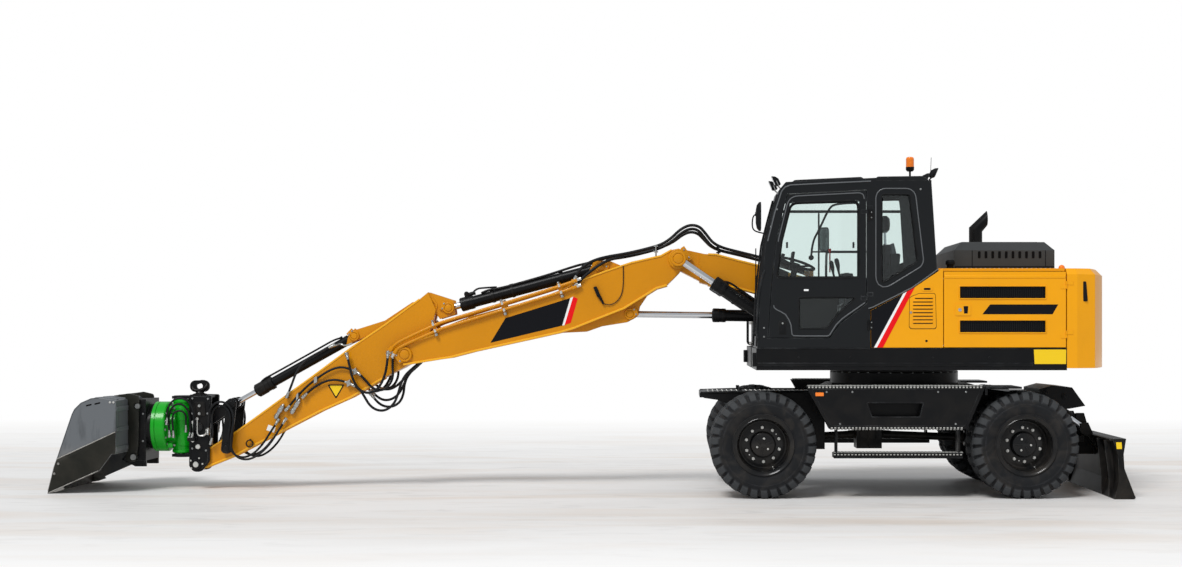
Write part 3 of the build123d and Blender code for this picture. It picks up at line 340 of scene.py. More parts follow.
class Finish:
    """A node material that is built up layer by layer on object coordinates."""

    def __init__(self, name, base, roughness, metallic=0.0, coat=0.0, specular=0.22):
        self.material = bpy.data.materials.new(name)
        self.material.use_nodes = True
        self.nodes = self.material.node_tree.nodes
        self.links = self.material.node_tree.links
        self.shader = self.nodes["Principled BSDF"]
        self.shader.inputs["Metallic"].default_value = metallic
        self.shader.inputs["Coat Weight"].default_value = coat
        self.shader.inputs["Coat Roughness"].default_value = 0.08
        dark = max(base[:3]) < 0.02
        self.shader.inputs["Specular IOR Level"].default_value = 0.12 if dark else specular
        self.place = self.nodes.new("ShaderNodeTexCoord").outputs["Object"]
        self.tint = self.nodes.new("ShaderNodeRGB").outputs[0]
        self.tint.default_value = base
        self.rough = self.nodes.new("ShaderNodeValue").outputs[0]
        self.rough.default_value = roughness
        self.relief = None

    def noise(self, scale, detail=4.0, stretch=(1, 1, 1), distortion=0.0):
        mapping = self.nodes.new("ShaderNodeMapping")
        mapping.inputs["Scale"].default_value = stretch
        self.links.new(self.place, mapping.inputs["Vector"])
        noise = self.nodes.new("ShaderNodeTexNoise")
        noise.inputs["Scale"].default_value = scale
        noise.inputs["Detail"].default_value = detail
        noise.inputs["Distortion"].default_value = distortion
        self.links.new(mapping.outputs[0], noise.inputs["Vector"])
        return noise.outputs["Fac"]

    def span(self, value, low, high, out_low=0.0, out_high=1.0):
        """The value's range low to high stretched to another range and held there."""
        node = self.nodes.new("ShaderNodeMapRange")
        for key, number in zip(("From Min", "From Max", "To Min", "To Max"),
                (low, high, out_low, out_high)):
            node.inputs[key].default_value = number
        self.links.new(value, node.inputs["Value"])
        return node.outputs[0]

    def times(self, a, b, how="MULTIPLY"):
        node = self.nodes.new("ShaderNodeMath")
        node.operation = how
        for socket, value in zip(node.inputs, (a, b)):
            if isinstance(value, (int, float)):
                socket.default_value = value
            else:
                self.links.new(value, socket)
        return node.outputs[0]

    def height(self, low, high, out_low=1.0, out_high=0.0):
        """A value that changes with height above the ground."""
        parts = self.nodes.new("ShaderNodeSeparateXYZ")
        self.links.new(self.place, parts.inputs[0])
        return self.span(parts.outputs[2], low, high, out_low, out_high)

    def lay(self, amount, tint, roughness=None):
        """Another colour, and another roughness, over the last where amount is high."""
        mix = self.nodes.new("ShaderNodeMix")
        mix.data_type = "RGBA"
        self.links.new(amount, mix.inputs["Factor"])
        self.links.new(self.tint, mix.inputs[6])
        mix.inputs[7].default_value = tint
        self.tint = mix.outputs[2]
        if roughness is not None:
            blend = self.nodes.new("ShaderNodeMix")
            self.links.new(amount, blend.inputs["Factor"])
            self.links.new(self.rough, blend.inputs[2])
            blend.inputs[3].default_value = roughness
            self.rough = blend.outputs[0]
        return self

    def bump(self, value, depth, strength=0.3):
        node = self.nodes.new("ShaderNodeBump")
        node.inputs["Strength"].default_value = strength
        node.inputs["Distance"].default_value = depth
        self.links.new(value, node.inputs["Height"])
        if self.relief is not None:
            self.links.new(self.relief, node.inputs["Normal"])
        self.relief = node.outputs[0]
        return self

    def edges(self, radius, wear_and_highlight=0.0, tint=None):
        """Edges that catch the light as if rounded, with a lighter tint laid on them in patches:
        partly wear, partly painted highlight.
        """
        node = self.nodes.new("ShaderNodeBevel")
        node.samples = 4
        node.inputs["Radius"].default_value = radius
        self.relief = node.outputs[0]
        if wear_and_highlight:
            surface = self.nodes.new("ShaderNodeNewGeometry").outputs["True Normal"]
            dot = self.nodes.new("ShaderNodeVectorMath")
            dot.operation = "DOT_PRODUCT"
            self.links.new(node.outputs[0], dot.inputs[0])
            self.links.new(surface, dot.inputs[1])
            # the edge mask: where the rounded normal turns from the true one; the tint laid there
            # is partly wear, partly painted highlight
            turn = self.span(dot.outputs["Value"], 0.995, 0.9)
            patchy = self.span(self.noise(9.0), 0.42, 0.62, 0.15, 1.0)
            self.lay(self.times(self.times(turn, patchy), wear_and_highlight), tint, 0.45)
        return self

    def done(self):
        self.links.new(self.tint, self.shader.inputs["Base Color"])
        self.links.new(self.rough, self.shader.inputs["Roughness"])
        if self.relief is not None:
            self.links.new(self.relief, self.shader.inputs["Normal"])
        return self.material


DUST = colour(120, 110, 98)


def paint(name, base, roughness=0.32, coat=0.3, mottle=0.12, dust=0.0, edge=0.004, wear_and_highlight=0.0,
        worn_and_lit=(0.3, 0.3, 0.3, 1.0)):
    """Sprayed paint: slight orange peel, slow drifts in colour, dust low down and at rest."""
    made = Finish(name, base, roughness, coat=coat)
    # edges rounded in the shading and, where asked, tinted lighter: partly wear, partly painted
    # highlight
    made.edges(edge, wear_and_highlight, worn_and_lit)
    dark = tuple(0.72 * value for value in base[:3]) + (1.0,)
    made.lay(made.times(made.span(made.noise(1.7, 3.0), 0.45, 0.75), mottle * 2), dark,
        roughness + 0.08)
    made.lay(made.times(made.span(made.noise(26.0, 6.0), 0.55, 0.8), mottle), dark)
    if dust:
        low = made.times(made.height(0.0, 1.3, 1.0, 0.12),
            made.span(made.noise(5.0, 8.0, distortion=0.6), 0.38, 0.72))
        made.lay(made.times(low, dust), DUST, 0.75)
    made.bump(made.noise(420.0, 2.0), 0.0004, 0.12)
    return made.done()


def bare_metal(name, base, roughness, streak=(1, 1, 1), dirt=0.2):
    """Metal with fine scratches along one direction and a little grime."""
    made = Finish(name, base, roughness, metallic=1.0)
    made.edges(0.0015)
    made.lay(made.times(made.span(made.noise(14.0, 6.0), 0.5, 0.75), dirt), colour(60, 56, 50), 0.6)
    made.bump(made.noise(180.0, 3.0, streak), 0.0003, 0.15)
    return made.done()


def paler_lug_faces(material, lug_node):
    """Lug faces a paler grey than the grooves, by the share each point is raised."""
    nodes, links = material.node_tree.nodes, material.node_tree.links
    shader = nodes["Principled BSDF"]
    lug_face_mix = nodes.new("ShaderNodeMix")
    lug_face_mix.data_type = "RGBA"
    lug_face_mix.inputs["B"].default_value = colour(66, 68, 70)
    share = nodes.new("ShaderNodeMath")
    share.operation = "MULTIPLY"
    share.inputs[1].default_value = 0.75
    links.new(lug_node.outputs["Fac"], share.inputs[0])
    links.new(share.outputs[0], lug_face_mix.inputs["Factor"])
    links.new(shader.inputs["Base Color"].links[0].from_socket, lug_face_mix.inputs["A"])
    links.new(lug_face_mix.outputs["Result"], shader.inputs["Base Color"])


def rubber(name, base, roughness, dust=0.25, grain=160.0):
    made = Finish(name, base, roughness)
    # edges tinted far lighter than the rubber: partly wear, partly painted highlight
    made.edges(0.0045, 0.9, tuple(7.0 * value for value in base[:3]) + (1.0,))
    made.lay(made.times(made.span(made.noise(3.0, 5.0), 0.4, 0.7), 0.5),
        tuple(1.7 * value for value in base[:3]) + (1.0,), roughness + 0.1)
    made.lay(made.times(made.span(made.noise(7.0, 9.0, distortion=0.8), 0.45, 0.75), dust), DUST,
        0.85)
    made.bump(made.noise(grain, 4.0), 0.0008, 0.35)
    return made.done()


YELLOW = colour(238, 162, 0)
BLACK = colour(15, 16, 18)
SIGNAL_RED = colour(232, 4, 14)

yellow_paint = paint("yellow_paint", YELLOW, 0.3, coat=0.12, mottle=0.1, dust=0.1)
# booms and arm: yellow set darker than the house's, as painted shade on their sides
shaded_boom_paint = paint("shaded_boom_paint", colour(210, 137, 0), 0.34, coat=0.1, mottle=0.16, dust=0.05,
    edge=0.007)
# flanges along the booms' edges: a lighter yellow, painted highlight of the light along them
lit_flange_paint = paint("lit_flange_paint", colour(240, 174, 34), 0.28, coat=0.2, mottle=0.08)
# the edge tints given below are partly wear, partly painted highlight
black_paint = paint("black_paint", BLACK, 0.34, coat=0.02, mottle=0.2, dust=0.07, wear_and_highlight=0.6,
    worn_and_lit=colour(104, 107, 110))
cab_paint = paint("cab_paint", colour(26, 28, 30), 0.3, coat=0.06, mottle=0.1, edge=0.012,
    wear_and_highlight=0.35, worn_and_lit=colour(120, 123, 126))
# a lighter grey for the cab's press lines, flanges and gutter: painted highlight of the light along
# them
highlight_grey_paint = paint("highlight_grey_paint", colour(92, 95, 98), 0.25, coat=0.3, mottle=0.1)
blade_paint = paint("blade_paint", colour(13, 14, 15), 0.42, coat=0.04, mottle=0.2, dust=0.12,
    wear_and_highlight=0.7, worn_and_lit=colour(140, 138, 134))
rotator_green = paint("rotator_green", colour(10, 164, 26), 0.3, coat=0.2, mottle=0.15, wear_and_highlight=0.3,
    worn_and_lit=colour(120, 130, 120))
cast_black = paint("cast_black", colour(12, 13, 15), 0.42, coat=0.06, mottle=0.25, dust=0.3,
    edge=0.006)
rim_paint = paint("rim_paint", colour(14, 15, 17), 0.36, coat=0.3, mottle=0.15, dust=0.15)
engine_iron = paint("engine_iron", colour(92, 94, 96), 0.6, coat=0.0, mottle=0.3)
rod_chrome = bare_metal("rod_chrome", colour(205, 208, 212), 0.12, dirt=0.06)
zinc = bare_metal("zinc", colour(176, 178, 176), 0.34)
bolt_steel = bare_metal("bolt_steel", colour(150, 152, 152), 0.38, dirt=0.4)
tyre_rubber = rubber("tyre_rubber", colour(26, 27, 29), 0.62, dust=0.1)
lug_node = tyre_rubber.node_tree.nodes.new("ShaderNodeAttribute")
lug_node.attribute_name = "lug"
paler_lug_faces(tyre_rubber, lug_node)
hose_rubber = rubber("hose_rubber", colour(22, 23, 25), 0.38, dust=0.05, grain=300.0)
seal_rubber = rubber("seal_rubber", colour(20, 21, 22), 0.55, dust=0.02)
# black for printed bands and edges, and for recesses, slots and a hole: painted shade there
print_and_shade_black = paint("print_and_shade_black", colour(12, 13, 18), 0.25, coat=0.05, mottle=0.05, edge=0.0005)
decal_white = paint("decal_white", colour(238, 240, 240), 0.25, coat=0.4, mottle=0.03, edge=0.0005)
decal_red = paint("decal_red", SIGNAL_RED, 0.25, coat=0.08, mottle=0.05, edge=0.0005)
decal_yellow = paint("decal_yellow", colour(240, 200, 12), 0.3, coat=0.4, mottle=0.05, edge=0.0005)


def plastic(name, base, roughness=0.55, grain=700.0):
    """Moulded plastic with a fine leather-like grain."""
    made = Finish(name, base, roughness)
    made.edges(0.003)
    made.lay(made.times(made.span(made.noise(3.0, 4.0), 0.4, 0.7), 0.3),
        tuple(1.5 * value for value in base[:3]) + (1.0,))
    made.bump(made.noise(grain, 3.0), 0.0003, 0.4)
    return made.done()


dark_plastic = plastic("dark_plastic", colour(19, 20, 22))
hood_plastic = plastic("hood_plastic", colour(56, 58, 59))
# black for slots and louvres, painted shade of their openings, and for the camera's lens
shade_and_lens_black = plastic("shade_and_lens_black", colour(5, 5, 6), 0.8)
grey_plastic = plastic("grey_plastic", colour(74, 76, 80))


def lit_plastic(name, base, roughness=0.15):
    """Clear tinted plastic over a pale reflector, with fine ribs."""
    made = Finish(name, base, roughness, coat=0.6)
    made.lay(made.times(made.span(made.noise(60.0, 2.0, (1, 1, 6)), 0.45, 0.6), 0.5),
        tuple(min(1.0, 1.5 * value) for value in base[:3]) + (1.0,))
    made.bump(made.noise(140.0, 1.0, (1, 1, 4)), 0.0006, 0.3)
    return made.done()


lamp_red = lit_plastic("lamp_red", colour(126, 10, 14))
tread_steel = bare_metal("tread_steel", colour(196, 196, 192), 0.45, dirt=0.3)
nut_steel = bare_metal("nut_steel", colour(214, 214, 210), 0.35, dirt=0.15)
bucket_dark = paint("bucket_dark", colour(31, 32, 28), 0.45, coat=0.03, mottle=0.3, dust=0.1,
    wear_and_highlight=0.6, worn_and_lit=colour(150, 148, 144))
worn_edge = bare_metal("worn_edge", colour(150, 148, 144), 0.4, (1, 1, 0.2), dirt=0.6)
amber = lit_plastic("amber_lens", colour(244, 122, 22))
lamp_lens = lit_plastic("lamp_lens", colour(226, 230, 232))
mirror_glass = bare_metal("mirror_glass", colour(218, 228, 230), 0.04, dirt=0.02)


def steel_of_the_bucket():
    """Grey-painted bucket steel, scoured brighter and streaked upwards from its edge."""
    made = Finish("bucket_steel", colour(104, 108, 112), 0.42, metallic=0.25)
    # edges tinted lighter: partly wear, partly painted highlight
    made.edges(0.004, 0.5, colour(170, 168, 164))
    scour = made.times(made.height(0.0, 0.5, 1.0, 0.0),
        made.span(made.noise(4.0, 8.0, (1, 1, 0.4), 1.0), 0.3, 0.65))
    made.lay(scour, colour(150, 146, 140), 0.5)
    made.lay(made.times(made.span(made.noise(12.0, 8.0, (1, 1, 0.25)), 0.55, 0.8), 0.7),
        colour(58, 60, 62), 0.6)
    made.bump(made.noise(60.0, 6.0, (1, 1, 0.3)), 0.001, 0.3)
    return made.done()


bucket_steel = steel_of_the_bucket()


def window_glass():
    """Thin tinted glass: mostly clear, with a mirror sheen at its grazing angles."""
    material = bpy.data.materials.new("window_glass")
    material.use_nodes = True
    nodes, links = material.node_tree.nodes, material.node_tree.links
    nodes.remove(nodes["Principled BSDF"])
    clear = nodes.new("ShaderNodeBsdfTransparent")
    clear.inputs["Color"].default_value = colour(246, 251, 250)
    sheen = nodes.new("ShaderNodeBsdfGlossy")
    sheen.inputs["Roughness"].default_value = 0.03
    # the share mirrored is the same on both faces of a pane: 0.04 + 0.9 * facing ** 5
    facing = nodes.new("ShaderNodeLayerWeight")
    facing.inputs["Blend"].default_value = 0.5
    grazing = nodes.new("ShaderNodeMath")
    grazing.operation = "POWER"
    grazing.inputs[1].default_value = 5.0
    links.new(facing.outputs["Facing"], grazing.inputs[0])
    share = nodes.new("ShaderNodeMath")
    share.operation = "MULTIPLY_ADD"
    share.inputs[1].default_value = 0.9
    share.inputs[2].default_value = 0.04
    links.new(grazing.outputs[0], share.inputs[0])
    mix = nodes.new("ShaderNodeMixShader")
    links.new(share.outputs[0], mix.inputs[0])
    links.new(clear.outputs[0], mix.inputs[1])
    links.new(sheen.outputs[0], mix.inputs[2])
    links.new(mix.outputs[0], nodes["Material Output"].inputs["Surface"])
    return material


glass = window_glass()


def seat_cloth():
    """Dark woven cloth: two crossed sets of fine ribs."""
    made = Finish("seat_cloth", colour(48, 49, 53), 0.9)
    made.shader.inputs["Sheen Weight"].default_value = 0.3
    made.lay(made.times(made.span(made.noise(5.0, 5.0), 0.4, 0.7), 0.5), colour(66, 67, 71))
    weave = None
    for direction in ("X", "Z"):
        wave = made.nodes.new("ShaderNodeTexWave")
        wave.bands_direction = direction
        wave.inputs["Scale"].default_value = 220.0
        made.links.new(made.place, wave.inputs["Vector"])
        out = wave.outputs["Fac"]
        weave = out if weave is None else made.times(weave, out, "MAXIMUM")
    made.bump(weave, 0.0006, 0.5)
    return made.done()


cloth = seat_cloth()

NODE_FINISH = {"yellow_paint": yellow_paint, "black_paint": black_paint,
    "bucket_steel": bucket_steel, "green_paint": rotator_green, "rod_chrome": rod_chrome,
    "tyre": tyre_rubber, "rim_paint": rim_paint, "engine_iron": engine_iron, "window_glass": glass,
    "seat_cloth": cloth, "dark_plastic": dark_plastic, "hose_rubber": hose_rubber,}
SPECIAL_FINISH = {"cab_shell": cab_paint, "cab_door": cab_paint, "front_boom": shaded_boom_paint,
    "base_boom": shaded_boom_paint, "arm": shaded_boom_paint, "dozer_blade": blade_paint,
    "front_axle": cast_black, "rear_axle": cast_black, "driveline": cast_black,
    "knuckle_left": cast_black, "knuckle_right": cast_black, "engine_hood": hood_plastic,
    "rocker_links": black_paint, "bucket_link": black_paint, "cab_controls": grey_plastic,}
for part in frame["record"]["subparts"]:
    node = frame["nodes"][part["node"]]
    material = SPECIAL_FINISH.get(part["node"], NODE_FINISH[part["material_slot"]])
    node.data.materials.clear()
    node.data.materials.append(material)


# ---------------------------------------------------------------- hoses
def mirrored(route):
    return [(x, -y, z) for x, y, z in route]


def hose_end(at, heading, radius):
    """A crimped ferrule and a hexagonal nut: rings of changing radius along the hose's end."""
    heading = unit(heading)
    steps = [(0.0, 1.35), (0.2, 1.5), (0.24, 1.3), (0.42, 1.5), (0.46, 1.3), (0.62, 1.5),
        (0.68, 1.15), (1.0, 1.1)]
    ferrule = bar_shape(at - heading * 0.006, at + heading * 0.05, radius, 16, steps)
    nut = bar_shape(at - heading * 0.024, at - heading * 0.002, radius * 1.75, 6)
    return Shell().add(*ferrule).add(*nut)


def lay_hose(name, route, diameter, node, body, slack, other):
    """One hose on the smooth line of its route. Where it crosses a joint it is left in world
    space, with its end fittings on the two bodies."""
    line = nurbs_line(name, route)
    piece = tube(name, line, diameter / 2, hose_rubber, None, 12, sharp=60)
    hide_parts(node)
    if other:
        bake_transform(piece)
    else:
        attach(piece, body)
    for end, at, inner, rides in (("start", line[0], line[2], body),
            ("end", line[-1], line[-3], other or body)):
        hose_end(at, inner - at, diameter / 2).finish(f"{name}_{end}_fitting", zinc, rides)


KNEE_HOSES = ([(-0.135, -0.185, 2.15), (-0.105, -0.185, 2.235), (-0.03, -0.178, 2.31),
    (0.08, -0.15, 2.365), (0.21, -0.105, 2.4), (0.36, -0.07, 2.425), (0.5, -0.06, 2.455),
    (0.64, -0.058, 2.49), (0.76, -0.06, 2.525), (0.86, -0.06, 2.59), (0.95, -0.06, 2.68),
    (1.05, -0.06, 2.73), (1.15, -0.06, 2.715), (1.215, -0.06, 2.64), (1.285, -0.06, 2.545),
    (1.385, -0.06, 2.492), (1.55, -0.06, 2.45), (1.77, -0.058, 2.397), (2.02, -0.058, 2.325),
    (2.285, -0.06, 2.24)], [(-0.135, -0.185, 2.085), (-0.07, -0.185, 2.16), (0.01, -0.182, 2.23),
    (0.11, -0.165, 2.305), (0.23, -0.125, 2.372), (0.36, -0.04, 2.392), (0.5, -0.005, 2.422),
    (0.64, 0.0, 2.458), (0.76, 0.0, 2.495), (0.87, 0.0, 2.56), (0.965, 0.0, 2.65),
    (1.055, 0.0, 2.695), (1.14, 0.0, 2.68), (1.2, 0.0, 2.605), (1.275, 0.0, 2.508),
    (1.38, 0.0, 2.46), (1.55, 0.0, 2.425), (1.77, 0.0, 2.367), (2.02, 0.0, 2.298),
    (2.285, 0.0, 2.215)], [(-0.135, 0.185, 2.15), (-0.105, 0.185, 2.235), (-0.03, 0.178, 2.31),
    (0.08, 0.15, 2.365), (0.21, 0.105, 2.4), (0.36, 0.075, 2.42), (0.5, 0.062, 2.445),
    (0.64, 0.06, 2.475), (0.77, 0.06, 2.505), (0.885, 0.06, 2.56), (0.975, 0.06, 2.632),
    (1.06, 0.06, 2.665), (1.14, 0.06, 2.645), (1.2, 0.06, 2.58), (1.275, 0.06, 2.503),
    (1.38, 0.06, 2.462), (1.55, 0.06, 2.425), (1.77, 0.06, 2.367), (2.02, 0.06, 2.298),
    (2.285, 0.06, 2.215)],)
ELBOW_OUTER = ([(-2.05, -0.208, 1.4), (-2.06, -0.208, 1.26), (-2.1, -0.208, 1.12),
    (-2.165, -0.208, 1.02), (-2.265, -0.208, 0.985), (-2.36, -0.208, 1.035), (-2.42, -0.205, 1.15),
    (-2.445, -0.2, 1.27), (-2.475, -0.19, 1.385)], [(-2.003, -0.176, 1.395), (-2.01, -0.176, 1.275),
    (-2.0, -0.176, 1.16), (-2.045, -0.176, 1.06), (-2.13, -0.176, 1.012), (-2.22, -0.174, 1.04),
    (-2.29, -0.168, 1.13), (-2.375, -0.16, 1.205)],)
ELBOW_INNER = ([(-1.572, -0.1, 1.452), (-1.68, -0.1, 1.358), (-1.8, -0.1, 1.255),
    (-1.89, -0.105, 1.175), (-1.935, -0.115, 1.08), (-1.96, -0.12, 0.98), (-1.995, -0.128, 0.885),
    (-2.07, -0.134, 0.815), (-2.16, -0.14, 0.805), (-2.245, -0.146, 0.855), (-2.3, -0.152, 0.95),
    (-2.35, -0.156, 1.035), (-2.44, -0.16, 1.085)], [(-1.572, -0.055, 1.452),
    (-1.68, -0.055, 1.355), (-1.79, -0.055, 1.26), (-1.87, -0.055, 1.172), (-1.905, -0.055, 1.078),
    (-1.912, -0.055, 0.98), (-1.95, -0.055, 0.89), (-2.03, -0.055, 0.842), (-2.12, -0.055, 0.848),
    (-2.195, -0.055, 0.9), (-2.245, -0.055, 0.97)], [(-1.572, -0.015, 1.452),
    (-1.685, -0.015, 1.35), (-1.79, -0.015, 1.25), (-1.88, -0.015, 1.172), (-1.945, -0.015, 1.1),
    (-2.01, -0.015, 1.045), (-2.085, -0.015, 1.018), (-2.16, -0.015, 1.03)], [(-1.572, 0.03, 1.452),
    (-1.68, 0.03, 1.358), (-1.795, 0.03, 1.26), (-1.88, 0.03, 1.17), (-1.925, 0.03, 1.072),
    (-1.968, 0.03, 0.982), (-2.038, 0.03, 0.922), (-2.122, 0.03, 0.905), (-2.2, 0.03, 0.94),
    (-2.255, 0.03, 1.0)],)
ARM_HOSES = ([(-2.39, -0.16, 1.212), (-2.475, -0.16, 1.25), (-2.57, -0.16, 1.258),
    (-2.67, -0.16, 1.22), (-2.79, -0.16, 1.142), (-2.91, -0.16, 1.045), (-3.01, -0.16, 0.935),
    (-3.1, -0.16, 0.825)], [(-2.455, -0.16, 1.092), (-2.545, -0.16, 1.122), (-2.65, -0.16, 1.128),
    (-2.75, -0.16, 1.092), (-2.85, -0.16, 1.028), (-2.925, -0.16, 0.955)], [(-2.64, -0.07, 1.478),
    (-2.74, -0.072, 1.43), (-2.85, -0.082, 1.375), (-2.95, -0.102, 1.298), (-3.015, -0.128, 1.195),
    (-3.05, -0.148, 1.08), (-3.095, -0.158, 0.96)],)
HITCH_HOSES = ([(-3.19, -0.165, 0.705), (-3.265, -0.168, 0.59), (-3.34, -0.172, 0.47),
    (-3.425, -0.18, 0.375), (-3.525, -0.19, 0.325), (-3.62, -0.2, 0.345), (-3.68, -0.21, 0.43),
    (-3.69, -0.214, 0.54), (-3.67, -0.214, 0.65), (-3.665, -0.214, 0.765), (-3.705, -0.214, 0.845),
    (-3.775, -0.214, 0.87), (-3.835, -0.214, 0.835), (-3.86, -0.214, 0.755), (-3.855, -0.212, 0.66),
    (-3.845, -0.206, 0.57), (-3.872, -0.194, 0.485)], [(-3.115, -0.165, 0.715),
    (-3.19, -0.175, 0.59), (-3.27, -0.195, 0.46), (-3.37, -0.215, 0.36), (-3.48, -0.228, 0.305),
    (-3.585, -0.238, 0.325), (-3.65, -0.24, 0.405), (-3.662, -0.24, 0.51), (-3.64, -0.24, 0.62),
    (-3.625, -0.24, 0.73), (-3.65, -0.24, 0.835), (-3.715, -0.24, 0.9), (-3.795, -0.24, 0.905),
    (-3.86, -0.238, 0.85), (-3.888, -0.23, 0.765), (-3.89, -0.218, 0.67), (-3.902, -0.196, 0.59)],)
TOOL_HOSES = ([(-4.06, -0.222, 0.537), (-4.035, -0.222, 0.67), (-4.042, -0.222, 0.8),
    (-4.085, -0.222, 0.9), (-4.165, -0.222, 0.945), (-4.245, -0.222, 0.93), (-4.3, -0.222, 0.86),
    (-4.316, -0.222, 0.77), (-4.318, -0.222, 0.69)], [(-4.128, -0.196, 0.612),
    (-4.131, -0.196, 0.69), (-4.128, -0.196, 0.768), (-4.168, -0.196, 0.809),
    (-4.226, -0.196, 0.809), (-4.266, -0.196, 0.768), (-4.268, -0.196, 0.7),
    (-4.262, -0.196, 0.625), (-4.256, -0.196, 0.556)], [(-4.092, -0.196, 0.537),
    (-4.08, -0.196, 0.64), (-4.086, -0.196, 0.74), (-4.112, -0.196, 0.828), (-4.172, -0.196, 0.88),
    (-4.24, -0.196, 0.876), (-4.288, -0.196, 0.822), (-4.304, -0.196, 0.74), (-4.304, -0.196, 0.65),
    (-4.298, -0.196, 0.56)],)
# name, routes, on both sides, diameter, node, body, lay, the body at its other end
HOSES = (("knee_hose", KNEE_HOSES, False, 0.03, "knee_hoses", "upper_boom", "loose", "lower_boom"),
    ("elbow_outer_hose", ELBOW_OUTER, True, 0.026, "elbow_hoses", "upper_boom", "hanging", "stick"),
    ("elbow_inner_hose", ELBOW_INNER, False, 0.026, "elbow_hoses", "upper_boom", "hanging",
    "stick"), ("arm_hose", ARM_HOSES, False, 0.024, "hitch_hoses", "stick", "loose", None),
    ("hitch_hose", HITCH_HOSES, True, 0.022, "hitch_hoses", "stick", "hanging", "hitch"),
    ("tool_hose", TOOL_HOSES, True, 0.02, "tool_hoses", "hitch", "hanging", "tilt_head"),)
for family, routes, paired, *way_laid in HOSES:
    for number, route in enumerate(routes):
        if paired:
            lay_hose(f"{family}_left_{number}", route, *way_laid)
            lay_hose(f"{family}_right_{number}", mirrored(route), *way_laid)
        else:
            lay_hose(f"{family}_{number}", route, *way_laid)

# ---------------------------------------------------------------- wheels
FRONT_AXLE_X, REAR_AXLE_X, TYRE_R = 1.76, 4.31, 0.52
TYRE_OUT, TYRE_WIDTH, TWIN_PITCH = 1.25, 0.26, 0.32
LUGS, LUG_HEIGHT = 30, 0.0185
DISC_FACE, HUB_FACE = 1.0605, 1.13
# half of a tyre's section, from the bead to the crown: distance in from the sidewall's
# face, radius, share of the lug pattern that reaches there
TYRE_SECTION = ((0.034, 0.286, 0.0), (0.018, 0.289, 0.0), (0.014, 0.297, 0.0), (0.017, 0.305, 0.0),
    (0.012, 0.318, 0.0), (0.006, 0.334, 0.0), (0.003, 0.352, 0.0), (0.001, 0.372, 0.0),
    (0.0015, 0.39, 0.0), (-0.0005, 0.393, 0.0), (-0.0005, 0.399, 0.0), (0.002, 0.402, 0.0),
    (0.003, 0.414, 0.0), (0.006, 0.424, 0.0), (0.011, 0.432, 0.3), (0.018, 0.44, 1.0),
    (0.024, 0.456, 1.0), (0.031, 0.473, 1.0), (0.04, 0.487, 1.0), (0.051, 0.496, 1.0),
    (0.066, 0.5, 1.0), (0.08, 0.501, 1.0), (0.09, 0.502, 1.0), (0.098, 0.502, 0.8),
    (0.113, 0.503, 0.8), (0.13, 0.503, 0.8),)


def tyre_shape(axle_x, outer, side):
    """One tyre as radius and width over (section point, angle). The surface is pushed out
    along the section's own normal by a square wave of 30 lugs a turn, which slants with the
    distance from the crown and is half a step on between the two shoulders."""
    half = np.array(TYRE_SECTION)
    inset = np.concatenate([half[:, 0], (TYRE_WIDTH - half[::-1, 0])[1:]])
    radius = np.concatenate([half[:, 1], half[::-1, 1][1:]])
    reach = np.concatenate([half[:, 2], half[::-1, 2][1:]])
    line = np.stack([inset, radius], axis=1)
    slope = unit(np.gradient(line, axis=0))
    outward = np.stack([-slope[:, 1], slope[:, 0]], axis=1)
    angle = np.linspace(0, 2 * np.pi, LUGS * 16, endpoint=False)
    across = (inset - TYRE_WIDTH / 2) / (TYRE_WIDTH / 2)
    crown = np.abs(across) < 0.28
    phase = np.where(across < 0, 0.0, 0.5) + np.where(crown, 0.25, 0.0)
    slant = np.where(crown, 1.1 * across, 0.28 * (1 - np.abs(across)) * np.sign(across))
    turn = (angle[None, :] * LUGS / (2 * np.pi) + phase[:, None] + slant[:, None]) % 1
    width = np.where(crown, 0.36, 0.3 + 0.05 * np.abs(across))[:, None]
    lug = np.clip((width - np.abs(turn - 0.5)) / 0.055 + 0.5, 0, 1)
    push = LUG_HEIGHT * (reach[:, None] * lug)
    push = np.minimum(push, (TYRE_R - radius[:, None]) / np.maximum(outward[:, 1:], 0.05))
    wide = inset[:, None] + push * outward[:, :1]
    tall = radius[:, None] + push * outward[:, 1:]
    points = np.stack([axle_x + tall * np.cos(angle), side * (outer - np.maximum(wide, 0)),
        TYRE_R + tall * np.sin(angle)], axis=-1)
    return points.reshape(-1, 3), grid_faces(len(inset), len(angle), True, True), push.ravel()


# the rim's outer face, from the back of the flange to the hub's middle: y, radius
RIM_FACE = ((1.226, 0.2845), (1.235, 0.29), (1.2375, 0.297), (1.2415, 0.3), (1.245, 0.297),
    (1.2445, 0.291), (1.2385, 0.284), (1.233, 0.272), (1.232, 0.267), (1.235, 0.262),
    (1.234, 0.257), (1.224, 0.253), (1.16, 0.247), (1.1, 0.244), (1.066, 0.24), (1.056, 0.23),
    (1.056, 0.214), (1.06, 0.2), (1.061, 0.14), (1.06, 0.128), (1.064, 0.123), (1.118, 0.12),
    (1.126, 0.117), (1.13, 0.111), (1.13, 0.0),)
RIM_BACK = ((0.982, 0.0), (0.982, 0.125), (1.035, 0.135), (1.035, 0.243), (0.9, 0.255),
    (0.7, 0.258), (0.682, 0.262), (0.676, 0.292), (0.671, 0.297), (0.671, 0.301), (0.677, 0.302),
    (0.681, 0.296), (0.688, 0.2845),)


def rim_shape(axle_x, side):
    """The rim, its disc and the hub's cover: one profile turned about the axle, which runs
    from the hub's back round both flanges to the hub's face."""
    seat = ((0.935, 0.2845), (0.945, 0.272), (1.01, 0.272), (1.02, 0.2845))
    profile = np.array(RIM_BACK + seat + RIM_FACE) * (side, 1)
    return turned(profile, (axle_x, 0, TYRE_R), "Y", 96)


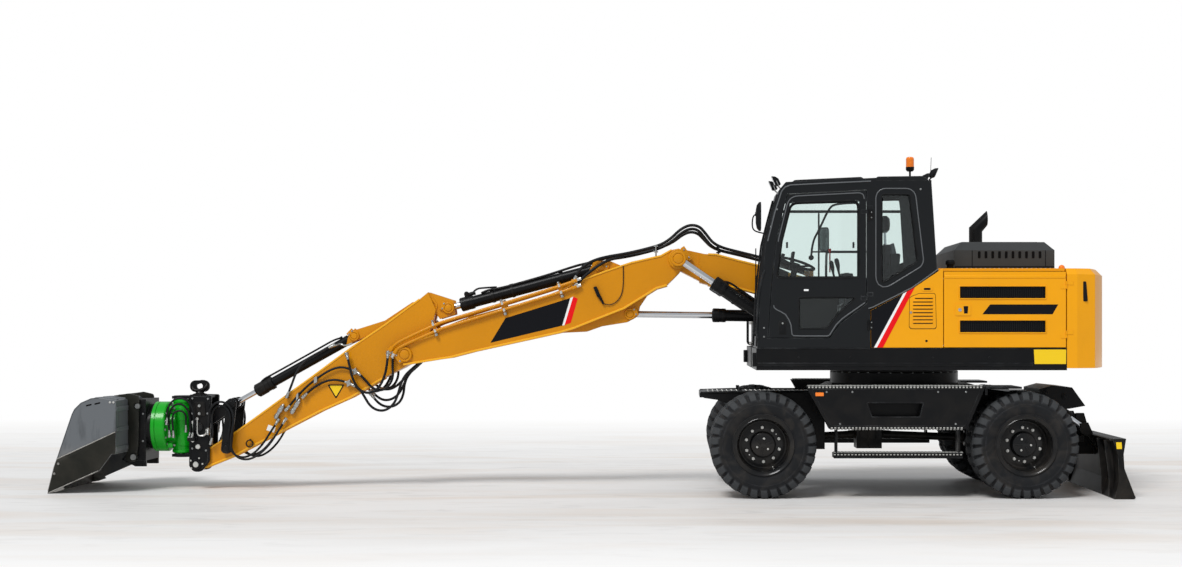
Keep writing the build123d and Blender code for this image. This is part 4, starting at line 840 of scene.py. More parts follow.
def hub_ribs(axle_x, side, start):
    """Three ribs on the hub's cover: bars from near the middle to its edge."""
    shell = Shell()
    for step in range(3):
        angle = start + step * 2 * np.pi / 3
        out = np.array([np.cos(angle), 0, np.sin(angle)])
        across = np.array([-np.sin(angle), 0, np.cos(angle)])
        centre = np.array([axle_x, side * HUB_FACE, TYRE_R])
        rows = []
        for along, half, lift in ((0.03, 0.006, 0.01), (0.055, 0.007, 0.009),
                (0.105, 0.008, 0.004)):
            middle = centre + along * out
            lifted = np.array([0, side * lift, 0])
            sunk = np.array([0, -side * 0.002, 0])
            rows.append([middle - half * 1.4 * across + sunk, middle - half * across + lifted,
                middle + half * across + lifted, middle + half * 1.4 * across + sunk])
        shell.add(*capped_grid(rows))
        # the rib's short arms that fork towards the middle
        shell.add(*bar_shape(centre + 0.03 * out, centre + 0.022 * out + 0.022 * across, 0.005, 8))
    return shell


for name, axle_x, side, start in (("front_left", FRONT_AXLE_X, -1, 0.35),
        ("front_right", FRONT_AXLE_X, 1, 0.1), ("rear_left", REAR_AXLE_X, -1, 1.0),
        ("rear_right", REAR_AXLE_X, 1, 0.7)):
    body = "wheel_" + name
    for place, outer in (("outer", TYRE_OUT), ("inner", TYRE_OUT - TWIN_PITCH)):
        points, faces, raised = tyre_shape(axle_x, outer, side)
        tyre = finish_piece(f"tyre_{place}_{name}", points, faces, tyre_rubber, body, "tyre",
            sharp=28)
        lugs = tyre.data.attributes.new("lug", "FLOAT", "POINT")
        lugs.data.foreach_set("value", (raised / LUG_HEIGHT).astype(np.float32))
        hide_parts("tyres_" + name)
    points, faces = rim_shape(axle_x, side)
    rim = finish_piece("rim_and_hub_" + name, points, faces, rim_paint, body, "rim_paint", sharp=40)
    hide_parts("rim_" + name)
    hub_ribs(axle_x, side, start).finish("hub_ribs_" + name, rim_paint, body, sharp=40)
    nuts, disc = Shell(), (axle_x, side * DISC_FACE, TYRE_R)
    nuts.add(*placed(hexagon_head(0.0185, 0.02, outward=side), ring_spots(disc, 0.167, 10,
        start=start)))
    nuts.add(*placed(turned([(0, 0), (0, 0.0075), (side * 0.038, 0.0075), (side * 0.04, 0.006),
        (side * 0.04, 0)], (0, 0, 0), "Y", 10), ring_spots(disc, 0.167, 10, start=start)))
    nuts.add(*placed(hexagon_head(0.012, 0.012, outward=side),
        ring_spots((axle_x, side * HUB_FACE, TYRE_R), 0.062, 3, start=start + 1.05)))
    nuts.finish("wheel_nuts_" + name, nut_steel, body, sharp=30)
    # the two small locking screws of the disc and the tyre's valve
    small = Shell()
    small.add(*placed(hexagon_head(0.007, 0.006, outward=side), ring_spots(disc, 0.165, 2,
        start=start + 0.31)))
    small.add(*bar_shape((axle_x + 0.1, side * 1.085, TYRE_R - 0.222), (axle_x + 0.094, side * 1.15,
        TYRE_R - 0.214), 0.005, 10))
    small.finish("disc_screws_" + name, nut_steel, body, sharp=30)

# ---------------------------------------------------------------- house and hood
HOUSE_HALF = 1.237
LEFT = -HOUSE_HALF


def sticker(name, outline, material, body, y=None, thick=0.0012, radius=0.0):
    """A thin film of an (x, z) outline on a side face."""
    y = LEFT if y is None else y
    side = math.copysign(1, y)
    shape = rounded(outline, radius) if radius else outline
    points, faces = prism(shape, y - side * 0.0008, y + side * thick)
    return finish_piece(name, points, faces, material, body)


def screws(name, spots, y, body, radius=0.008, height=0.006, material=None, axis="Y"):
    """Hexagonal heads at (x, z) spots of a side face at y."""
    side = math.copysign(1, y)
    places = [(x, y, z) for x, z in spots]
    finish_piece(name, *placed(hexagon_head(radius, height, axis, side), places),
        material or bolt_steel, body, sharp=30)


# white and red stripes over the left corner panel, black ahead of them
sticker("corner_black", [(2.8005, 1.471), (2.8005, 1.829), (3.111, 1.992), (2.829, 1.471)],
    print_and_shade_black, "house")
sticker("corner_white_stripe", [(2.83, 1.471), (3.112, 1.993), (3.148, 2.012), (2.858, 1.471)],
    decal_white, "house")
sticker("corner_red_stripe", [(2.858, 1.471), (3.148, 2.012), (3.199, 2.038), (3.228, 2.058),
    (2.917, 1.471)], decal_red, "house")

# small louvred door of the corner panel with its frame line, slots and lock; the slots are black
# films, painted shade between the slats
LOUVRE = [(3.176, 1.95), (3.205, 1.968), (3.268, 1.992), (3.414, 1.992), (3.424, 1.975),
    (3.432, 1.672), (3.418, 1.655), (3.19, 1.655), (3.172, 1.675)]
finish_piece("louvre_door", *prism(rounded(LOUVRE, 0.012), LEFT - 0.004, LEFT + 0.002),
    yellow_paint, "house", soften=0.002)
outline = np.array(rounded(LOUVRE, 0.014))
middle = outline.mean(axis=0)
gap_line = middle + (outline - middle) * 1.03
sticker("louvre_door_gap", gap_line, print_and_shade_black, "house", thick=0.0016)
slats, slots = Shell(), Shell()
for row in range(8):
    z = 1.7 + 0.0345 * row
    x_low = 3.208 + (0.02 if row > 6 else 0.0)
    slots.add(*prism([(x_low, z), (3.398, z), (3.398, z + 0.009), (x_low, z + 0.009)],
        LEFT - 0.0055, LEFT - 0.001))
    slats.add(*prism([(x_low - 0.004, z + 0.009), (3.402, z + 0.009), (3.402, z + 0.0225),
        (x_low - 0.004, z + 0.0225)], LEFT - 0.0095, LEFT - 0.001))
slots.finish("louvre_slots", print_and_shade_black, "house")
slats.finish("louvre_slats", yellow_paint, "house", soften=0.003)

# recessed grip above it, a drain hole and the lock; the grip's hollow and the hole are black films,
# painted shade
sticker("grip_recess_rim", [(3.29, 2.017), (3.29, 2.06), (3.4, 2.06), (3.4, 2.017)], yellow_paint,
    "house", thick=0.004, radius=0.02)
sticker("grip_recess", [(3.312, 2.028), (3.312, 2.048), (3.378, 2.048), (3.378, 2.028)],
    print_and_shade_black, "house", thick=0.0046, radius=0.009)
sticker("drain_hole", circle(0.012, 20) + (3.338, 1.534), print_and_shade_black, "house")
finish_piece("louvre_lock", *turned([(0, 0), (0, 0.012), (-0.004, 0.012), (-0.007, 0.009),
    (-0.007, 0)], (3.187, LEFT - 0.003, 1.81), "Y", 20), zinc, "house")


def grille(name, x0, x1, z0, z1, side, body):
    """A dark mesh panel in a door's recess: a back plate, many thin slats and a bead of
    yellow round the opening."""
    y = side * (HOUSE_HALF - 0.025)
    # black back plate: painted shade behind the mesh
    finish_piece(name + "_back", *box_shape((x0, y, z0), (x1, y + side * 0.004, z1)), print_and_shade_black,
        body)
    slats = Shell()
    bars = np.linspace(x0 + 0.012, x1 - 0.012, 46)
    slat = box_shape((-0.0035, 0, z0), (0.0035, side * 0.008, z1))
    slats.add(*placed(slat, [(x, y + side * 0.004, 0) for x in bars]))
    for z in np.linspace(z0 + 0.02, z1 - 0.02, 4):
        slats.add(*box_shape((x0, y + side * 0.004, z - 0.002), (x1, y + side * 0.009, z + 0.002)))
    slats.finish(name + "_slats", dark_plastic, body)
    line = rounded([(x0, z0), (x1, z0), (x1, z1), (x0, z1)], 0.012)
    side_bead(name + "_bead", line, side * (HOUSE_HALF + 0.001), 0.007, yellow_paint, body)


for corner, side in SIDES:
    door = corner + "_engine_door"
    grille(f"grille_high_{corner}", 3.657, 4.498, 1.942, 2.068, side, door)
    grille(f"grille_low_{corner}", 3.657, 4.498, 1.612, 1.738, side, door)
    y = side * HOUSE_HALF
    # blank model band, latch plate and its lock
    sticker(f"band_{corner}", [(3.88, 1.793), (3.955, 1.888), (4.615, 1.888), (4.56, 1.793)],
        print_and_shade_black, door, y)
    sticker(f"latch_frame_{corner}", [(3.615, 1.78), (3.615, 1.893), (3.768, 1.893), (3.768, 1.78)],
        yellow_paint, door, y, 0.006, 0.012)
    # black film in the latch's recess: painted shade
    sticker(f"latch_recess_{corner}", [(3.702, 1.8), (3.697, 1.872), (3.742, 1.872), (3.737, 1.8)],
        print_and_shade_black, door, y, 0.0066, 0.004)
    finish_piece(f"latch_{corner}", *turned([(0, 0), (0, 0.017), (side * 0.006, 0.017),
        (side * 0.01, 0.012), (side * 0.01, 0)], (3.662, y + side * 0.003, 1.836), "Y", 24),
        rod_chrome, door)
    # blank warning plate on the deck's rear end
    sticker(f"tail_plate_{corner}", [(4.386, 1.311), (4.378, 1.455), (4.692, 1.455), (4.69, 1.311)],
        decal_yellow, "house", y, 0.0016)
    sticker(f"tail_plate_edge_{corner}", [(4.38, 1.3055), (4.372, 1.46), (4.697, 1.46),
        (4.696, 1.3055)], print_and_shade_black, "house", y, 0.001)
# press line along the top of the doors: a shallow slanted strip
for corner, side in SIDES:
    y = side * HOUSE_HALF
    strip = np.array([(-0.002, 0.004), (-0.002, -0.03), (0.0055, -0.026), (0.0055, -0.002)])
    path = [(3.512, y, 2.17), (4.1, y, 2.17), (4.686, y, 2.17)]
    finish_piece(f"door_top_press_{corner}", *carried(strip * (side, 1), path), yellow_paint,
        corner + "_engine_door", soften=0.002)

# hood: side panel seams, ten slots a side, three ridges and small slots on top; the slots are
# black, painted shade of their openings
for corner, y, side in (("left", -0.76, -1), ("right", 0.52, 1)):
    slots, rims = Shell(), Shell()
    for x in np.linspace(3.93, 4.535, 10):
        slot = rounded([(x - 0.015, 2.352), (x + 0.015, 2.352), (x + 0.015, 2.426),
            (x - 0.015, 2.426)], 0.012, 4)
        slots.add(*prism(slot, y - side * 0.001, y + side * 0.0012))
        rims.add(*closed_bead(side_ring(slot, y), 0.0022, SIDEWAYS, 6))
    slots.finish(f"hood_slots_{corner}", shade_and_lens_black, "hood")
    rims.finish(f"hood_slot_rims_{corner}", hood_plastic, "hood")
    seams = Shell()
    for x in (3.86, 4.59):
        seams.add(*carried(circle(0.004, 8), [(x, y, 2.262), (x, y, 2.35), (x, y, 2.434)]))
    seams.add(*carried(circle(0.006, 8), [(3.69, y, 2.27), (4.2, y, 2.27), (4.67, y, 2.27)]))
    seams.finish(f"hood_seams_{corner}", dark_plastic, "hood")
ridges = Shell()
for y in (-0.45, -0.12, 0.21):
    ridges.add(*carried([(-0.06, -0.002), (0.06, -0.002), (0.05, 0.01), (-0.05, 0.01)],
        [(3.8, y, 2.52), (4.2, y, 2.52), (4.56, y, 2.52)]))
ridges.finish("hood_ridges", hood_plastic, "hood", soften=0.004)
mesh_top = Shell()
for x in np.linspace(3.95, 4.45, 11):
    mesh_top.add(*box_shape((x - 0.008, -0.36, 2.519), (x + 0.008, -0.21, 2.5215)))
mesh_top.finish("hood_top_slots", shade_and_lens_black, "hood")

# grey intake cap and its black clamp ahead of the hood, on the cab's rear side
finish_piece("intake_cap", *turned([(2.236, 0.0), (2.236, 0.034), (2.282, 0.034), (2.288, 0.046),
    (2.318, 0.045), (2.332, 0.034), (2.336, 0.0)], (3.622, -0.88, 0), "Z", 36), dark_plastic,
    "house", soften=0.002)
finish_piece("intake_foot", *turned([(2.236, 0.0), (2.236, 0.06), (2.25, 0.06), (2.256, 0.05),
    (2.256, 0.0)], (3.622, -0.88, 0), "Z", 36), dark_plastic, "house")

# exhaust: a straight pipe that meets a slanted one, cut upright at its end
pipe = Shell()
ring = circle(0.071, 40)
rows = []
for z, scale in ((2.238, 1.06), (2.262, 1.06), (2.264, 1.0), (2.7, 1.0)):
    rows.append(np.stack([4.138 + scale * ring[:, 0], 0.7 + scale * ring[:, 1],
        np.full(len(ring), z)], axis=1))
knee_row = np.stack([4.138 + ring[:, 0], 0.7 + ring[:, 1], 2.722 - 0.32 * ring[:, 0]], axis=1)
mouth = np.stack([4.2585 + 0.05 * ring[:, 0], 0.7 + ring[:, 1], 2.8445 - 1.12 * ring[:, 0]], axis=1)
inside = np.stack([4.2555 + 0.05 * ring[:, 0], 0.7 + 0.93 * ring[:, 1], 2.842 - 1.04 * ring[:, 0]],
    axis=1)
deep = np.stack([4.17 + 0.5 * ring[:, 0], 0.7 + 0.9 * ring[:, 1], 2.755 - 0.6 * ring[:, 0]], axis=1)
pipe.add(*capped_grid(rows + [knee_row, mouth, inside, deep]))
exhaust = pipe.finish("exhaust_pipe", cast_black, "house", sharp=50)
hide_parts("exhaust_stack")

# tail: lamps in their frames and an amber marker at each corner
for corner, side in SIDES:
    finish_piece(f"tail_lamp_{corner}",
        *prism(rounded([(4.884, 1.93), (4.872, 2.098), (4.896, 2.098), (4.91, 1.93)], 0.008),
        side * 1.158, side * 1.204), lamp_red, "house", soften=0.004)
    finish_piece(f"tail_lamp_frame_{corner}",
        *prism(rounded([(4.862, 1.918), (4.85, 2.112), (4.893, 2.112), (4.908, 1.918)], 0.01),
        side * 1.146, side * 1.212), dark_plastic, "house", soften=0.004)
    finish_piece(f"corner_marker_{corner}",
        *turned([(0, 0), (0, 0.03), (0.012, 0.032), (0.03, 0.026), (0.041, 0.012), (0.043, 0)],
        (4.704, side * 0.98, 2.2385), "Z", 28), amber, "house")


# ---------------------------------------------------------------- cab
CAB_RIGHT = -0.335
DOOR_WINDOW = [(1.88, 2.14), (1.925, 2.5), (2.02, 2.88), (2.69, 2.9), (2.69, 2.14)]
DOOR_LOW_WINDOW = [(2.1, 1.65), (2.1, 1.96), (2.67, 1.96), (2.48, 1.79), (2.38, 1.65)]
QUARTER_WINDOW = [(2.9, 2.96), (3.18, 2.96), (3.26, 2.3), (2.9, 2.08)]
RIGHT_WINDOW = [(1.87, 2.08), (1.99, 2.95), (3.2, 2.98), (3.28, 2.33), (2.7, 2.08)]


def window_seal(name, outline, radius, y_face, y_glass, body, width=0.022):
    """A rubber frame inside an opening: a section of four corners carried round the
    outline, from the wall's face in to the glass."""
    shape = rounded(outline, radius, 7)
    out = 1 if y_face > y_glass else -1
    rings = [side_ring(shrunk(shape, -0.004), y_face + out * 0.003), side_ring(shrunk(shape, 0.005),
        y_face + out * 0.005), side_ring(shrunk(shape, width), y_glass + out * 0.0008),
        side_ring(shrunk(shape, width), y_glass - out * 0.007), side_ring(shrunk(shape, -0.004),
        y_face - out * 0.01)]
    finish_piece(name, np.concatenate(rings), grid_faces(len(rings), len(shape), True, True),
        seal_rubber, body, sharp=30)


window_seal("door_window_seal", DOOR_WINDOW, (0.05, 0.3, 0.1, 0.08, 0.03), LEFT, LEFT + 0.02,
    "door")
window_seal("door_low_window_seal", DOOR_LOW_WINDOW, 0.02, LEFT, LEFT + 0.02, "door", 0.014)
window_seal("quarter_window_seal", QUARTER_WINDOW, 0.03, LEFT, LEFT + 0.02, "house", 0.016)
window_seal("right_window_seal", RIGHT_WINDOW, 0.04, CAB_RIGHT, CAB_RIGHT - 0.02, "house")

# bright pressed edge of the door's lower rim, which goes on along the corner panel's top, in a
# lighter grey: painted highlight
press = [(1.858, 1.88), (1.862, 1.858), (1.885, 1.838), (1.932, 1.815), (1.972, 1.79),
    (2.005, 1.74), (2.025, 1.69), (2.035, 1.6), (2.05, 1.585), (2.12, 1.582), (2.378, 1.582),
    (2.4, 1.592), (2.462, 1.69), (2.52, 1.748), (2.56, 1.778), (2.742, 1.905)]
path = side_ring(press, LEFT - 0.001)
tube("door_press_line", path, 0.0065, highlight_grey_paint, "door")
path = side_ring([(2.775, 1.848), (2.82, 1.862), (3.08, 1.99), (3.2, 2.052), (3.33, 2.142),
    (3.42, 2.208), (3.452, 2.232)], LEFT - 0.001)
tube("corner_press_line", path, 0.0065, highlight_grey_paint, "house")

# door edge frame: a raised flange round the upper half of the door, in the painted-highlight grey
frame_line = rounded([(1.842, 2.0), (1.905, 2.52), (2.008, 2.935), (2.735, 2.972), (2.735, 1.98)],
    (0.02, 0.4, 0.12, 0.06, 0.02), 8)
path = side_ring(frame_line[8:-8], LEFT - 0.0005)
tube("door_flange", path, 0.006, highlight_grey_paint, "door")
# raised panel round the quarter window and the roof's step, both in the painted-highlight grey
line = shrunk(rounded(QUARTER_WINDOW, 0.05, 6), -0.052)
side_bead("quarter_panel_flange", line, LEFT - 0.0005, 0.006, highlight_grey_paint, "house")
roof_line = np.array([(1.8, 2.5), (1.872, 2.79), (1.935, 2.985), (1.968, 3.025), (2.02, 3.045),
    (2.42, 3.066), (2.8, 3.083)])
tube("roof_gutter", side_ring(roof_line, LEFT - 0.0005), 0.007, highlight_grey_paint, "house")
# the roof's rear half stands a little higher: a low rounded cap over the full width
cap = rounded([(2.848, 3.112), (2.866, 3.128), (3.3, 3.1335), (3.352, 3.1), (3.34, 3.085),
    (2.848, 3.085)], 0.012, 5)
finish_piece("roof_cap", *prism(cap, LEFT - 0.001, CAB_RIGHT + 0.001), cab_paint, "house",
    soften=0.006)
hatch = rounded([(2.05, -1.08), (2.75, -1.08), (2.75, -0.49), (2.05, -0.49)], 0.06, 6)
rows = [np.stack([hatch[:, 0], hatch[:, 1], 3.079 + 0.0467 * (hatch[:, 0] - 1.975) + h], axis=1)
    for h in (-0.01, 0.012)]
top_ring = shrunk(hatch, 0.02)
rows.append(np.stack([top_ring[:, 0], top_ring[:, 1], 3.079 + 0.0467 * (top_ring[:, 0] - 1.975)
    + 0.026], axis=1))
finish_piece("roof_hatch", *capped_grid(rows), dark_plastic, "house", sharp=40)

# the door's hinge covers and bolts, a blank tag, the latch box with lever and key
hinge_boxes = Shell()
for z in (2.813, 1.747):
    body_z = z - 0.06
    hinge_boxes.add(*bar_shape((2.777, LEFT - 0.001, body_z - 0.05),
        (2.777, LEFT - 0.001, body_z + 0.05), 0.011, 16))
    hinge_boxes.add(*box_shape((2.777, LEFT - 0.006, body_z - 0.045),
        (2.822, LEFT + 0.001, body_z + 0.045)))
hinge_boxes.finish("door_hinge_covers", cast_black, "house", soften=0.001)
screws("door_hinge_bolts", [(2.805, 2.78), (2.805, 2.73), (2.805, 1.714), (2.805, 1.664)],
    LEFT - 0.006, "house", 0.007, 0.005)
sticker("door_tag", [(2.15, 2.018), (2.15, 2.036), (2.196, 2.036), (2.196, 2.018)], decal_white,
    "door", radius=0.003)
latch_box = rounded([(1.905, 1.597), (1.905, 1.728), (1.982, 1.728), (1.982, 1.597)], 0.012)
finish_piece("latch_rim", *prism(latch_box, LEFT - 0.003, LEFT + 0.002), seal_rubber, "door",
    soften=0.0015)
lever = [(1.917, 1.609), (1.917, 1.69), (1.97, 1.69), (1.97, 1.609)]
finish_piece("latch_lever", *prism(rounded(lever, 0.008), LEFT - 0.0055, LEFT), dark_plastic,
    "door", soften=0.002)
finish_piece("latch_key", *turned([(0, 0), (0, 0.01), (-0.005, 0.009), (-0.005, 0)],
    (1.944, LEFT - 0.005, 1.705), "Y", 16), zinc, "door")

# sill: bright top edge of the deck, a step line below and the front corner box
for corner, side in SIDES:
    y = side * HOUSE_HALF
    tube(f"deck_top_edge_{corner}", [(1.692, y, 1.458), (3.2, y, 1.458), (4.698, y, 1.458)], 0.006,
        black_paint, "house")
    strip = np.array([(0.001, 0.02), (-0.006, 0.014), (-0.006, -0.014), (0.001, -0.02)])
    finish_piece(f"deck_rail_{corner}", *carried(strip * (-side, 1),
        [(1.7, y, 1.305), (3.1, y, 1.305), (4.37, y, 1.305)]), black_paint, "house", soften=0.003)
    finish_piece(f"deck_bumper_{corner}", *box_shape((1.652, side * 1.06, 1.285),
        (1.694, side * 1.225, 1.419)), black_paint, "house", soften=0.008)
    screws(f"deck_bolts_{corner}", [(2.1, 1.375), (2.6, 1.375), (3.4, 1.375), (3.95, 1.375)], y,
        "house", 0.01, 0.007, black_paint)

# bolts on the front pillar's side and on the roof's
screws("pillar_bolts", [(1.764, 1.66), (1.764, 1.575), (1.89, 2.81), (1.832, 2.64)], LEFT, "house",
    0.01, 0.006)
screws("roof_side_bolt", [(3.281, 3.005)], LEFT, "house", 0.011, 0.006)

# front rails beside the windscreen: three tubes that follow its lean
for number, (y, lift) in enumerate(((-1.195, 0.012), (-1.225, 0.004), (-0.385, 0.012))):
    rail = np.array([(1.7, 1.48), (1.724, 2.0), (1.757, 2.3), (1.782, 2.5), (1.842, 2.74),
        (1.9, 2.955)])
    path = np.stack([rail[:, 0] - lift + 0.004, np.full(6, y), rail[:, 1]], axis=1)
    tube(f"pillar_rail_{number}", path, 0.009, seal_rubber, "house")

# wiper on the windscreen: spindle, arm and blade
wiper = Shell()
wiper.add(*turned([(0, 0), (0, 0.024), (-0.03, 0.018), (-0.034, 0)], (1.716, -0.79, 1.6), "X", 20))
wiper.add(*bar_shape((1.694, -0.79, 1.6), (1.712, -0.6, 2.18), 0.008, 10))
wiper.add(*box_shape((1.706, -0.63, 1.9), (1.716, -0.6, 2.46)))
wiper.finish("windscreen_wiper", dark_plastic, "house")

# step grip rail ahead of the door
grab = nurbs_line("front_grip", [(1.715, -1.255, 1.56), (1.69, -1.262, 1.575), (1.7, -1.262, 1.8),
    (1.722, -1.262, 2.05), (1.76, -1.262, 2.21), (1.775, -1.245, 2.215)])
grab[:, 1] = np.maximum(grab[:, 1], -1.2495 + 0.012)
tube("front_grip", grab, 0.011, cab_paint, "house", 12)

# ---- inside the cab ----
# bar across the far window, bent bar with its clamp, thin upright and level bars
finish_piece("far_window_rail", *box_shape((1.98, -0.412, 2.829), (3.29, -0.39, 2.857)),
    dark_plastic, "house", soften=0.004)
bent = nurbs_line("bent_bar", [(2.758, -0.4, 2.932), (2.524, -0.4, 2.93), (2.455, -0.4, 2.86),
    (2.369, -0.4, 2.668), (2.291, -0.4, 2.528), (2.283, -0.4, 2.372)])
tube("bent_bar", bent, 0.011, dark_plastic, "house", 12)
bars = Shell()
bars.add(*bar_shape((2.283, -0.4, 2.434), (2.96, -0.4, 2.434), 0.008, 12))
bars.add(*bar_shape((2.361, -0.392, 2.83), (2.361, -0.392, 2.12), 0.007, 12))
bars.add(*bar_shape((2.283, -0.425, 2.375), (2.283, -0.38, 2.375), 0.026, 20))
bars.finish("far_window_bars", dark_plastic, "house")
Shell().add(*bar_shape((2.47, -0.44, 2.434), (2.47, -0.44, 2.225), 0.007, 12)).add(
    *bar_shape((2.47, -0.44, 2.434), (2.47, -0.44, 2.465), 0.013, 12)).finish("red_lever",
    decal_red, "house")
knobs = Shell()
for x in (1.99, 2.636):
    knobs.add(*bar_shape((x, -1.222, 2.465), (x, -1.185, 2.465), 0.008, 12))
    knobs.add(*bar_shape((x, -1.182, 2.437), (x, -1.182, 2.495), 0.01, 12))
knobs.finish("window_knobs", dark_plastic, "door")

# steering wheel: rim, three spokes and hub on an axis that leans back, and its column
WHEEL_AT = np.array([2.105, -0.79, 2.3])
lean = unit([0.3, 0.1, 0.95])
side_axis = unit(np.cross(lean, (0, 1, 0)))
across_axis = np.cross(lean, side_axis)
turn = np.linspace(0, 2 * np.pi, 48, endpoint=False)
rim_line = (WHEEL_AT + 0.185 * (np.cos(turn)[:, None] * side_axis + np.sin(turn)[:, None]
    * across_axis))
steering = Shell()
steering.add(*closed_bead(rim_line, 0.0135, lean, 12))
steering.add(*bar_shape(WHEEL_AT - 0.05 * lean, WHEEL_AT + 0.002 * lean, 0.048, 24,
    ((0, 0.6), (0.5, 1), (0.9, 1), (1, 0.8))))
for angle in (0.3, 2.4, 4.5):
    out = np.cos(angle) * side_axis + np.sin(angle) * across_axis
    steering.add(*bar_shape(WHEEL_AT - 0.03 * lean, WHEEL_AT + 0.183 * out, 0.01, 10))
steering.add(*bar_shape(WHEEL_AT + 0.15 * side_axis + 0.01 * lean, WHEEL_AT + 0.15 * side_axis
    + 0.055 * lean, 0.018, 16))
steering.finish("steering_wheel", dark_plastic, "house")
column = Shell()
column.add(*bar_shape((2.129, -0.79, 1.512), (2.062, -0.79, 2.12), 0.052, 20,
    ((0, 1.5), (0.06, 1.5), (0.08, 1), (1, 0.9))))
column.add(*bar_shape((2.062, -0.79, 2.115), WHEEL_AT - 0.045 * lean, 0.03, 16))
column.add(*bar_shape((2.085, -0.8, 2.215), (2.15, -0.62, 2.235), 0.007, 10))
column.finish("steering_column", dark_plastic, "house")

# instrument hood ahead of the driver and the panel on it
trim = rounded([(1.765, 1.515), (1.775, 2.02), (1.8, 2.18), (1.905, 2.25), (2.02, 2.205),
    (2.0, 2.12), (1.9, 2.05), (1.885, 1.515)], 0.03, 5)
finish_piece("instrument_hood", *prism(trim, -0.985, -0.6), dark_plastic, "house", soften=0.01)
finish_piece("instrument_panel",
    *prism(rounded([(1.905, 2.252), (2.03, 2.202), (2.034, 2.208), (1.91, 2.262)], 0.002, 3), -0.9,
    -0.68), grey_plastic, "house")
# pedals and floor mat
pedals = Shell()
for y in (-0.93, -0.8, -0.66):
    pedals.add(*prism([(1.93, 1.62), (2.01, 1.59), (2.016, 1.602), (1.936, 1.634)], y - 0.04,
        y + 0.04))
    pedals.add(*bar_shape((1.975, y, 1.605), (1.975, y, 1.512), 0.008, 8))
pedals.finish("pedals", dark_plastic, "house")
finish_piece("floor_mat", *box_shape((1.895, -1.13, 1.509), (2.56, -0.45, 1.516)), seal_rubber,
    "house", soften=0.002)

# consoles with armrests and joysticks either side of the seat
for name, y_low, y_high in (("left", -1.138, -1.04), ("right", -0.54, -0.43)):
    y = (y_low + y_high) / 2
    arm = rounded([(2.47, 2.01), (2.47, 2.085), (2.62, 2.14), (2.98, 2.15), (3.02, 2.12),
        (3.02, 2.085), (2.64, 2.06), (2.56, 2.005)], 0.02, 5)
    finish_piece(f"armrest_{name}", *prism(arm, y_low - 0.002, y_high + 0.002), dark_plastic,
        "house", soften=0.012)
    stick = Shell()
    lever = np.array([(2.52, y, 2.08), (2.512, y, 2.16), (2.5, y, 2.215), (2.492, y, 2.27),
        (2.48, y, 2.318), (2.474, y, 2.34)])
    stick.add(*carried(circle(1.0, 16), lever, sizes=np.array([0.022, 0.01, 0.012, 0.021, 0.024,
        0.014])))
    stick.finish(f"joystick_{name}", dark_plastic, "house")
    bellows = turned([(0, 0.0), (0, 0.05), (0.012, 0.044), (0.02, 0.047), (0.032, 0.036),
        (0.04, 0.038), (0.052, 0.024), (0.06, 0.0)], (2.52, y, 2.07), "Z", 24)
    finish_piece(f"joystick_boot_{name}", *bellows, seal_rubber, "house")
# monitor on the right front pillar
finish_piece("monitor", *prism(rounded([(2.05, 2.25), (2.08, 2.43), (2.105, 2.425), (2.076, 2.246)],
    0.006, 4), -0.64, -0.44), dark_plastic, "house", soften=0.006)
finish_piece("monitor_stalk", *bar_shape((2.09, -0.44, 2.33), (2.1, -0.384, 2.33), 0.014, 12),
    dark_plastic, "house")

# headrest on two stems, the seat's shell, the belt reel and the seat's bellows
rest = turned([(-0.085, 0.0), (-0.082, 0.03), (-0.055, 0.062), (0.0, 0.07), (0.055, 0.062),
    (0.082, 0.03), (0.085, 0.0)], (0, 0, 0), "Z", 32)
points = rest[0] * np.array([0.75, 1.9, 1.0]) + np.array([2.985, -0.79, 2.69])
finish_piece("headrest", points, rest[1], cloth, "house", sharp=70)
stems = Shell()
for y in (-0.84, -0.74):
    stems.add(*bar_shape((2.99, y, 2.48), (2.985, y, 2.64), 0.007, 10))
stems.finish("headrest_stems", rod_chrome, "house")
shell_back = rounded([(3.03, 1.9), (3.022, 2.48), (3.05, 2.5), (3.075, 2.4), (3.085, 1.98),
    (3.06, 1.88)], 0.02, 5)
finish_piece("seat_shell", *prism(shell_back, -1.005, -0.575), grey_plastic, "house", soften=0.012)
finish_piece("belt_reel", *prism(rounded([(3.01, 2.17), (3.01, 2.39), (3.11, 2.39), (3.09, 2.17)],
    0.02, 5), -1.06, -1.0), dark_plastic, "house", soften=0.008)
suspension = Shell()
for z in np.arange(1.53, 1.79, 0.026):
    suspension.add(*box_shape((2.58, -0.985, z), (2.93, -0.595, z + 0.013)))
suspension.finish("seat_bellows", seal_rubber, "house", soften=0.005)
# dark trim band behind the quarter window and the sun blind's roller
band = rounded([(3.13, 2.17), (3.08, 2.99), (3.25, 2.99), (3.36, 2.26)], 0.02, 4)
finish_piece("rear_pillar_trim", *prism(band, -1.185, -1.155), dark_plastic, "house", soften=0.008)
finish_piece("blind_roller", *bar_shape((1.985, -1.06, 2.985), (1.985, -0.51, 2.985), 0.028, 20),
    grey_plastic, "house")


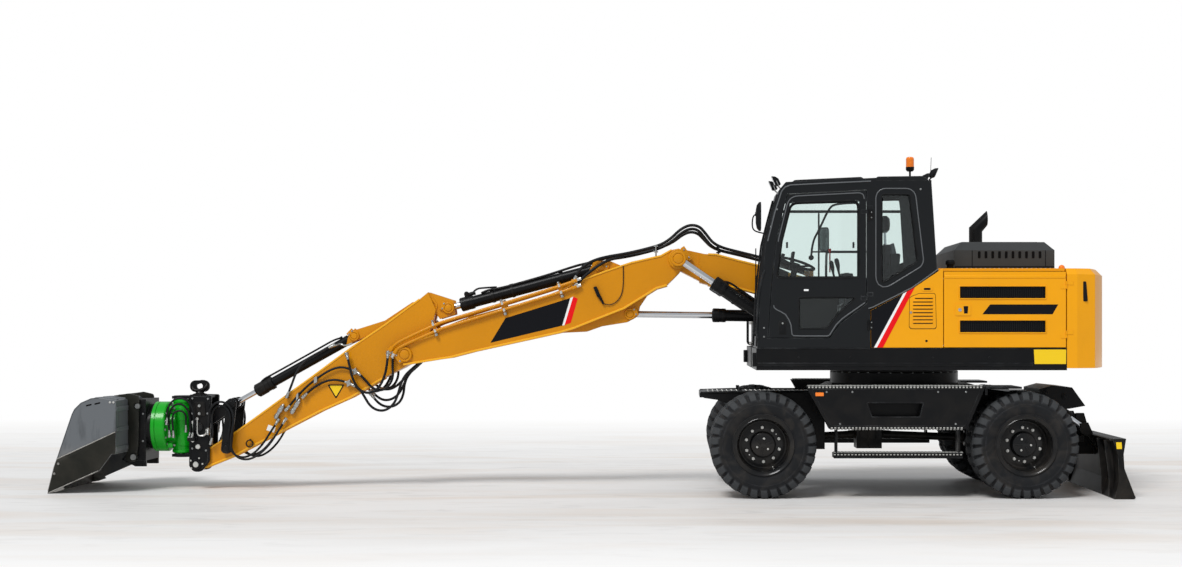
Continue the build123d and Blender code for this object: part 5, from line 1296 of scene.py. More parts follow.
# ---- mirrors, lamps and beacon ----
def mirror_head(name, low, high, faces_x, body="house"):
    """A mirror's housing: rounded rings that grow and shrink from the glass to its back."""
    centre, half = (np.array(low) + high) / 2, (np.array(high) - low) / 2
    square = np.array(rounded([(-1, -1), (1, -1), (1, 1), (-1, 1)], 0.45, 7))
    wide, deep, way = (1, 0, 1) if faces_x else (0, 1, -1)
    rings = []
    for depth, size in ((1.0, 0.93), (0.92, 1.0), (0.2, 0.98), (-0.6, 0.8), (-1.0, 0.45)):
        ring = np.zeros((len(square), 3))
        ring[:, deep] = centre[deep] + way * depth * half[deep]
        ring[:, wide] = centre[wide] + size * half[wide] * square[:, 0]
        ring[:, 2] = centre[2] + size * half[2] * square[:, 1]
        rings.append(ring)
    piece = finish_piece(name, *capped_grid(rings), dark_plastic, body, sharp=50)
    middle = rings[0].mean(axis=0)
    face = middle + (rings[0] - middle) * 0.9
    step = 0.0015 * way * np.eye(3)[deep]
    finish_piece(name + "_glass", *capped_grid([face - step, face + step]), mirror_glass, body)
    return piece


left_head = mirror_head("mirror_left", (1.688, -1.215, 2.605), (1.738, -1.075, 2.886), True)
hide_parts("mirrors")
mirror_head("mirror_right", (2.487, 1.095, 2.5), (2.592, 1.133, 2.77), False)
arms = Shell()
arm_line = nurbs_line("mirror_arm", [(1.7, -1.15, 2.77), (1.662, -1.15, 2.765), (1.65, -1.15, 2.66),
    (1.668, -1.15, 2.608), (1.73, -1.15, 2.588), (1.8, -1.15, 2.574)])
arms.add(*carried(circle(0.007, 10), arm_line))
arms.add(*bar_shape((1.682, -1.15, 2.77), (1.705, -1.15, 2.77), 0.02, 16))
arms.add(*box_shape((1.775, -1.2, 2.54), (1.815, -1.1, 2.605)))
arms.add(*bar_shape((2.479, 1.113, 1.901), (2.479, 1.113, 2.915), 0.01, 12))
arms.add(*bar_shape((2.479, 1.113, 1.901), (2.479, 1.113, 1.912), 0.035, 16))
arms.add(*bar_shape((2.476, 1.113, 2.745), (2.51, 1.113, 2.745), 0.009, 10))
arms.add(*bar_shape((2.476, 1.113, 2.525), (2.51, 1.113, 2.525), 0.009, 10))
arms.finish("mirror_arms", dark_plastic, "house", sharp=50)
rail = nurbs_line("tank_rail", [(2.56, 1.113, 2.2), (2.56, 1.113, 2.47), (2.575, 1.113, 2.5),
    (2.62, 1.113, 2.5), (3.25, 1.113, 2.5), (3.3, 1.113, 2.49), (3.31, 1.113, 2.44),
    (3.31, 1.113, 2.2)])
rails = Shell().add(*carried(circle(0.014, 12), rail))
rails.add(*bar_shape((2.93, 1.113, 2.2), (2.93, 1.113, 2.5), 0.012, 12))
rails.finish("tank_handrail", black_paint, "house")

for name, x, y, z, lean_way in (
        ("front_left", 1.892, -1.07, 3.095, -1), ("front_right", 1.892, -0.5, 3.095, -1),
        ("rear_left", 3.425, -1.07, 3.175, 1), ("rear_right", 3.425, -0.5, 3.175, 1)):
    out = unit([lean_way * 0.95, 0, 0.05])
    up = unit([-lean_way * 0.05 + lean_way * 0.45, 0, 0.95])
    wide = np.array([0, 1.0, 0])
    centre = np.array([x, y, z])
    corners = np.array(rounded([(-1, -1), (1, -1), (1, 1), (-1, 1)], 0.35, 5))
    rings = [centre + depth * out + size * (0.052 * corners[:, :1] * wide + 0.05 * corners[:, 1:]
        * up) for depth, size in ((0.03, 0.94), (0.026, 1.0), (-0.004, 0.98), (-0.024, 0.72),
        (-0.032, 0.5))]
    finish_piece(f"work_light_{name}", *capped_grid(rings), dark_plastic, "house", sharp=40)
    lens = centre + 0.0302 * out + 0.84 * (0.052 * corners[:, :1] * wide + 0.05 * corners[:, 1:]
        * up)
    finish_piece(f"work_light_lens_{name}", *capped_grid([lens - 0.002 * out, lens + 0.001 * out]),
        lamp_lens, "house")
    fins = Shell()
    for offset in np.linspace(-0.03, 0.03, 5):
        mid = centre - 0.028 * out + offset * up
        fins.add(*bar_shape(mid - 0.034 * wide, mid + 0.034 * wide, 0.004, 6))
    foot = centre - 0.075 * up - lean_way * np.array([0.01, 0, 0])
    fins.add(*bar_shape(centre - 0.052 * up, foot, 0.007, 8))
    for offset in (-0.056, 0.056):
        fins.add(*bar_shape(centre + offset * wide, centre + offset * wide - 0.056 * up, 0.004, 8))
    fins.add(*bar_shape(centre - 0.056 * wide - 0.056 * up, centre + 0.056 * wide - 0.056 * up,
        0.005, 8))
    fins.finish(f"work_light_bracket_{name}", zinc if "front" in name else dark_plastic, "house")
foot_piece = finish_piece("beacon_foot", *turned([(3.118, 0), (3.118, 0.02), (3.128, 0.02),
    (3.13, 0.01), (3.222, 0.01), (3.226, 0.03), (3.24, 0.041), (3.268, 0.0425), (3.27, 0)],
    (3.248, -0.7, 0), "Z", 32), dark_plastic, "house", sharp=40)
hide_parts("roof_lights")
profile = [(3.268, 0), (3.268, 0.0405)]
for step in range(6):
    z = 3.272 + 0.014 * step
    profile += [(z, 0.0405), (z + 0.007, 0.0393)]
profile += [(3.356, 0.0385), (3.365, 0.033), (3.3695, 0.018), (3.3698, 0)]
finish_piece("beacon_lens", *turned(profile, (3.248, -0.7, 0), "Z", 40), amber, "house", sharp=50)
Shell().add(*bar_shape((3.423, -0.9, 3.06), (3.423, -0.9, 3.12), 0.012, 12)).add(
    *bar_shape((3.423, -0.9, 3.11), (3.432, -0.9, 3.345), 0.0025, 8)).finish("antenna",
    dark_plastic, "house")


# ---- seat: padded cushion and backrest, grown from their frames' shapes under pressure ----
def cushion(name, node_name, shrink, cap, frames=20):
    """A stuffed pad: the CAD block, drawn in a little and remeshed, is blown up as cloth
    under pressure; no point moves further than the cap. The result is its own mesh."""
    source = frame["nodes"][node_name].data
    mesh = bpy.data.meshes.new(name)
    shell = bmesh.new()
    shell.from_mesh(source)
    bmesh.ops.remove_doubles(shell, verts=shell.verts, dist=1e-5)
    shell.to_mesh(mesh)
    shell.free()
    points = vertex_places(mesh)
    middle = (points.min(axis=0) + points.max(axis=0)) / 2
    half = (points.max(axis=0) - points.min(axis=0)) / 2
    points = middle + (points - middle) * (1 - shrink / half)
    mesh.vertices.foreach_set("co", points.ravel())
    piece = bpy.data.objects.new(name, mesh)
    bpy.context.scene.collection.objects.link(piece)
    mesh.materials.append(cloth)
    grain = piece.modifiers.new("grain", "REMESH")
    grain.mode, grain.voxel_size = "VOXEL", 0.006
    apply_all(piece)
    swell = piece.modifiers.new("swell", "CLOTH")
    swell.settings.use_pressure = True
    swell.settings.uniform_pressure_force = 4.0
    swell.settings.effector_weights.gravity = 0
    swell.settings.quality = 4
    start = vertex_places(piece.data)
    for number in range(1, frames + 1):
        bpy.context.scene.frame_set(number)
    apply_all(piece)
    bpy.context.scene.frame_set(1)
    grown = vertex_places(piece.data)
    move = grown - start
    far = np.linalg.norm(move, axis=1, keepdims=True)
    grown = start + move * np.minimum(1, cap / np.maximum(far, 1e-9))
    piece.data.vertices.foreach_set("co", grown.astype(np.float32).ravel())
    finer = piece.modifiers.new("finer", "SUBSURF")
    finer.levels = finer.render_levels = 1
    apply_all(piece)
    piece.data.polygons.foreach_set("use_smooth", np.ones(len(piece.data.polygons), bool))
    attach(piece, "house")
    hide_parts(node_name)
    return piece


def vertex_places(mesh):
    places = np.empty(len(mesh.vertices) * 3, np.float32)
    mesh.vertices.foreach_get("co", places)
    return places.reshape(-1, 3)


def apply_all(piece):
    """Every modifier's result becomes the piece's mesh."""
    bpy.context.view_layer.update()
    ready = piece.evaluated_get(bpy.context.evaluated_depsgraph_get())
    mesh = bpy.data.meshes.new_from_object(ready)
    piece.modifiers.clear()
    piece.data = mesh


def welt(name, pad, across, level, depth, spokes=72):
    """A sewn welt round a pad: in a thin slice of the pad's points, the one farthest out
    in each of many directions is on the seam, and a cord is carried through them."""
    points = vertex_places(pad.data)
    first, second = [axis for axis in range(3) if axis != across]
    near = points[np.abs(points[:, across] - level) < depth]
    middle = (near.min(axis=0) + near.max(axis=0)) / 2
    off = near - middle
    angle = np.arctan2(off[:, second], off[:, first])
    far = np.hypot(off[:, first], off[:, second])
    turn = np.linspace(-np.pi, np.pi, spokes, endpoint=False)
    apart = np.abs((angle[None] - turn[:, None] + np.pi) % (2 * np.pi) - np.pi)
    reach = np.where(apart < np.pi / spokes * 1.5, far[None], 0).max(axis=1)
    reach = (reach + 0.5 * (np.roll(reach, 1) + np.roll(reach, -1))) / 2
    path = np.zeros((spokes, 3))
    path[:, first] = middle[first] + reach * np.cos(turn)
    path[:, second] = middle[second] + reach * np.sin(turn)
    path[:, across] = level
    finish_piece(name, *closed_bead(path, 0.0035, np.eye(3)[across]), seal_rubber, "house")


seat_pad = cushion("seat_pad", "seat_cushion", 0.014, 0.024)
back_pad = cushion("back_pad", "seat_backrest", 0.012, 0.022)
welt("seat_pad_welt", seat_pad, 2, 1.872, 0.006)
welt("back_pad_welt", back_pad, 0, 2.96, 0.01)


# ---------------------------------------------------------------- right side and deck
RIGHT = HOUSE_HALF
# tank and locker: raised panels with bolts, latches and louvres, filler caps
panels = Shell()
for outline in (
        [(2.54, 1.54), (2.96, 1.54), (2.96, 2.15), (2.54, 2.15)],
        [(3.0, 1.54), (3.42, 1.54), (3.42, 2.15), (3.0, 2.15)],
        [(1.78, 1.54), (2.44, 1.54), (2.44, 1.85), (1.78, 1.85)]):
    shape = rounded(outline, 0.03, 5)
    rows = [side_ring(shape, RIGHT - 0.002), side_ring(shape, RIGHT + 0.006),
        side_ring(shrunk(shape, 0.006), RIGHT + 0.009)]
    panels.add(*capped_grid(rows))
panels.finish("tank_panels", black_paint, "house", sharp=30)
screws("tank_panel_bolts", [(x, z) for x in (2.565, 2.935, 3.025, 3.395) for z in (1.565, 1.845,
    2.125)], RIGHT + 0.006, "house", 0.008, 0.005)
latches, keys = Shell(), Shell()
for x, z in ((2.11, 1.815), (2.75, 2.115), (3.21, 2.115)):
    latches.add(*box_shape((x - 0.035, RIGHT + 0.004, z - 0.016), (x + 0.035, RIGHT + 0.0125,
        z + 0.016)))
    keys.add(*turned([(0, 0), (0, 0.008), (0.002, 0.006), (0.002, 0)], (x + 0.015, RIGHT + 0.011,
        z), "Y", 18))
latches.finish("tank_latches", dark_plastic, "house", soften=0.003)
keys.finish("tank_latch_keys", zinc, "house")
# louvres as black strips: painted shade of their openings
louvres = Shell()
for z in np.arange(1.62, 2.06, 0.036):
    louvres.add(*prism([(3.06, z), (3.36, z), (3.36, z + 0.01), (3.06, z + 0.01)], RIGHT + 0.007,
        RIGHT + 0.0105))
louvres.finish("tank_louvres", shade_and_lens_black, "house")
fillers = Shell()
for x, y, z, r in ((2.78, 1.03, 2.2, 0.07), (3.22, 0.96, 2.2, 0.085), (2.11, 1.0, 1.9, 0.05)):
    fillers.add(*turned([(z - 0.002, 0.0), (z - 0.002, r * 1.2), (z + 0.012, r * 1.2),
        (z + 0.016, r), (z + 0.052, r), (z + 0.06, r * 0.86), (z + 0.06, r * 0.4),
        (z + 0.066, r * 0.36), (z + 0.066, 0.0)], (x, y, 0), "Z", 40))
fillers.finish("filler_caps", dark_plastic, "house", sharp=30)
# tread plates of diamond studs on the tanks' and the deck's tops
stud = turned([(-0.001, 0.0), (-0.001, 0.009), (0.0035, 0.005), (0.0035, 0.0)], (0, 0, 0), "Z", 6)
for name, x_low, x_high, y_low, y_high, z, holes in (
        ("tank", 2.54, 3.42, 0.68, 1.21, 2.2, ((2.78, 1.03, 0.1), (3.22, 0.96, 0.12))),
        ("locker", 1.77, 2.46, 0.79, 1.21, 1.9, ((2.11, 1.0, 0.075),)),
        ("engine_deck", 3.55, 4.05, 0.78, 1.15, 2.24, ((4.138, 0.7, 0.13),)),
        ("left_deck", 3.7, 4.62, -1.15, -0.8, 2.24, ())):
    spots = grid_spots(np.arange(x_low, x_high, 0.045), np.arange(y_low, y_high, 0.045), z)
    for x, y, r in holes:
        spots = spots[np.hypot(spots[:, 0] - x, spots[:, 1] - y) > r]
    finish_piece(f"{name}_studs", *placed(stud, spots), tread_steel, "house")
# handrails beside the tank and over the locker, steps up the locker's front
rails = Shell()
for route in (
        [(1.78, 1.2, 1.9), (1.78, 1.2, 2.02), (1.83, 1.2, 2.08), (2.4, 1.2, 2.08),
            (2.45, 1.2, 2.02), (2.45, 1.2, 1.9)],
        [(1.752, 1.215, 1.48), (1.7, 1.215, 1.48), (1.7, 1.215, 1.56), (1.7, 1.215, 1.82),
            (1.7, 1.215, 1.88), (1.752, 1.215, 1.88)]):
    rails.add(*carried(circle(0.014, 12), nurbs_line("rail", route)))
rails.finish("tank_rails", black_paint, "house", sharp=60)
steps = Shell()
for z in (1.48, 1.7):
    steps.add(*box_shape((1.715, 0.82, z), (1.742, 1.18, z + 0.03)))
steps.finish("locker_steps", tread_steel, "house", soften=0.004)
# valve block beside the boom's foot and its caps
block_parts = Shell()
for x in (3.02, 3.12, 3.22, 3.32):
    block_parts.add(*box_shape((x, -0.16, 1.475), (x + 0.07, 0.3, 1.64)))
block_parts.add(*box_shape((3.0, -0.19, 1.47), (3.42, 0.33, 1.5)))
block_parts.finish("valve_block", cast_black, "house", soften=0.006)
finish_piece("valve_caps", *placed(hexagon_head(0.016, 0.03, "Z", 1),
    grid_spots((3.055, 3.155, 3.255, 3.355), np.linspace(-0.12, 0.26, 5), 1.638)), zinc, "house")
# rear of the counterweight: a dark camera and its lens
finish_piece("rear_camera", *box_shape((4.99, -0.055, 2.13), (5.075, 0.055, 2.19)), dark_plastic,
    "house", soften=0.008)
finish_piece("rear_camera_lens", *turned([(5.07, 0.0), (5.07, 0.022), (5.082, 0.02), (5.082, 0.0)],
    (0, 0, 2.16), "X", 24), shade_and_lens_black, "house")

# ---------------------------------------------------------------- booms and arm
BOOM_HALF, ARM_HALF, HITCH_FACE = 0.16, 0.128, 0.1655
ROCKER_FACE, CUTTER_FACE = 0.1925, 0.6495
# pins that several pieces share, as (x, z): the knee carries both booms and the lift rods
KNEE, TIP, ADJUST_EYE = (0.934, 2.37), (-4.033, 0.256), (0.434, 1.805)
LIFT_BASE, LIFT_Y = (2.197, 1.525), 0.24
ARM_BASE, ARM_EYE = (0.131, 2.286), (-1.442, 1.868)
BUCKET_BASE, BUCKET_EYE = (-2.416, 1.579), (-3.663, 0.881)
# blank band with a white and a red stripe, on both sides of the front boom
for corner, side in SIDES:
    y = side * BOOM_HALF
    sticker(f"boom_band_{corner}", [(-0.848, 1.762), (-0.18, 1.969), (-0.263, 1.685),
        (-1.002, 1.508)], print_and_shade_black, "upper_boom", y)
    sticker(f"boom_white_stripe_{corner}", [(-0.18, 1.969), (-0.15, 1.984), (-0.239, 1.69),
        (-0.263, 1.685)], decal_white, "upper_boom", y)
    sticker(f"boom_red_stripe_{corner}", [(-0.15, 1.984), (-0.103, 1.963), (-0.174, 1.714),
        (-0.239, 1.69)], decal_red, "upper_boom", y)
    # blank warning triangle on the arm
    y = side * ARM_HALF
    sticker(f"arm_triangle_edge_{corner}", [(-2.69, 1.078), (-2.509, 1.078), (-2.599, 0.927)],
        print_and_shade_black, "stick", y, 0.0008, 0.012)
    sticker(f"arm_triangle_{corner}", [(-2.668, 1.066), (-2.531, 1.066), (-2.599, 0.951)],
        decal_yellow, "stick", y, 0.0014, 0.008)

FRONT_BOOM_TOP = [(0.864, 2.465), (0.753, 2.403), (0.454, 2.335), (0.186, 2.245), (-0.097, 2.142),
    (-0.285, 2.04), (-0.491, 1.961), (-1.212, 1.768), (-1.495, 1.658), (-1.59, 1.588),
    (-1.93, 1.48)]
FRONT_BOOM_UNDER = [(-1.9, 1.285), (-1.542, 1.343), (-1.417, 1.36), (-1.181, 1.422),
    (-0.285, 1.619), (-0.144, 1.661), (0.376, 1.866), (0.706, 2.071), (0.816, 2.103)]
ARM_TOP = [(-1.736, 1.958), (-2.099, 1.69), (-2.423, 1.47), (-2.834, 1.165), (-3.059, 1.002),
    (-3.609, 0.602), (-3.747, 0.515), (-4.02, 0.345)]
ARM_UNDER = [(-4.0, 0.202), (-3.659, 0.34), (-2.762, 0.807), (-2.447, 0.949), (-2.12, 1.14)]
BASE_BOOM_TOP = [(1.24, 2.421), (1.321, 2.418), (1.557, 2.355), (1.778, 2.3), (2.45, 2.12)]
BASE_BOOM_UNDER = [(1.24, 2.105), (1.525, 2.079), (1.762, 2.016), (2.24, 1.906)]


def flange(name, line, half, body, over, thickness=0.01):
    """A plate along a box beam's edge that stands a little proud of its side: a thin
    rectangle carried along the line on each side."""
    line = np.asarray(line, float)
    smooth = np.array([(x, 0, z) for x, z in line])
    for corner, side in SIDES:
        path = smooth + (0, side * (half - 0.0005), 0)
        section = [(0.0, -thickness), (over, -thickness * 0.8), (over, thickness * 0.8),
            (0.0, thickness)]
        section = np.array(section) * (side, 1)
        # the flange's lighter yellow is a painted highlight
        finish_piece(f"{name}_{corner}", *carried(section, path), lit_flange_paint, body, soften=0.002)


flange("front_boom_top_flange", FRONT_BOOM_TOP, BOOM_HALF, "upper_boom", 0.008)
flange("front_boom_under_flange", FRONT_BOOM_UNDER, BOOM_HALF, "upper_boom", 0.012, 0.012)
flange("arm_top_flange", ARM_TOP, ARM_HALF, "stick", 0.006)
flange("arm_under_flange", ARM_UNDER, ARM_HALF, "stick", 0.01, 0.011)
flange("base_boom_top_flange", BASE_BOOM_TOP, BOOM_HALF, "lower_boom", 0.008)
flange("base_boom_under_flange", BASE_BOOM_UNDER, BOOM_HALF, "lower_boom", 0.008)


def cylinder_frame(base, eye, y=0.0):
    """Where a cylinder's base pin is, its direction to the rod's eye, and up square to it."""
    base, eye = np.array([base[0], y, base[1]]), np.array([eye[0], y, eye[1]])
    axis = unit(eye - base)
    over = np.array([-axis[2], 0, axis[0]])
    return base, axis, over * math.copysign(1, over[2])


def boss(name, centre, y, radius, body, depth=0.022, material=None, keeper=None):
    """A pin's boss on a side face: a stepped collar with the pin's end in it
    and, where asked, a keeper plate with two bolts."""
    side = math.copysign(1, y)
    x, z = centre
    collar = turned([(-0.004, 0), (-0.004, radius), (depth * 0.7, radius), (depth, radius * 0.93),
        (depth, radius * 0.7), (depth * 0.72, radius * 0.68), (depth * 0.72, radius * 0.62),
        (depth * 1.0, radius * 0.6), (depth * 1.1, radius * 0.54), (depth * 1.1, 0)], (0, 0, 0),
        "Y", 40)
    points = collar[0] * np.array([1, side, 1]) + np.array([x, y, z])
    finish_piece(name, points, collar[1], material or shaded_boom_paint, body, sharp=35)
    if keeper is not None:
        out = np.array([math.cos(keeper), 0, math.sin(keeper)])
        along = np.array([-math.sin(keeper), 0, math.cos(keeper)])
        middle = np.array([x, y + side * depth * 0.4, z]) + out * radius * 0.95
        plate = [slab_end(middle + along * step * radius * 0.75, out, 0.02, 0.024, -side * 0.01,
            side * 0.012) for step in (-1, 1)]
        finish_piece(name + "_keeper", *capped_grid(plate), material or shaded_boom_paint, body,
            soften=0.003)
        heads = [tuple(middle + along * step * radius * 0.45 + (0, side * 0.011, 0))
            for step in (-1, 1)]
        finish_piece(name + "_keeper_bolts", *placed(hexagon_head(0.01, 0.008, "Y", side), heads),
            zinc, body)


for corner, side in SIDES:
    boss(f"knee_boss_{corner}", KNEE, side * 0.16, 0.105, "upper_boom", 0.03, keeper=0.6)
    boss(f"arm_pin_boss_{corner}", (-1.885, 1.388), side * 0.161, 0.078, "upper_boom", 0.026,
        keeper=-2.6)
    boss(f"adjust_eye_boss_{corner}", ADJUST_EYE, side * 0.0905, 0.06, "upper_boom", 0.024,
        keeper=0.4)
    boss(f"arm_cylinder_base_boss_{corner}", ARM_BASE, side * 0.104, 0.058, "upper_boom", 0.022,
        keeper=-0.3)
    boss(f"arm_cylinder_eye_boss_{corner}", ARM_EYE, side * 0.095, 0.06, "stick", 0.022, keeper=2.8)
    boss(f"bucket_cylinder_base_boss_{corner}", BUCKET_BASE, side * 0.095, 0.052, "stick", 0.022,
        keeper=2.4)
    boss(f"rocker_boss_{corner}", (-3.715, 0.424), side * ROCKER_FACE, 0.05, "rocker", 0.02,
        black_paint)
    boss(f"link_boss_{corner}", BUCKET_EYE, side * ROCKER_FACE, 0.046, "rocker", 0.02, black_paint)
    boss(f"tip_boss_{corner}", TIP, side * HITCH_FACE, 0.052, "hitch", 0.018, material=black_paint)
    for spot, size in ((TIP, 0.03), ((-4.01, 0.44), 0.026)):
        end = np.array([spot[0], side * HITCH_FACE, spot[1]])
        finish_piece(f"hitch_pin_end_{int(spot[1] * 1000)}_{corner}",
            *bar_shape(end, end + (0, side * 0.024, 0), 1.0, 24, ((0, size), (0.8, size),
            (1, size * 0.85))), nut_steel, "hitch")
    screws(f"hitch_lock_bolts_{corner}", [(-4.085, 0.295), (-4.0, 0.32), (-3.965, 0.262),
        (-4.078, 0.22)], side * HITCH_FACE, "hitch", 0.011, 0.012, nut_steel)
    boss(f"hitch_link_boss_{corner}", (-4.01, 0.64), side * HITCH_FACE, 0.05, "hitch", 0.018,
        material=black_paint)
    boss(f"lift_eye_boss_{corner}", KNEE, side * 0.281, 0.08, "lift_rods", 0.016,
        material=shaded_boom_paint)
    boss(f"lift_base_boss_{corner}", LIFT_BASE, side * 0.3005, 0.055, "house", 0.018,
        material=black_paint)

# steel pipes along the front boom's left and right sides, with clamps and end fittings
PIPE_HIGH = [(-0.118, 2.15), (-0.16, 2.13), (-0.8, 1.932), (-1.47, 1.73), (-1.54, 1.705),
    (-1.9, 1.54), (-1.99, 1.485), (-2.03, 1.43)]
PIPE_LOW = [(-0.12, 2.085), (-0.16, 2.065), (-0.8, 1.867), (-1.47, 1.665), (-1.54, 1.64),
    (-1.88, 1.49), (-1.96, 1.445), (-1.985, 1.405)]
for corner, side in SIDES:
    for level, route, y in (("high", PIPE_HIGH, 0.188), ("low", PIPE_LOW, 0.186)):
        line = nurbs_line("pipe", [(x, side * y, z) for x, z in route])
        tube(f"boom_pipe_{level}_{corner}", line, 0.0155, shaded_boom_paint, "upper_boom", 14, sharp=60)
        for end, back, tag in ((line[0], line[2], "rear"), (line[-1], line[-3], "front")):
            forth = unit(end - back)
            finish_piece(f"boom_pipe_coupling_{level}_{corner}_{tag}",
                *bar_shape(end - forth * 0.045, end + forth * 0.01, 0.026, 6), shaded_boom_paint,
                "upper_boom", soften=0.002)
            nut = Shell()
            nut.add(*bar_shape(end + forth * 0.008, end + forth * 0.034, 0.023, 6))
            nut.add(*bar_shape(end + forth * 0.032, end + forth * 0.055, 0.018, 14))
            nut.finish(f"boom_pipe_nut_{level}_{corner}_{tag}", nut_steel, "upper_boom")
    for number, (x, z) in enumerate(((-1.578, 1.665), (-0.869, 1.88), (-0.283, 2.062))):
        slope = np.array([-math.sin(0.3), 0, math.cos(0.3)])
        along = np.array([math.cos(0.3), 0, math.sin(0.3)])
        middle = np.array([x, side * 0.187, z])
        bracket = [slab_end(middle + slope * step, along, 0.02, 0.02, -side * 0.026, -side * 0.006)
            for step in (-0.062, 0.062)]
        finish_piece(f"pipe_bracket_{number}_{corner}", *capped_grid(bracket), shaded_boom_paint,
            "upper_boom", soften=0.003)
        strap = Shell()
        for step in (-0.042, 0.03):
            strap.add(*capped_grid([slab_end(middle + slope * step + slope * low, along, 0.012,
                0.012, -side * 0.008, side * 0.022) for low in (-0.01, 0.022)]))
        strap.finish(f"pipe_clamp_{number}_{corner}", nut_steel, "upper_boom", soften=0.004)
        top = middle + slope * 0.066
        Shell().add(*bar_shape(top - slope * 0.02, top + slope * 0.012, 0.012, 6)).add(
            *bar_shape(middle - slope * 0.064, middle - slope * 0.09, 0.02, 14)).finish(
            f"pipe_clamp_bolt_{number}_{corner}", zinc, "upper_boom")

# pipe along the arm cylinder, its head fittings and the tube clamps round the barrel
line = nurbs_line("cylinder_pipe", [(0.05, -0.06, 2.345), (-0.05, -0.075, 2.322),
    (-0.142, -0.06, 2.3), (-0.403, -0.03, 2.215), (-0.664, -0.03, 2.14), (-0.9, -0.03, 2.075),
    (-1.056, -0.03, 2.052), (-1.11, -0.03, 2.02)])
tube("arm_cylinder_pipe", line, 0.013, cast_black, "arm_barrel", 12)
ARM_FOOT, BARREL_AXIS, BARREL_UP = cylinder_frame(ARM_BASE, ARM_EYE)
for number, far in enumerate((0.42, 0.95, 1.16)):
    middle = ARM_FOOT + BARREL_AXIS * far
    clamp = Shell()
    clamp.add(*bar_shape(middle - BARREL_AXIS * 0.014, middle + BARREL_AXIS * 0.014, 0.0655, 32))
    clamp.add(*bar_shape(middle + BARREL_UP * 0.05 - BARREL_AXIS * 0.02, middle + BARREL_UP * 0.05
        + BARREL_AXIS * 0.02, 0.03, 6))
    clamp.finish(f"arm_barrel_clamp_{number}", cast_black, "arm_barrel", sharp=40)
ports = Shell()
port = ARM_FOOT + BARREL_AXIS * 1.42
ports.add(*bar_shape(port, port + BARREL_UP * 0.105, 0.028, 18))
ports.add(*bar_shape(port + BARREL_UP * 0.085, port + BARREL_UP * 0.085 + BARREL_AXIS * -0.09, 0.02,
    16))
ports.add(*bar_shape(port + BARREL_UP * 0.1 + (0, -0.03, 0), port + BARREL_UP * 0.1 + (0, 0.03, 0),
    0.022, 12))
ports.finish("arm_barrel_port", cast_black, "arm_barrel", sharp=40)
loop = nurbs_line("port_loop", [tuple(port + BARREL_UP * 0.085 - BARREL_AXIS * 0.06),
    tuple(port + BARREL_UP * 0.125 - BARREL_AXIS * 0.1), tuple(port + BARREL_UP * 0.11 - BARREL_AXIS
    * 0.2), tuple(port + BARREL_UP * 0.085 - BARREL_AXIS * 0.32)])
tube("arm_barrel_loop", loop, 0.01, hose_rubber, "arm_barrel")


def gland(name, base, eye, closed, radius, rod_radius, y, body, long=2.0, thick=1.0):
    """The head of a hydraulic cylinder: stepped rings round the tube's end and eight cap
    screws. A collar with a port's stub marks the tube's base."""
    base, axis, over = cylinder_frame(base, eye, y)
    head = base + axis * closed
    rings = Shell()
    wide = radius * thick
    rings.add(*sleeve_shape(head - axis * long * radius, head + axis * 0.012,
        ((0, radius * 1.004), (0.9, radius * 1.004), (0.92, rod_radius * 1.07),
        (1.0, rod_radius * 1.07)), 36, ((0, radius * 1.08), (0.02, wide * 1.2), (0.2, wide * 1.2),
        (0.22, wide * 1.13), (0.42, wide * 1.13), (0.44, wide * 1.21), (0.9, wide * 1.21),
        (0.92, radius * 1.1), (0.965, radius * 1.08), (0.97, rod_radius * 1.35),
        (1.0, rod_radius * 1.25))))
    rings.finish(name + "_gland", cast_black, body, sharp=35)
    side = np.cross(axis, over)
    turn = np.linspace(0, 2 * np.pi, 8, endpoint=False) + 0.3
    caps = Shell()
    for angle in turn:
        spot = (head - axis * 0.16 * radius + (math.cos(angle) * over + math.sin(angle) * side)
            * radius * 0.93)
        caps.add(*bar_shape(spot - axis * 0.01, spot + axis * 0.01, 0.0075, 6))
    caps.finish(name + "_cap_screws", bolt_steel, body)
    tail = base + axis * 1.7 * radius
    rear = Shell()
    rear.add(*sleeve_shape(tail - axis * 0.004, tail + axis * 0.03,
        ((0, radius * 1.004), (1, radius * 1.004)), 32, ((0, radius * 1.06), (1, radius * 1.06))))
    port_at = tail + axis * 0.06
    rear.add(*bar_shape(port_at + over * radius * 0.93, port_at + over * radius * 1.4,
        radius * 0.32, 14))
    rear.finish(name + "_base_ring", cast_black, body, sharp=40)


gland("adjust", (2.353, 1.778), ADJUST_EYE, 1.06, 0.06, 0.034, 0, "adjust_barrel")
gland("arm_cylinder", ARM_BASE, ARM_EYE, 1.5, 0.06, 0.034, 0, "arm_barrel")
gland("bucket_cylinder", BUCKET_BASE, BUCKET_EYE, 1.18, 0.05, 0.028, 0, "bucket_barrel", 4.0, 1.16)
for corner, side in SIDES:
    gland(f"lift_{corner}", LIFT_BASE, KNEE, 1.08, 0.062, 0.036, side * LIFT_Y, "lift_barrels")
    gland(f"blade_cylinder_{corner}", (4.695, 0.905), (5.065, 0.65), 0.27, 0.048, 0.025,
        side * 0.33, "blade_barrels")
    # pipe along each lift cylinder
    base, axis, over = cylinder_frame(LIFT_BASE, KNEE, side * LIFT_Y)
    pipe_line = [tuple(base + axis * a + over * b)
        for a, b in ((0.2, 0.062), (0.24, 0.092), (0.4, 0.088), (0.8, 0.088), (0.96, 0.092),
            (1.0, 0.066))]
    tube(f"lift_pipe_{corner}", nurbs_line("lift_pipe", pipe_line), 0.011, cast_black,
        "lift_barrels")
    for far in (0.42, 0.8):
        middle = base + axis * far
        finish_piece(f"lift_strap_{corner}_{int(far * 100)}", *bar_shape(middle - axis * 0.012,
            middle + axis * 0.012, 0.0665, 28), cast_black, "lift_barrels")

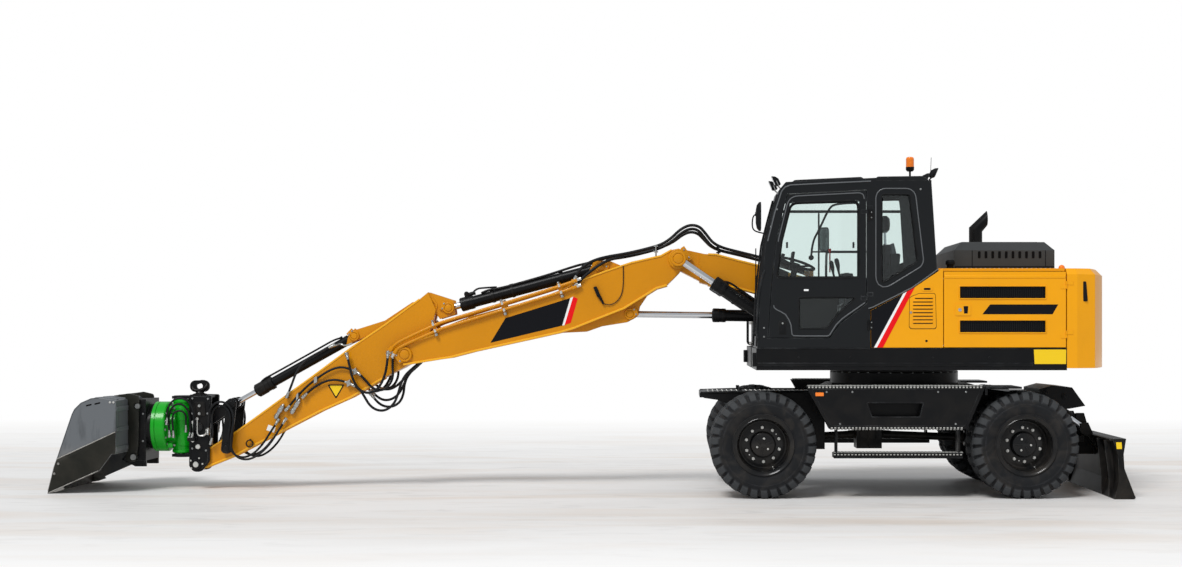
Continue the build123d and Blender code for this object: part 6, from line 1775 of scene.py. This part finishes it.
# pipe on the bucket cylinder and the bright tube beside its base
base, axis, over = cylinder_frame(BUCKET_BASE, BUCKET_EYE)
pipe_line = [tuple(base + axis * a + over * b + (0, -0.02, 0))
    for a, b in ((0.14, 0.05), (0.18, 0.074), (0.4, 0.072), (0.95, 0.072), (1.06, 0.076),
        (1.1, 0.055))]
tube("bucket_cylinder_pipe", nurbs_line("bucket_pipe", pipe_line), 0.01, cast_black,
    "bucket_barrel")
bright_line = nurbs_line("bright_tube", [(-2.44, -0.11, 1.5), (-2.5, -0.135, 1.47),
    (-2.55, -0.135, 1.5), (-2.6, -0.07, 1.48), (-2.64, -0.07, 1.478)])
tube("arm_base_tube", bright_line, 0.01, zinc, "stick")

# hose clamps, couplings, tag, hose guide and rib on the arm
for number, (x, z, angle) in enumerate(((-2.4, 1.212, 0.5), (-2.462, 1.093, 0.5),
        (-2.802, 1.125, 0.5), (-2.99, 0.955, 0.9))):
    along = np.array([math.cos(angle), 0, math.sin(angle)])
    middle = np.array([x, -0.15, z])
    finish_piece(f"arm_hose_clamp_{number}",
        *capped_grid([[middle - along * 0.02 + (0, dy, 0) + np.array([0, 0, -0.032]),
        middle + along * 0.02 + (0, dy, 0) + np.array([0, 0, -0.032]), middle + along * 0.02
        + (0, dy, 0) + np.array([0, 0, 0.032]), middle - along * 0.02 + (0, dy, 0)
        + np.array([0, 0, 0.032])] for dy in (0.0225, -0.026)]), zinc, "stick", soften=0.006)
for number, (x, z) in enumerate(((-3.012, 0.851), (-3.178, 0.8))):
    for corner, side in SIDES:
        name = f"coupling_{number}_{corner}"
        start = np.array([x + 0.045, side * 0.15, z + 0.075])
        end = np.array([x - 0.045, side * 0.152, z - 0.075])
        finish_piece(name, *bar_shape(start, end, 1.0, 24, ((0, 0.012), (0.1, 0.017), (0.12, 0.023),
            (0.3, 0.023), (0.32, 0.026), (0.5, 0.026), (0.52, 0.021), (0.7, 0.021), (0.72, 0.025),
            (0.9, 0.025), (1.0, 0.012))), zinc, "stick", sharp=40)
        finish_piece(name + "_foot", *box_shape((x - 0.02, side * 0.127, z - 0.016),
            (x + 0.02, side * 0.14, z + 0.016)), shaded_boom_paint, "stick", soften=0.003)
sticker("arm_tag", [(-3.318, 0.606), (-3.296, 0.664), (-3.222, 0.634), (-3.24, 0.582)], decal_white,
    "stick", -ARM_HALF, 0.0012)
for corner, side in SIDES:
    rib = [(-1.65, 2.022), (-1.56, 1.915), (-1.553, 1.884), (-1.6, 1.765), (-1.618, 1.77),
        (-1.575, 1.884), (-1.58, 1.905), (-1.664, 2.008)]
    finish_piece(f"arm_ear_rib_{corner}", *prism(rib, side * 0.094, side * 0.104), shaded_boom_paint,
        "stick", soften=0.002)
    guide = turned([(-0.012, 0.03), (0.012, 0.03), (0.012, 0.04), (-0.012, 0.04)],
        (-3.48, side * 0.168, 0.47), "Y", 28, ring=True)
    Shell().add(*guide).add(*bar_shape((-3.48, side * 0.127, 0.51), (-3.48, side * 0.168, 0.508),
        0.008, 10)).finish(f"hose_guide_{corner}", black_paint, "stick")

# sensor box on the front boom with its thin cable, and a clamp over the knee hoses
finish_piece("sensor_box",
    *prism(rounded([(0.056, 2.082), (0.092, 2.088), (0.135, 1.99), (0.1, 1.975)], 0.008, 4), -0.196,
    -0.16), dark_plastic, "upper_boom", soften=0.004)
finish_piece("sensor_plug", *bar_shape((0.122, -0.18, 1.985), (0.165, -0.18, 1.905), 1.0, 16,
    ((0, 0.016), (0.3, 0.016), (0.35, 0.012), (0.8, 0.012), (1, 0.009))), dark_plastic,
    "upper_boom")
cable = nurbs_line("sensor_cable", [(0.16, -0.176, 1.915), (0.21, -0.172, 1.89),
    (0.29, -0.17, 1.92), (0.345, -0.169, 1.99), (0.365, -0.169, 2.08), (0.368, -0.169, 2.2),
    (0.365, -0.169, 2.3)])
tube("sensor_cable", cable, 0.0045, hose_rubber, "upper_boom", 8)
for number, (x, z, body) in enumerate(((0.7, 2.478, "upper_boom"), (1.349, 2.47, "lower_boom"),
        (1.9, 2.33, "lower_boom"))):
    clamp = Shell()
    clamp.add(*box_shape((x - 0.022, -0.088, z - 0.03), (x + 0.022, 0.088, z - 0.02)))
    clamp.add(*box_shape((x - 0.022, -0.088, z + 0.024), (x + 0.022, 0.088, z + 0.034)))
    for y in (-0.084, 0.084):
        clamp.add(*bar_shape((x, y, z - 0.1), (x, y, z + 0.044), 0.007, 8))
    clamp.finish(f"knee_hose_clamp_{number}", zinc if number == 0 else black_paint, body,
        soften=0.002)


# ---------------------------------------------------------------- undercarriage
SLEW_X, STEP_BOX_FACE = 3.17, 1.241
for corner, side in SIDES:
    y = side * STEP_BOX_FACE
    # punched tread strips on the step boxes' tops and along their lower edge
    for level, z, x_low, x_high in (("top", 1.095, 2.2, 3.885), ("low", 0.68, 2.42, 3.71),
            ("step", 0.445, 2.45, 3.68)):
        teeth = Shell()
        spots = np.arange(x_low, x_high, 0.034)
        tooth = prism([(-0.011, -0.002), (-0.008, 0.01), (0.008, 0.01), (0.011, -0.002)], 0.0, 0.03)
        rows = (0.235, 0.2, 0.165, 0.13) if level != "low" else (0.235,)
        tooth_z = z if level != "low" else z - 0.006
        edge = 1.0 if level != "step" else 0.98
        for number, row in enumerate(rows):
            shift = 0.017 * (number % 2)
            place = side * (edge + row) - (0.03 if side > 0 else 0.0)
            teeth.add(*placed(tooth, side_ring([(x, tooth_z) for x in spots + shift], place)))
        lip = prism([(-0.009, -0.007), (-0.009, 0.007), (0.009, 0.007), (0.009, -0.007)], -0.003,
            0.003)
        face_y, down = (1.2255, 0.012) if level == "step" else (1.2455, 0.01)
        up = 0.012 if level == "low" else -down
        teeth.add(*placed(lip, side_ring([(x, z + up) for x in spots], side * face_y)))
        teeth.finish(f"tread_{level}_{corner}", tread_steel, "chassis")
    # frame lines of the step box, its foot hole's rim and bolts
    box_face = shrunk([(2.17, 1.095), (3.91, 1.095), (3.73, 0.68), (2.4, 0.68)], 0.03)
    side_bead(f"step_box_press_{corner}", rounded(box_face, 0.02, 4), y, 0.0075, black_paint,
        "chassis")
    hole = [(2.76, 0.936), (3.31, 0.936), (3.275, 0.795), (2.81, 0.795)]
    side_bead(f"foot_hole_rim_{corner}", rounded(hole, 0.012, 4), y, 0.008, black_paint, "chassis")
    screws(f"step_box_bolts_{corner}", [(2.37, 1.04), (2.62, 1.04), (3.45, 1.04), (3.72, 1.04),
        (2.5, 0.73), (3.62, 0.73)], y, "chassis", 0.011, 0.008)
    # lower step: rims and the struts it hangs on
    rim = Shell()
    for z in (0.402, 0.443):
        rim.add(*carried(circle(0.007, 8), [(2.442, side * 1.226, z), (3.0, side * 1.226, z),
            (3.688, side * 1.226, z)]))
    for x in (2.47, 3.66):
        rim.add(*bar_shape((x, side * 1.13, 0.44), (x, side * 1.13, 0.685), 0.016, 12))
    rim.finish(f"lower_step_rims_{corner}", black_paint, "chassis")
    # reflector on the step box's end
    sticker(f"amber_reflector_{corner}", [(2.262, 1.0), (2.262, 1.035), (2.342, 1.035),
        (2.342, 1.0)], amber, "chassis", y, 0.006, 0.006)
    # yellow reflector on the blade's end
    sticker(f"blade_reflector_{corner}", [(5.178, 0.488), (5.172, 0.553), (5.226, 0.553),
        (5.23, 0.488)], decal_yellow, "blade", side * 1.25, 0.0004)
finish_piece("blade_edge_bolts", *placed(hexagon_head(0.013, 0.009, "X", 1),
    [(5.3335, y, 0.092) for y in np.linspace(-1.16, 1.16, 13)]), bolt_steel, "blade")
finish_piece("blade_wear_edge", *prism([(5.286, 0.219), (5.3545, 0.036), (5.3625, 0.034),
    (5.362, 0.012), (5.346, 0.006), (5.28, 0.2)], -1.246, 1.246), worn_edge, "blade", soften=0.002)
ribs = Shell()
for y in (-1.05, -0.75, 0.75, 1.05):
    ribs.add(*prism([(5.145, 0.57), (5.195, 0.43), (5.203, 0.17), (5.168, 0.01), (5.15, 0.01),
        (5.15, 0.18), (5.12, 0.43), (5.1, 0.56)], y - 0.01, y + 0.01))
ribs.add(*box_shape((5.12, -1.22, 0.565), (5.2, 1.22, 0.585)))
ribs.finish("blade_back_ribs", blade_paint, "blade", soften=0.002)

for corner, side in SIDES:
    for label, x, z, r, y, body in (
            ("blade_low_pin", 4.69, 0.47, 0.036, 0.2225, "chassis"),
            ("blade_high_pin", 4.69, 0.79, 0.036, 0.2225, "chassis"),
            ("blade_low_end", 5.06, 0.42, 0.036, 0.2305, "blade"),
            ("blade_high_end", 5.06, 0.74, 0.036, 0.2305, "blade"),
            ("guard_boss_high", 4.66, 1.0, 0.03, 0.425, "chassis"),
            ("guard_boss_low", 4.85, 0.968, 0.03, 0.425, "chassis")):
        boss(f"{label}_{corner}", (x, z), side * y, r, body, 0.012, black_paint)
    # hinge tube of the fender over the rear wheel and its brace
    brace = Shell()
    brace.add(*bar_shape((3.93, side * 0.55, 1.04), (4.56, side * 0.55, 0.96), 0.022, 12))
    brace.add(*box_shape((3.905, side * 0.7, 1.0695), (4.255, side * 1.23, 1.0705)))
    brace.finish(f"rear_fender_brace_{corner}", black_paint, "chassis")
    tube(f"rear_fender_rim_{corner}", [(3.915, side * 1.236, 1.08), (4.1, side * 1.236, 1.08),
        (4.262, side * 1.236, 1.08)], 0.01, black_paint, "chassis", 8)

# front platform between the steered wheels: two bars, uprights and a tread plate
platform = Shell()
for z in (0.962, 1.001):
    platform.add(*carried(circle(0.013, 10), [(1.16, -0.415, z), (1.16, 0.0, z), (1.16, 0.415, z)]))
for side in (-1, 1):
    platform.add(*carried(circle(0.013, 10), [(1.16, side * 0.415, 1.001),
        (1.5, side * 0.421, 1.012), (2.3, side * 0.421, 1.012)]))
    platform.add(*bar_shape((1.56, side * 0.4, 1.0), (1.56, side * 0.4, 1.055), 0.018, 12))
platform.finish("front_platform_rails", black_paint, "chassis")
stud = turned([(-0.002, 0.0), (-0.002, 0.01), (0.005, 0.006), (0.005, 0.0)], (0, 0, 0), "Z", 8)
finish_piece("front_platform_studs", *placed(stud, grid_spots(np.arange(1.24, 2.28, 0.05),
    np.arange(-0.37, 0.38, 0.05), 1.01)), tread_steel, "chassis")

# slew ring: its bolts and the rim over the gear
finish_piece("slew_ring_bolts", *placed(hexagon_head(0.012, 0.012, "Z", 1),
    ring_spots((SLEW_X, 0, 1.2065), 0.648, 36, "Z")), bolt_steel, "chassis")
finish_piece("slew_ring_rim", *turned([(1.212, 0.6), (1.212, 0.652), (1.226, 0.656), (1.24, 0.652),
    (1.252, 0.645), (1.252, 0.6)], (SLEW_X, 0, 0), "Z", 96, ring=True), cast_black, "house")

# axle flanges and bolts, steering cylinder, shaft joints and the gearbox's ribs
for label, x in (("front", FRONT_AXLE_X), ("rear", REAR_AXLE_X)):
    cover = Shell()
    for y in (-0.32, 0.32):
        cover.add(*bar_shape((x, y - 0.012, TYRE_R), (x, y + 0.012, TYRE_R), 0.13, 36))
    cover.add(*turned([(-0.01, 0.1), (-0.01, 0.205), (0.01, 0.205), (0.01, 0.1)], (x, 0, TYRE_R),
        "X", 48, ring=True))
    cover.finish(f"{label}_axle_flanges", cast_black, "chassis")
    finish_piece(f"{label}_axle_bolts", *placed(hexagon_head(0.01, 0.01, "X", 1),
        ring_spots((x + 0.008, 0, TYRE_R), 0.196, 12, "X")), bolt_steel, "chassis")
tie = Shell()
tie.add(*bar_shape((1.56, -0.34, 0.56), (1.56, 0.34, 0.56), 0.034, 24))
tie.add(*bar_shape((1.56, -0.46, 0.56), (1.56, 0.46, 0.56), 0.017, 16))
tie.add(*box_shape((1.555, -0.1, 0.53), (1.68, 0.1, 0.59)))
tie.finish("steering_cylinder", cast_black, "chassis", sharp=40)
for label, ends in (("front", ((2.126, 0.525), (2.78, 0.56))),
        ("rear", ((3.02, 0.56), (3.894, 0.525)))):
    start, end = (np.array([x, 0, z]) for x, z in ends)
    finish_piece(f"{label}_shaft_joints", *bar_shape(start, end, 1.0, 24,
        ((0.0, 0.052), (0.03, 0.052), (0.04, 0.043), (0.12, 0.043), (0.14, 0.039), (0.86, 0.039),
        (0.88, 0.043), (0.96, 0.043), (0.97, 0.052), (1.0, 0.052))), cast_black, "chassis",
        sharp=30)
gearbox = Shell()
for x in (2.8, 2.88, 2.96):
    gearbox.add(*box_shape((x, -0.158, 0.43), (x + 0.014, 0.158, 0.735)))
gearbox.finish("transfer_box_ribs", cast_black, "chassis", soften=0.003)


# ---------------------------------------------------------------- hitch, rotator and bucket
TILT_X, ROTOR_Z = -4.215, 0.64
for corner, side in SIDES:
    y = side * 0.165
    # raised frame and bolts on the hitch's side plates
    outline = shrunk([(-4.104, 0.973), (-3.875, 0.967), (-3.891, 0.495), (-3.895, 0.285),
        (-3.98, 0.18), (-4.06, 0.18), (-4.104, 0.24)], 0.018)
    side_bead(f"hitch_plate_edge_{corner}", rounded(outline, 0.02, 4), y, 0.005, black_paint,
        "hitch")
    screws(f"hitch_bolts_{corner}", [(-4.07, 0.935), (-3.91, 0.93), (-4.07, 0.78), (-3.915, 0.78),
        (-4.07, 0.42), (-3.93, 0.4)], y, "hitch", 0.012, 0.009)
    # adapters that the hoses screw to, and steel tubes between them
    adapters = Shell()
    for x, z in ((-3.902, 0.575), (-3.872, 0.47), (-3.995, 0.86), (-3.995, 0.78)):
        adapters.add(*bar_shape((x, y - side * 0.002, z), (x, y + side * 0.022, z), 0.016, 6))
        adapters.add(*bar_shape((x, y + side * 0.02, z), (x, y + side * 0.034, z), 0.011, 12))
    for x in (-4.06, -4.092):
        adapters.add(*bar_shape((x, side * 0.222, 0.52), (x, side * 0.222, 0.548), 0.015, 6))
    adapters.finish(f"hitch_adapters_{corner}", zinc, "hitch")
    tubes = Shell()
    for route in (
            [(-4.062, 0.69), (-4.062, 0.6), (-4.062, 0.5)],
            [(-4.018, 0.725), (-4.018, 0.64), (-4.018, 0.56), (-3.975, 0.548), (-3.935, 0.556),
                (-3.912, 0.61)]):
        line = nurbs_line("tube", [(x, y + side * 0.013, z) for x, z in route])
        tubes.add(*carried(circle(0.0095, 10), line))
        for end in (line[0], line[-1]):
            tubes.add(*bar_shape(end - (0, side * 0.016, 0), end + (0, side * 0.012, 0), 0.017, 6))
    tubes.finish(f"hitch_tubes_{corner}", nut_steel, "hitch", sharp=50)
    cover = rounded([(-4.06, 0.74), (-4.06, 0.9), (-3.94, 0.9), (-3.93, 0.76)], 0.02, 4)
    finish_piece(f"hitch_cover_{corner}", *prism(cover, y - side * 0.001, y + side * 0.008),
        cast_black, "hitch", soften=0.003)
# lifting eye: a thick ring over the eye plate and its base
turn = np.linspace(0, 2 * np.pi, 48, endpoint=False)
oval = np.stack([0.074 * np.cos(turn), 0.02 * np.sin(turn), 0.043 * np.sin(turn)], axis=1)
oval = np.stack([oval[:, 0] - 0.12 * oval[:, 2], oval[:, 1], oval[:, 2] + 0.22 * oval[:, 0]],
    axis=1) + (-4.037, 0, 1.057)
finish_piece("lifting_eye_ring", *closed_bead(oval, 0.0185, (0, 1, 0), 14), cast_black, "hitch",
    sharp=60)
finish_piece("lifting_eye_foot", *turned([(0.958, 0.0), (0.958, 0.075), (0.975, 0.075),
    (0.985, 0.045), (1.004, 0.036), (1.006, 0.0)], (-4.037, 0, 0), "Z", 32), cast_black, "hitch")

# tilting head: green vane housing with bands, end caps, bolts and lobes
finish_piece("tilt_housing", *turned([(0.366, 0.0), (0.366, 0.094), (0.378, 0.105), (0.4, 0.105),
    (0.404, 0.098), (0.44, 0.098), (0.445, 0.1045), (0.56, 0.1045), (0.566, 0.1), (0.7, 0.1),
    (0.706, 0.1045), (0.84, 0.1045), (0.846, 0.098), (0.886, 0.098), (0.89, 0.105), (0.912, 0.105),
    (0.922, 0.094), (0.922, 0.0)], (TILT_X, 0, 0), "Z", 56), rotator_green, "tilt_head", sharp=30)
piece = finish_piece("rotor_housing", *turned([(-4.484, 0.0), (-4.484, 0.246), (-4.478, 0.2575),
    (-4.446, 0.2575), (-4.442, 0.25), (-4.436, 0.25), (-4.432, 0.2575), (-4.352, 0.2575),
    (-4.34, 0.248), (-4.336, 0.196), (-4.324, 0.184), (-4.258, 0.181), (-4.25, 0.17), (-4.25, 0.0)],
    (0, 0, ROTOR_Z), "X", 72), rotator_green, "tilt_head", sharp=30)
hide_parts("tilt_rotator")
finish_piece("rotor_bolts", *placed(hexagon_head(0.012, 0.012, "X", 1),
    ring_spots((-4.34, 0, ROTOR_Z), 0.222, 16, "X", 0.1)), bolt_steel, "tilt_head")
lobes, studs = Shell(), Shell()
for z in (0.452, 0.828):
    for y in (-0.13, 0.13):
        lobes.add(*bar_shape((-4.282, y, z), (-4.33, y * 1.05, z), 0.03, 20))
        studs.add(*bar_shape((-4.255, y, z), (-4.275, y, z), 0.014, 6))
lobes.add(*bar_shape((-4.3, -0.192, ROTOR_Z), (-4.3, 0.192, ROTOR_Z), 0.034, 24))
lobes.finish("rotor_lobes", rotator_green, "tilt_head", sharp=40)
studs.finish("lobe_studs", bolt_steel, "tilt_head")
for z, up in ((0.366, -1), (0.9225, 1)):
    level = "top" if up > 0 else "under"
    finish_piece(f"tilt_cap_bolts_{level}", *placed(hexagon_head(0.009, 0.007, "Z", up),
        ring_spots((TILT_X, 0, z), 0.075, 8, "Z")), bolt_steel, "tilt_head")
    finish_piece(f"tilt_cap_{level}", *turned([(0, 0), (0, 0.036), (up * 0.006, 0.032),
        (up * 0.006, 0)], (TILT_X, 0, z), "Z", 28), bolt_steel, "tilt_head")
fork = Shell()
for z in (0.329, 0.957):
    fork.add(*turned([(-0.003, 0.0), (-0.003, 0.098), (0.003, 0.098), (0.003, 0.0)], (-4.205, 0, z),
        "Z", 40))
fork.finish("fork_discs", black_paint, "hitch")

# coupler: rotating plate, and each cheek's frame, pins, bolts and stubs
finish_piece("coupler_plate", *turned([(-4.4915, 0.0), (-4.4915, 0.224), (-4.498, 0.231),
    (-4.524, 0.231), (-4.53, 0.224), (-4.53, 0.0)], (0, 0, ROTOR_Z), "X", 64), black_paint, "tool",
    sharp=30)
for corner, side in SIDES:
    y = side * 0.225
    outline = shrunk([(-4.64, 0.93), (-4.7, 0.93), (-4.7, 0.4), (-4.78, 0.311), (-4.64, 0.24),
        (-4.53, 0.24), (-4.53, 0.93)], 0.016)
    side_bead(f"coupler_edge_{corner}", rounded(outline, 0.012, 4), y, 0.006, black_paint, "tool")
    for number, (x, z, r) in enumerate(((-4.615, 0.86, 0.04), (-4.655, 0.345, 0.044))):
        boss(f"coupler_pin_{number}_{corner}", (x, z), y, r, "tool", 0.022, cast_black)
    screws(f"coupler_bolts_{corner}", [(-4.56, 0.78), (-4.66, 0.72), (-4.56, 0.5), (-4.66, 0.5)], y,
        "tool", 0.012, 0.009)
    bar = Shell()
    bar.add(*bar_shape((-4.64, side * 0.2, 0.34), (-4.64, side * 0.3, 0.34), 0.03, 20))
    bar.add(*bar_shape((-4.6, side * 0.2, 0.86), (-4.6, side * 0.29, 0.86), 0.026, 20))
    bar.finish(f"coupler_stub_{corner}", bolt_steel, "tool", sharp=40)

# bucket: seams, side cutters, cheeks, lip, ribs, hanger ears and pins
BUCKET_HALF = 0.65
OUTER = np.array([(-5.39, 0.0), (-5.322, 0.268), (-5.29, 0.357), (-5.143, 0.792), (-5.118, 0.843),
    (-5.054, 0.906), (-4.951, 0.951), (-4.874, 0.957), (-4.706, 0.932), (-4.706, 0.395),
    (-4.747, 0.395), (-4.874, 0.223)])
for corner, side in SIDES:
    seam = np.vstack([[(-5.383, 0.024)], OUTER[1:8]])
    edge = side_ring(seam, side * (BUCKET_HALF - 0.004))
    finish_piece(f"bucket_seam_{corner}", *carried([(-0.004, -0.006), (0.004, -0.006),
        (0.004, 0.006), (-0.004, 0.006)], edge), bucket_steel, "tool", soften=0.002)
    cutter = [(-5.386, 0.004), (-5.318, 0.27), (-5.29, 0.35), (-5.235, 0.35), (-5.262, 0.27),
        (-5.262, 0.12), (-5.22, 0.045), (-5.3, 0.018)]
    finish_piece(f"side_cutter_{corner}", *prism(cutter, side * 0.63, side * CUTTER_FACE),
        worn_edge, "tool", soften=0.002)
    cheek = [(-5.386, 0.004), (-5.322, 0.268), (-5.298, 0.342), (-4.708, 0.615), (-4.708, 0.397),
        (-4.748, 0.397), (-4.876, 0.226)]
    finish_piece(f"bucket_cheek_{corner}", *prism(cheek, side * 0.64, side * 0.653), bucket_dark,
        "tool", soften=0.0015)
    seam = side_ring(np.array([(-5.298, 0.345), (-5.0, 0.483), (-4.709, 0.618)]), side * 0.651)
    tube(f"cheek_seam_{corner}", seam, 0.0065, worn_edge, "tool", 8)
    low = side_ring(np.array([(-5.376, 0.009), (-5.1, 0.131), (-4.878, 0.229)]), side * 0.652)
    tube(f"cheek_edge_{corner}", low, 0.0055, worn_edge, "tool", 8)
    # slots on the bucket's top as black plates: painted shade of the openings
    for number, (x, z) in enumerate(((-4.976, 0.888), (-4.89, 0.905))):
        slot = rounded([(x - 0.03, z - 0.016), (x - 0.026, z), (x + 0.03, z + 0.014),
            (x + 0.028, z - 0.002)], 0.005, 3)
        finish_piece(f"bucket_slot_{number}_{corner}", *prism(slot, side * 0.648, side * 0.6512),
            shade_and_lens_black, "tool")
    screws(f"bucket_top_bolts_{corner}", [(-4.762, 0.915), (-4.728, 0.915)], side * CUTTER_FACE,
        "tool", 0.013, 0.008, nut_steel)
    screws(f"bucket_side_bolts_{corner}", [(-5.32, 0.2), (-5.28, 0.3)], side * CUTTER_FACE,
        "tool", 0.014, 0.01, worn_edge)
finish_piece("bucket_lip", *prism([(-5.3895, 0.0), (-5.336, 0.2), (-5.32, 0.196), (-5.3765, 0.0)],
    -0.648, 0.648), worn_edge, "tool", soften=0.001)
top_ribs = Shell()
for y in (-0.5, -0.25, 0.25, 0.5):
    rib = np.array([(-5.29, 0.357), (-5.143, 0.792), (-5.118, 0.843), (-5.054, 0.906),
        (-4.951, 0.951), (-4.874, 0.957), (-4.73, 0.936)])
    top_ribs.add(*carried([(-0.02, -0.01), (0.02, -0.01), (0.016, 0.01), (-0.016, 0.01)],
        side_ring(rib, y)))
top_ribs.finish("bucket_top_ribs", bucket_steel, "tool", soften=0.002)
for corner, side in SIDES:
    ear = rounded([(-4.59, 0.965), (-4.7, 0.99), (-4.9, 0.962), (-4.79, 0.905), (-4.708, 0.78),
        (-4.7, 0.46), (-4.735, 0.32), (-4.69, 0.285), (-4.625, 0.29), (-4.6, 0.46)], 0.03, 4)
    finish_piece(f"hanger_ear_{corner}", *prism(ear, side * 0.236, side * 0.262), bucket_dark,
        "tool", soften=0.003)
cross = Shell()
cross.add(*bar_shape((-4.655, -0.262, 0.345), (-4.655, 0.262, 0.345), 0.03, 24))
cross.add(*bar_shape((-4.615, -0.262, 0.86), (-4.615, 0.262, 0.86), 0.03, 24))
cross.finish("hanger_pins", bolt_steel, "tool", sharp=40)
back = Shell()
for z0, z1 in ((0.42, 0.47), (0.62, 0.66), (0.82, 0.87)):
    back.add(*box_shape((-4.712, -0.64, z0), (-4.699, 0.64, z1)))
back.finish("bucket_back_bands", bucket_steel, "tool", soften=0.003)


# ---------------------------------------------------------------- floor, light and camera
def floor_finish():
    """Pale concrete with faint mottling, which fades to white away from the machine."""
    made = Finish("floor_finish", (0.8, 0.79, 0.78, 1.0), 0.55)
    made.lay(made.times(made.span(made.noise(0.9, 9.0, (0.35, 1.4, 1), 0.7), 0.45, 0.7), 0.35),
        (0.62, 0.6, 0.58, 1.0), 0.4)
    made.lay(made.times(made.span(made.noise(0.6, 9.0, (0.3, 1.6, 1), 1.2), 0.48, 0.7), 0.45),
        (0.68, 0.56, 0.45, 1.0), 0.4)
    made.lay(made.times(made.span(made.noise(3.0, 10.0, (0.4, 1.2, 1), 1.5), 0.55, 0.68), 0.16),
        (0.36, 0.34, 0.32, 1.0), 0.5)
    made.bump(made.noise(30.0, 6.0), 0.002, 0.1)
    material = made.done()
    nodes, links = made.nodes, made.links
    seen = nodes.new("ShaderNodeLightPath")
    white = nodes.new("ShaderNodeEmission")
    white.inputs["Strength"].default_value = 1.0
    parts = nodes.new("ShaderNodeSeparateXYZ")
    links.new(made.place, parts.inputs[0])
    near = made.span(parts.outputs[1], -7.0, -3.2, 1.0, 0.0)
    far = made.span(parts.outputs[1], 3.0, 14.0, 0.0, 1.0)
    rays = made.times(seen.outputs["Is Camera Ray"], seen.outputs["Is Glossy Ray"], "MAXIMUM")
    rays = made.times(rays, seen.outputs["Is Transmission Ray"], "MAXIMUM")
    amount = made.times(made.times(near, far, "MAXIMUM"), rays)
    mix = nodes.new("ShaderNodeMixShader")
    links.new(amount, mix.inputs[0])
    links.new(made.shader.outputs[0], mix.inputs[1])
    links.new(white.outputs[0], mix.inputs[2])
    links.new(mix.outputs[0], nodes["Material Output"].inputs["Surface"])
    return material


floor_mesh = bpy.data.meshes.new("floor")
floor_mesh.from_pydata([(-60, -40, 0), (60, -40, 0), (60, 80, 0), (-60, 80, 0)], [], [(0, 1, 2, 3)])
floor_mesh.materials.append(floor_finish())
floor_piece = bpy.data.objects.new("floor", floor_mesh)
bpy.context.scene.collection.objects.link(floor_piece)
floor_piece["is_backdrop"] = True

world = bpy.data.worlds.new("soft_sky")
world.use_nodes = True
bpy.context.scene.world = world
sky_nodes, sky_links = world.node_tree.nodes, world.node_tree.links
sky = sky_nodes["Background"]
sky.inputs["Color"].default_value = (0.96, 0.98, 1.0, 1.0)
sky.inputs["Strength"].default_value = 0.56
white_sky = sky_nodes.new("ShaderNodeBackground")
white_sky.inputs["Color"].default_value = (1, 1, 1, 1)
path_of_light = sky_nodes.new("ShaderNodeLightPath")
either = sky_nodes.new("ShaderNodeMath")
either.operation = "MAXIMUM"
sky_links.new(path_of_light.outputs["Is Camera Ray"], either.inputs[0])
sky_links.new(path_of_light.outputs["Is Transmission Ray"], either.inputs[1])
choice = sky_nodes.new("ShaderNodeMixShader")
sky_links.new(either.outputs[0], choice.inputs[0])
sky_links.new(sky.outputs[0], choice.inputs[1])
sky_links.new(white_sky.outputs[0], choice.inputs[2])
sky_links.new(choice.outputs[0], sky_nodes["World Output"].inputs["Surface"])


def lamp(name, kind, strength, location, rotation, **sizes):
    data = bpy.data.lights.new(name, kind)
    data.energy = strength
    for key, value in sizes.items():
        setattr(data, key, value)
    light = bpy.data.objects.new(name, data)
    light.location = location
    light.rotation_euler = [math.radians(value) for value in rotation]
    bpy.context.scene.collection.objects.link(light)


lamp("high_sun", "SUN", 2.15, (0, 0, 10), (40, 0, -28), angle=math.radians(20))

camera_data = bpy.data.cameras.new("camera")
camera_data.sensor_width = 36.0
camera_data.lens = 53.79
camera_data.shift_x = -0.0753
camera_data.shift_y = 0.0385
camera_data.clip_end = 200.0
camera = bpy.data.objects.new("camera", camera_data)
camera.location = (0.95, -18.35, 1.65)
camera.rotation_euler = (math.radians(90), 0, 0)
bpy.context.scene.collection.objects.link(camera)
bpy.context.scene.camera = camera
bpy.context.scene.view_settings.view_transform = "Standard"

low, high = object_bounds()
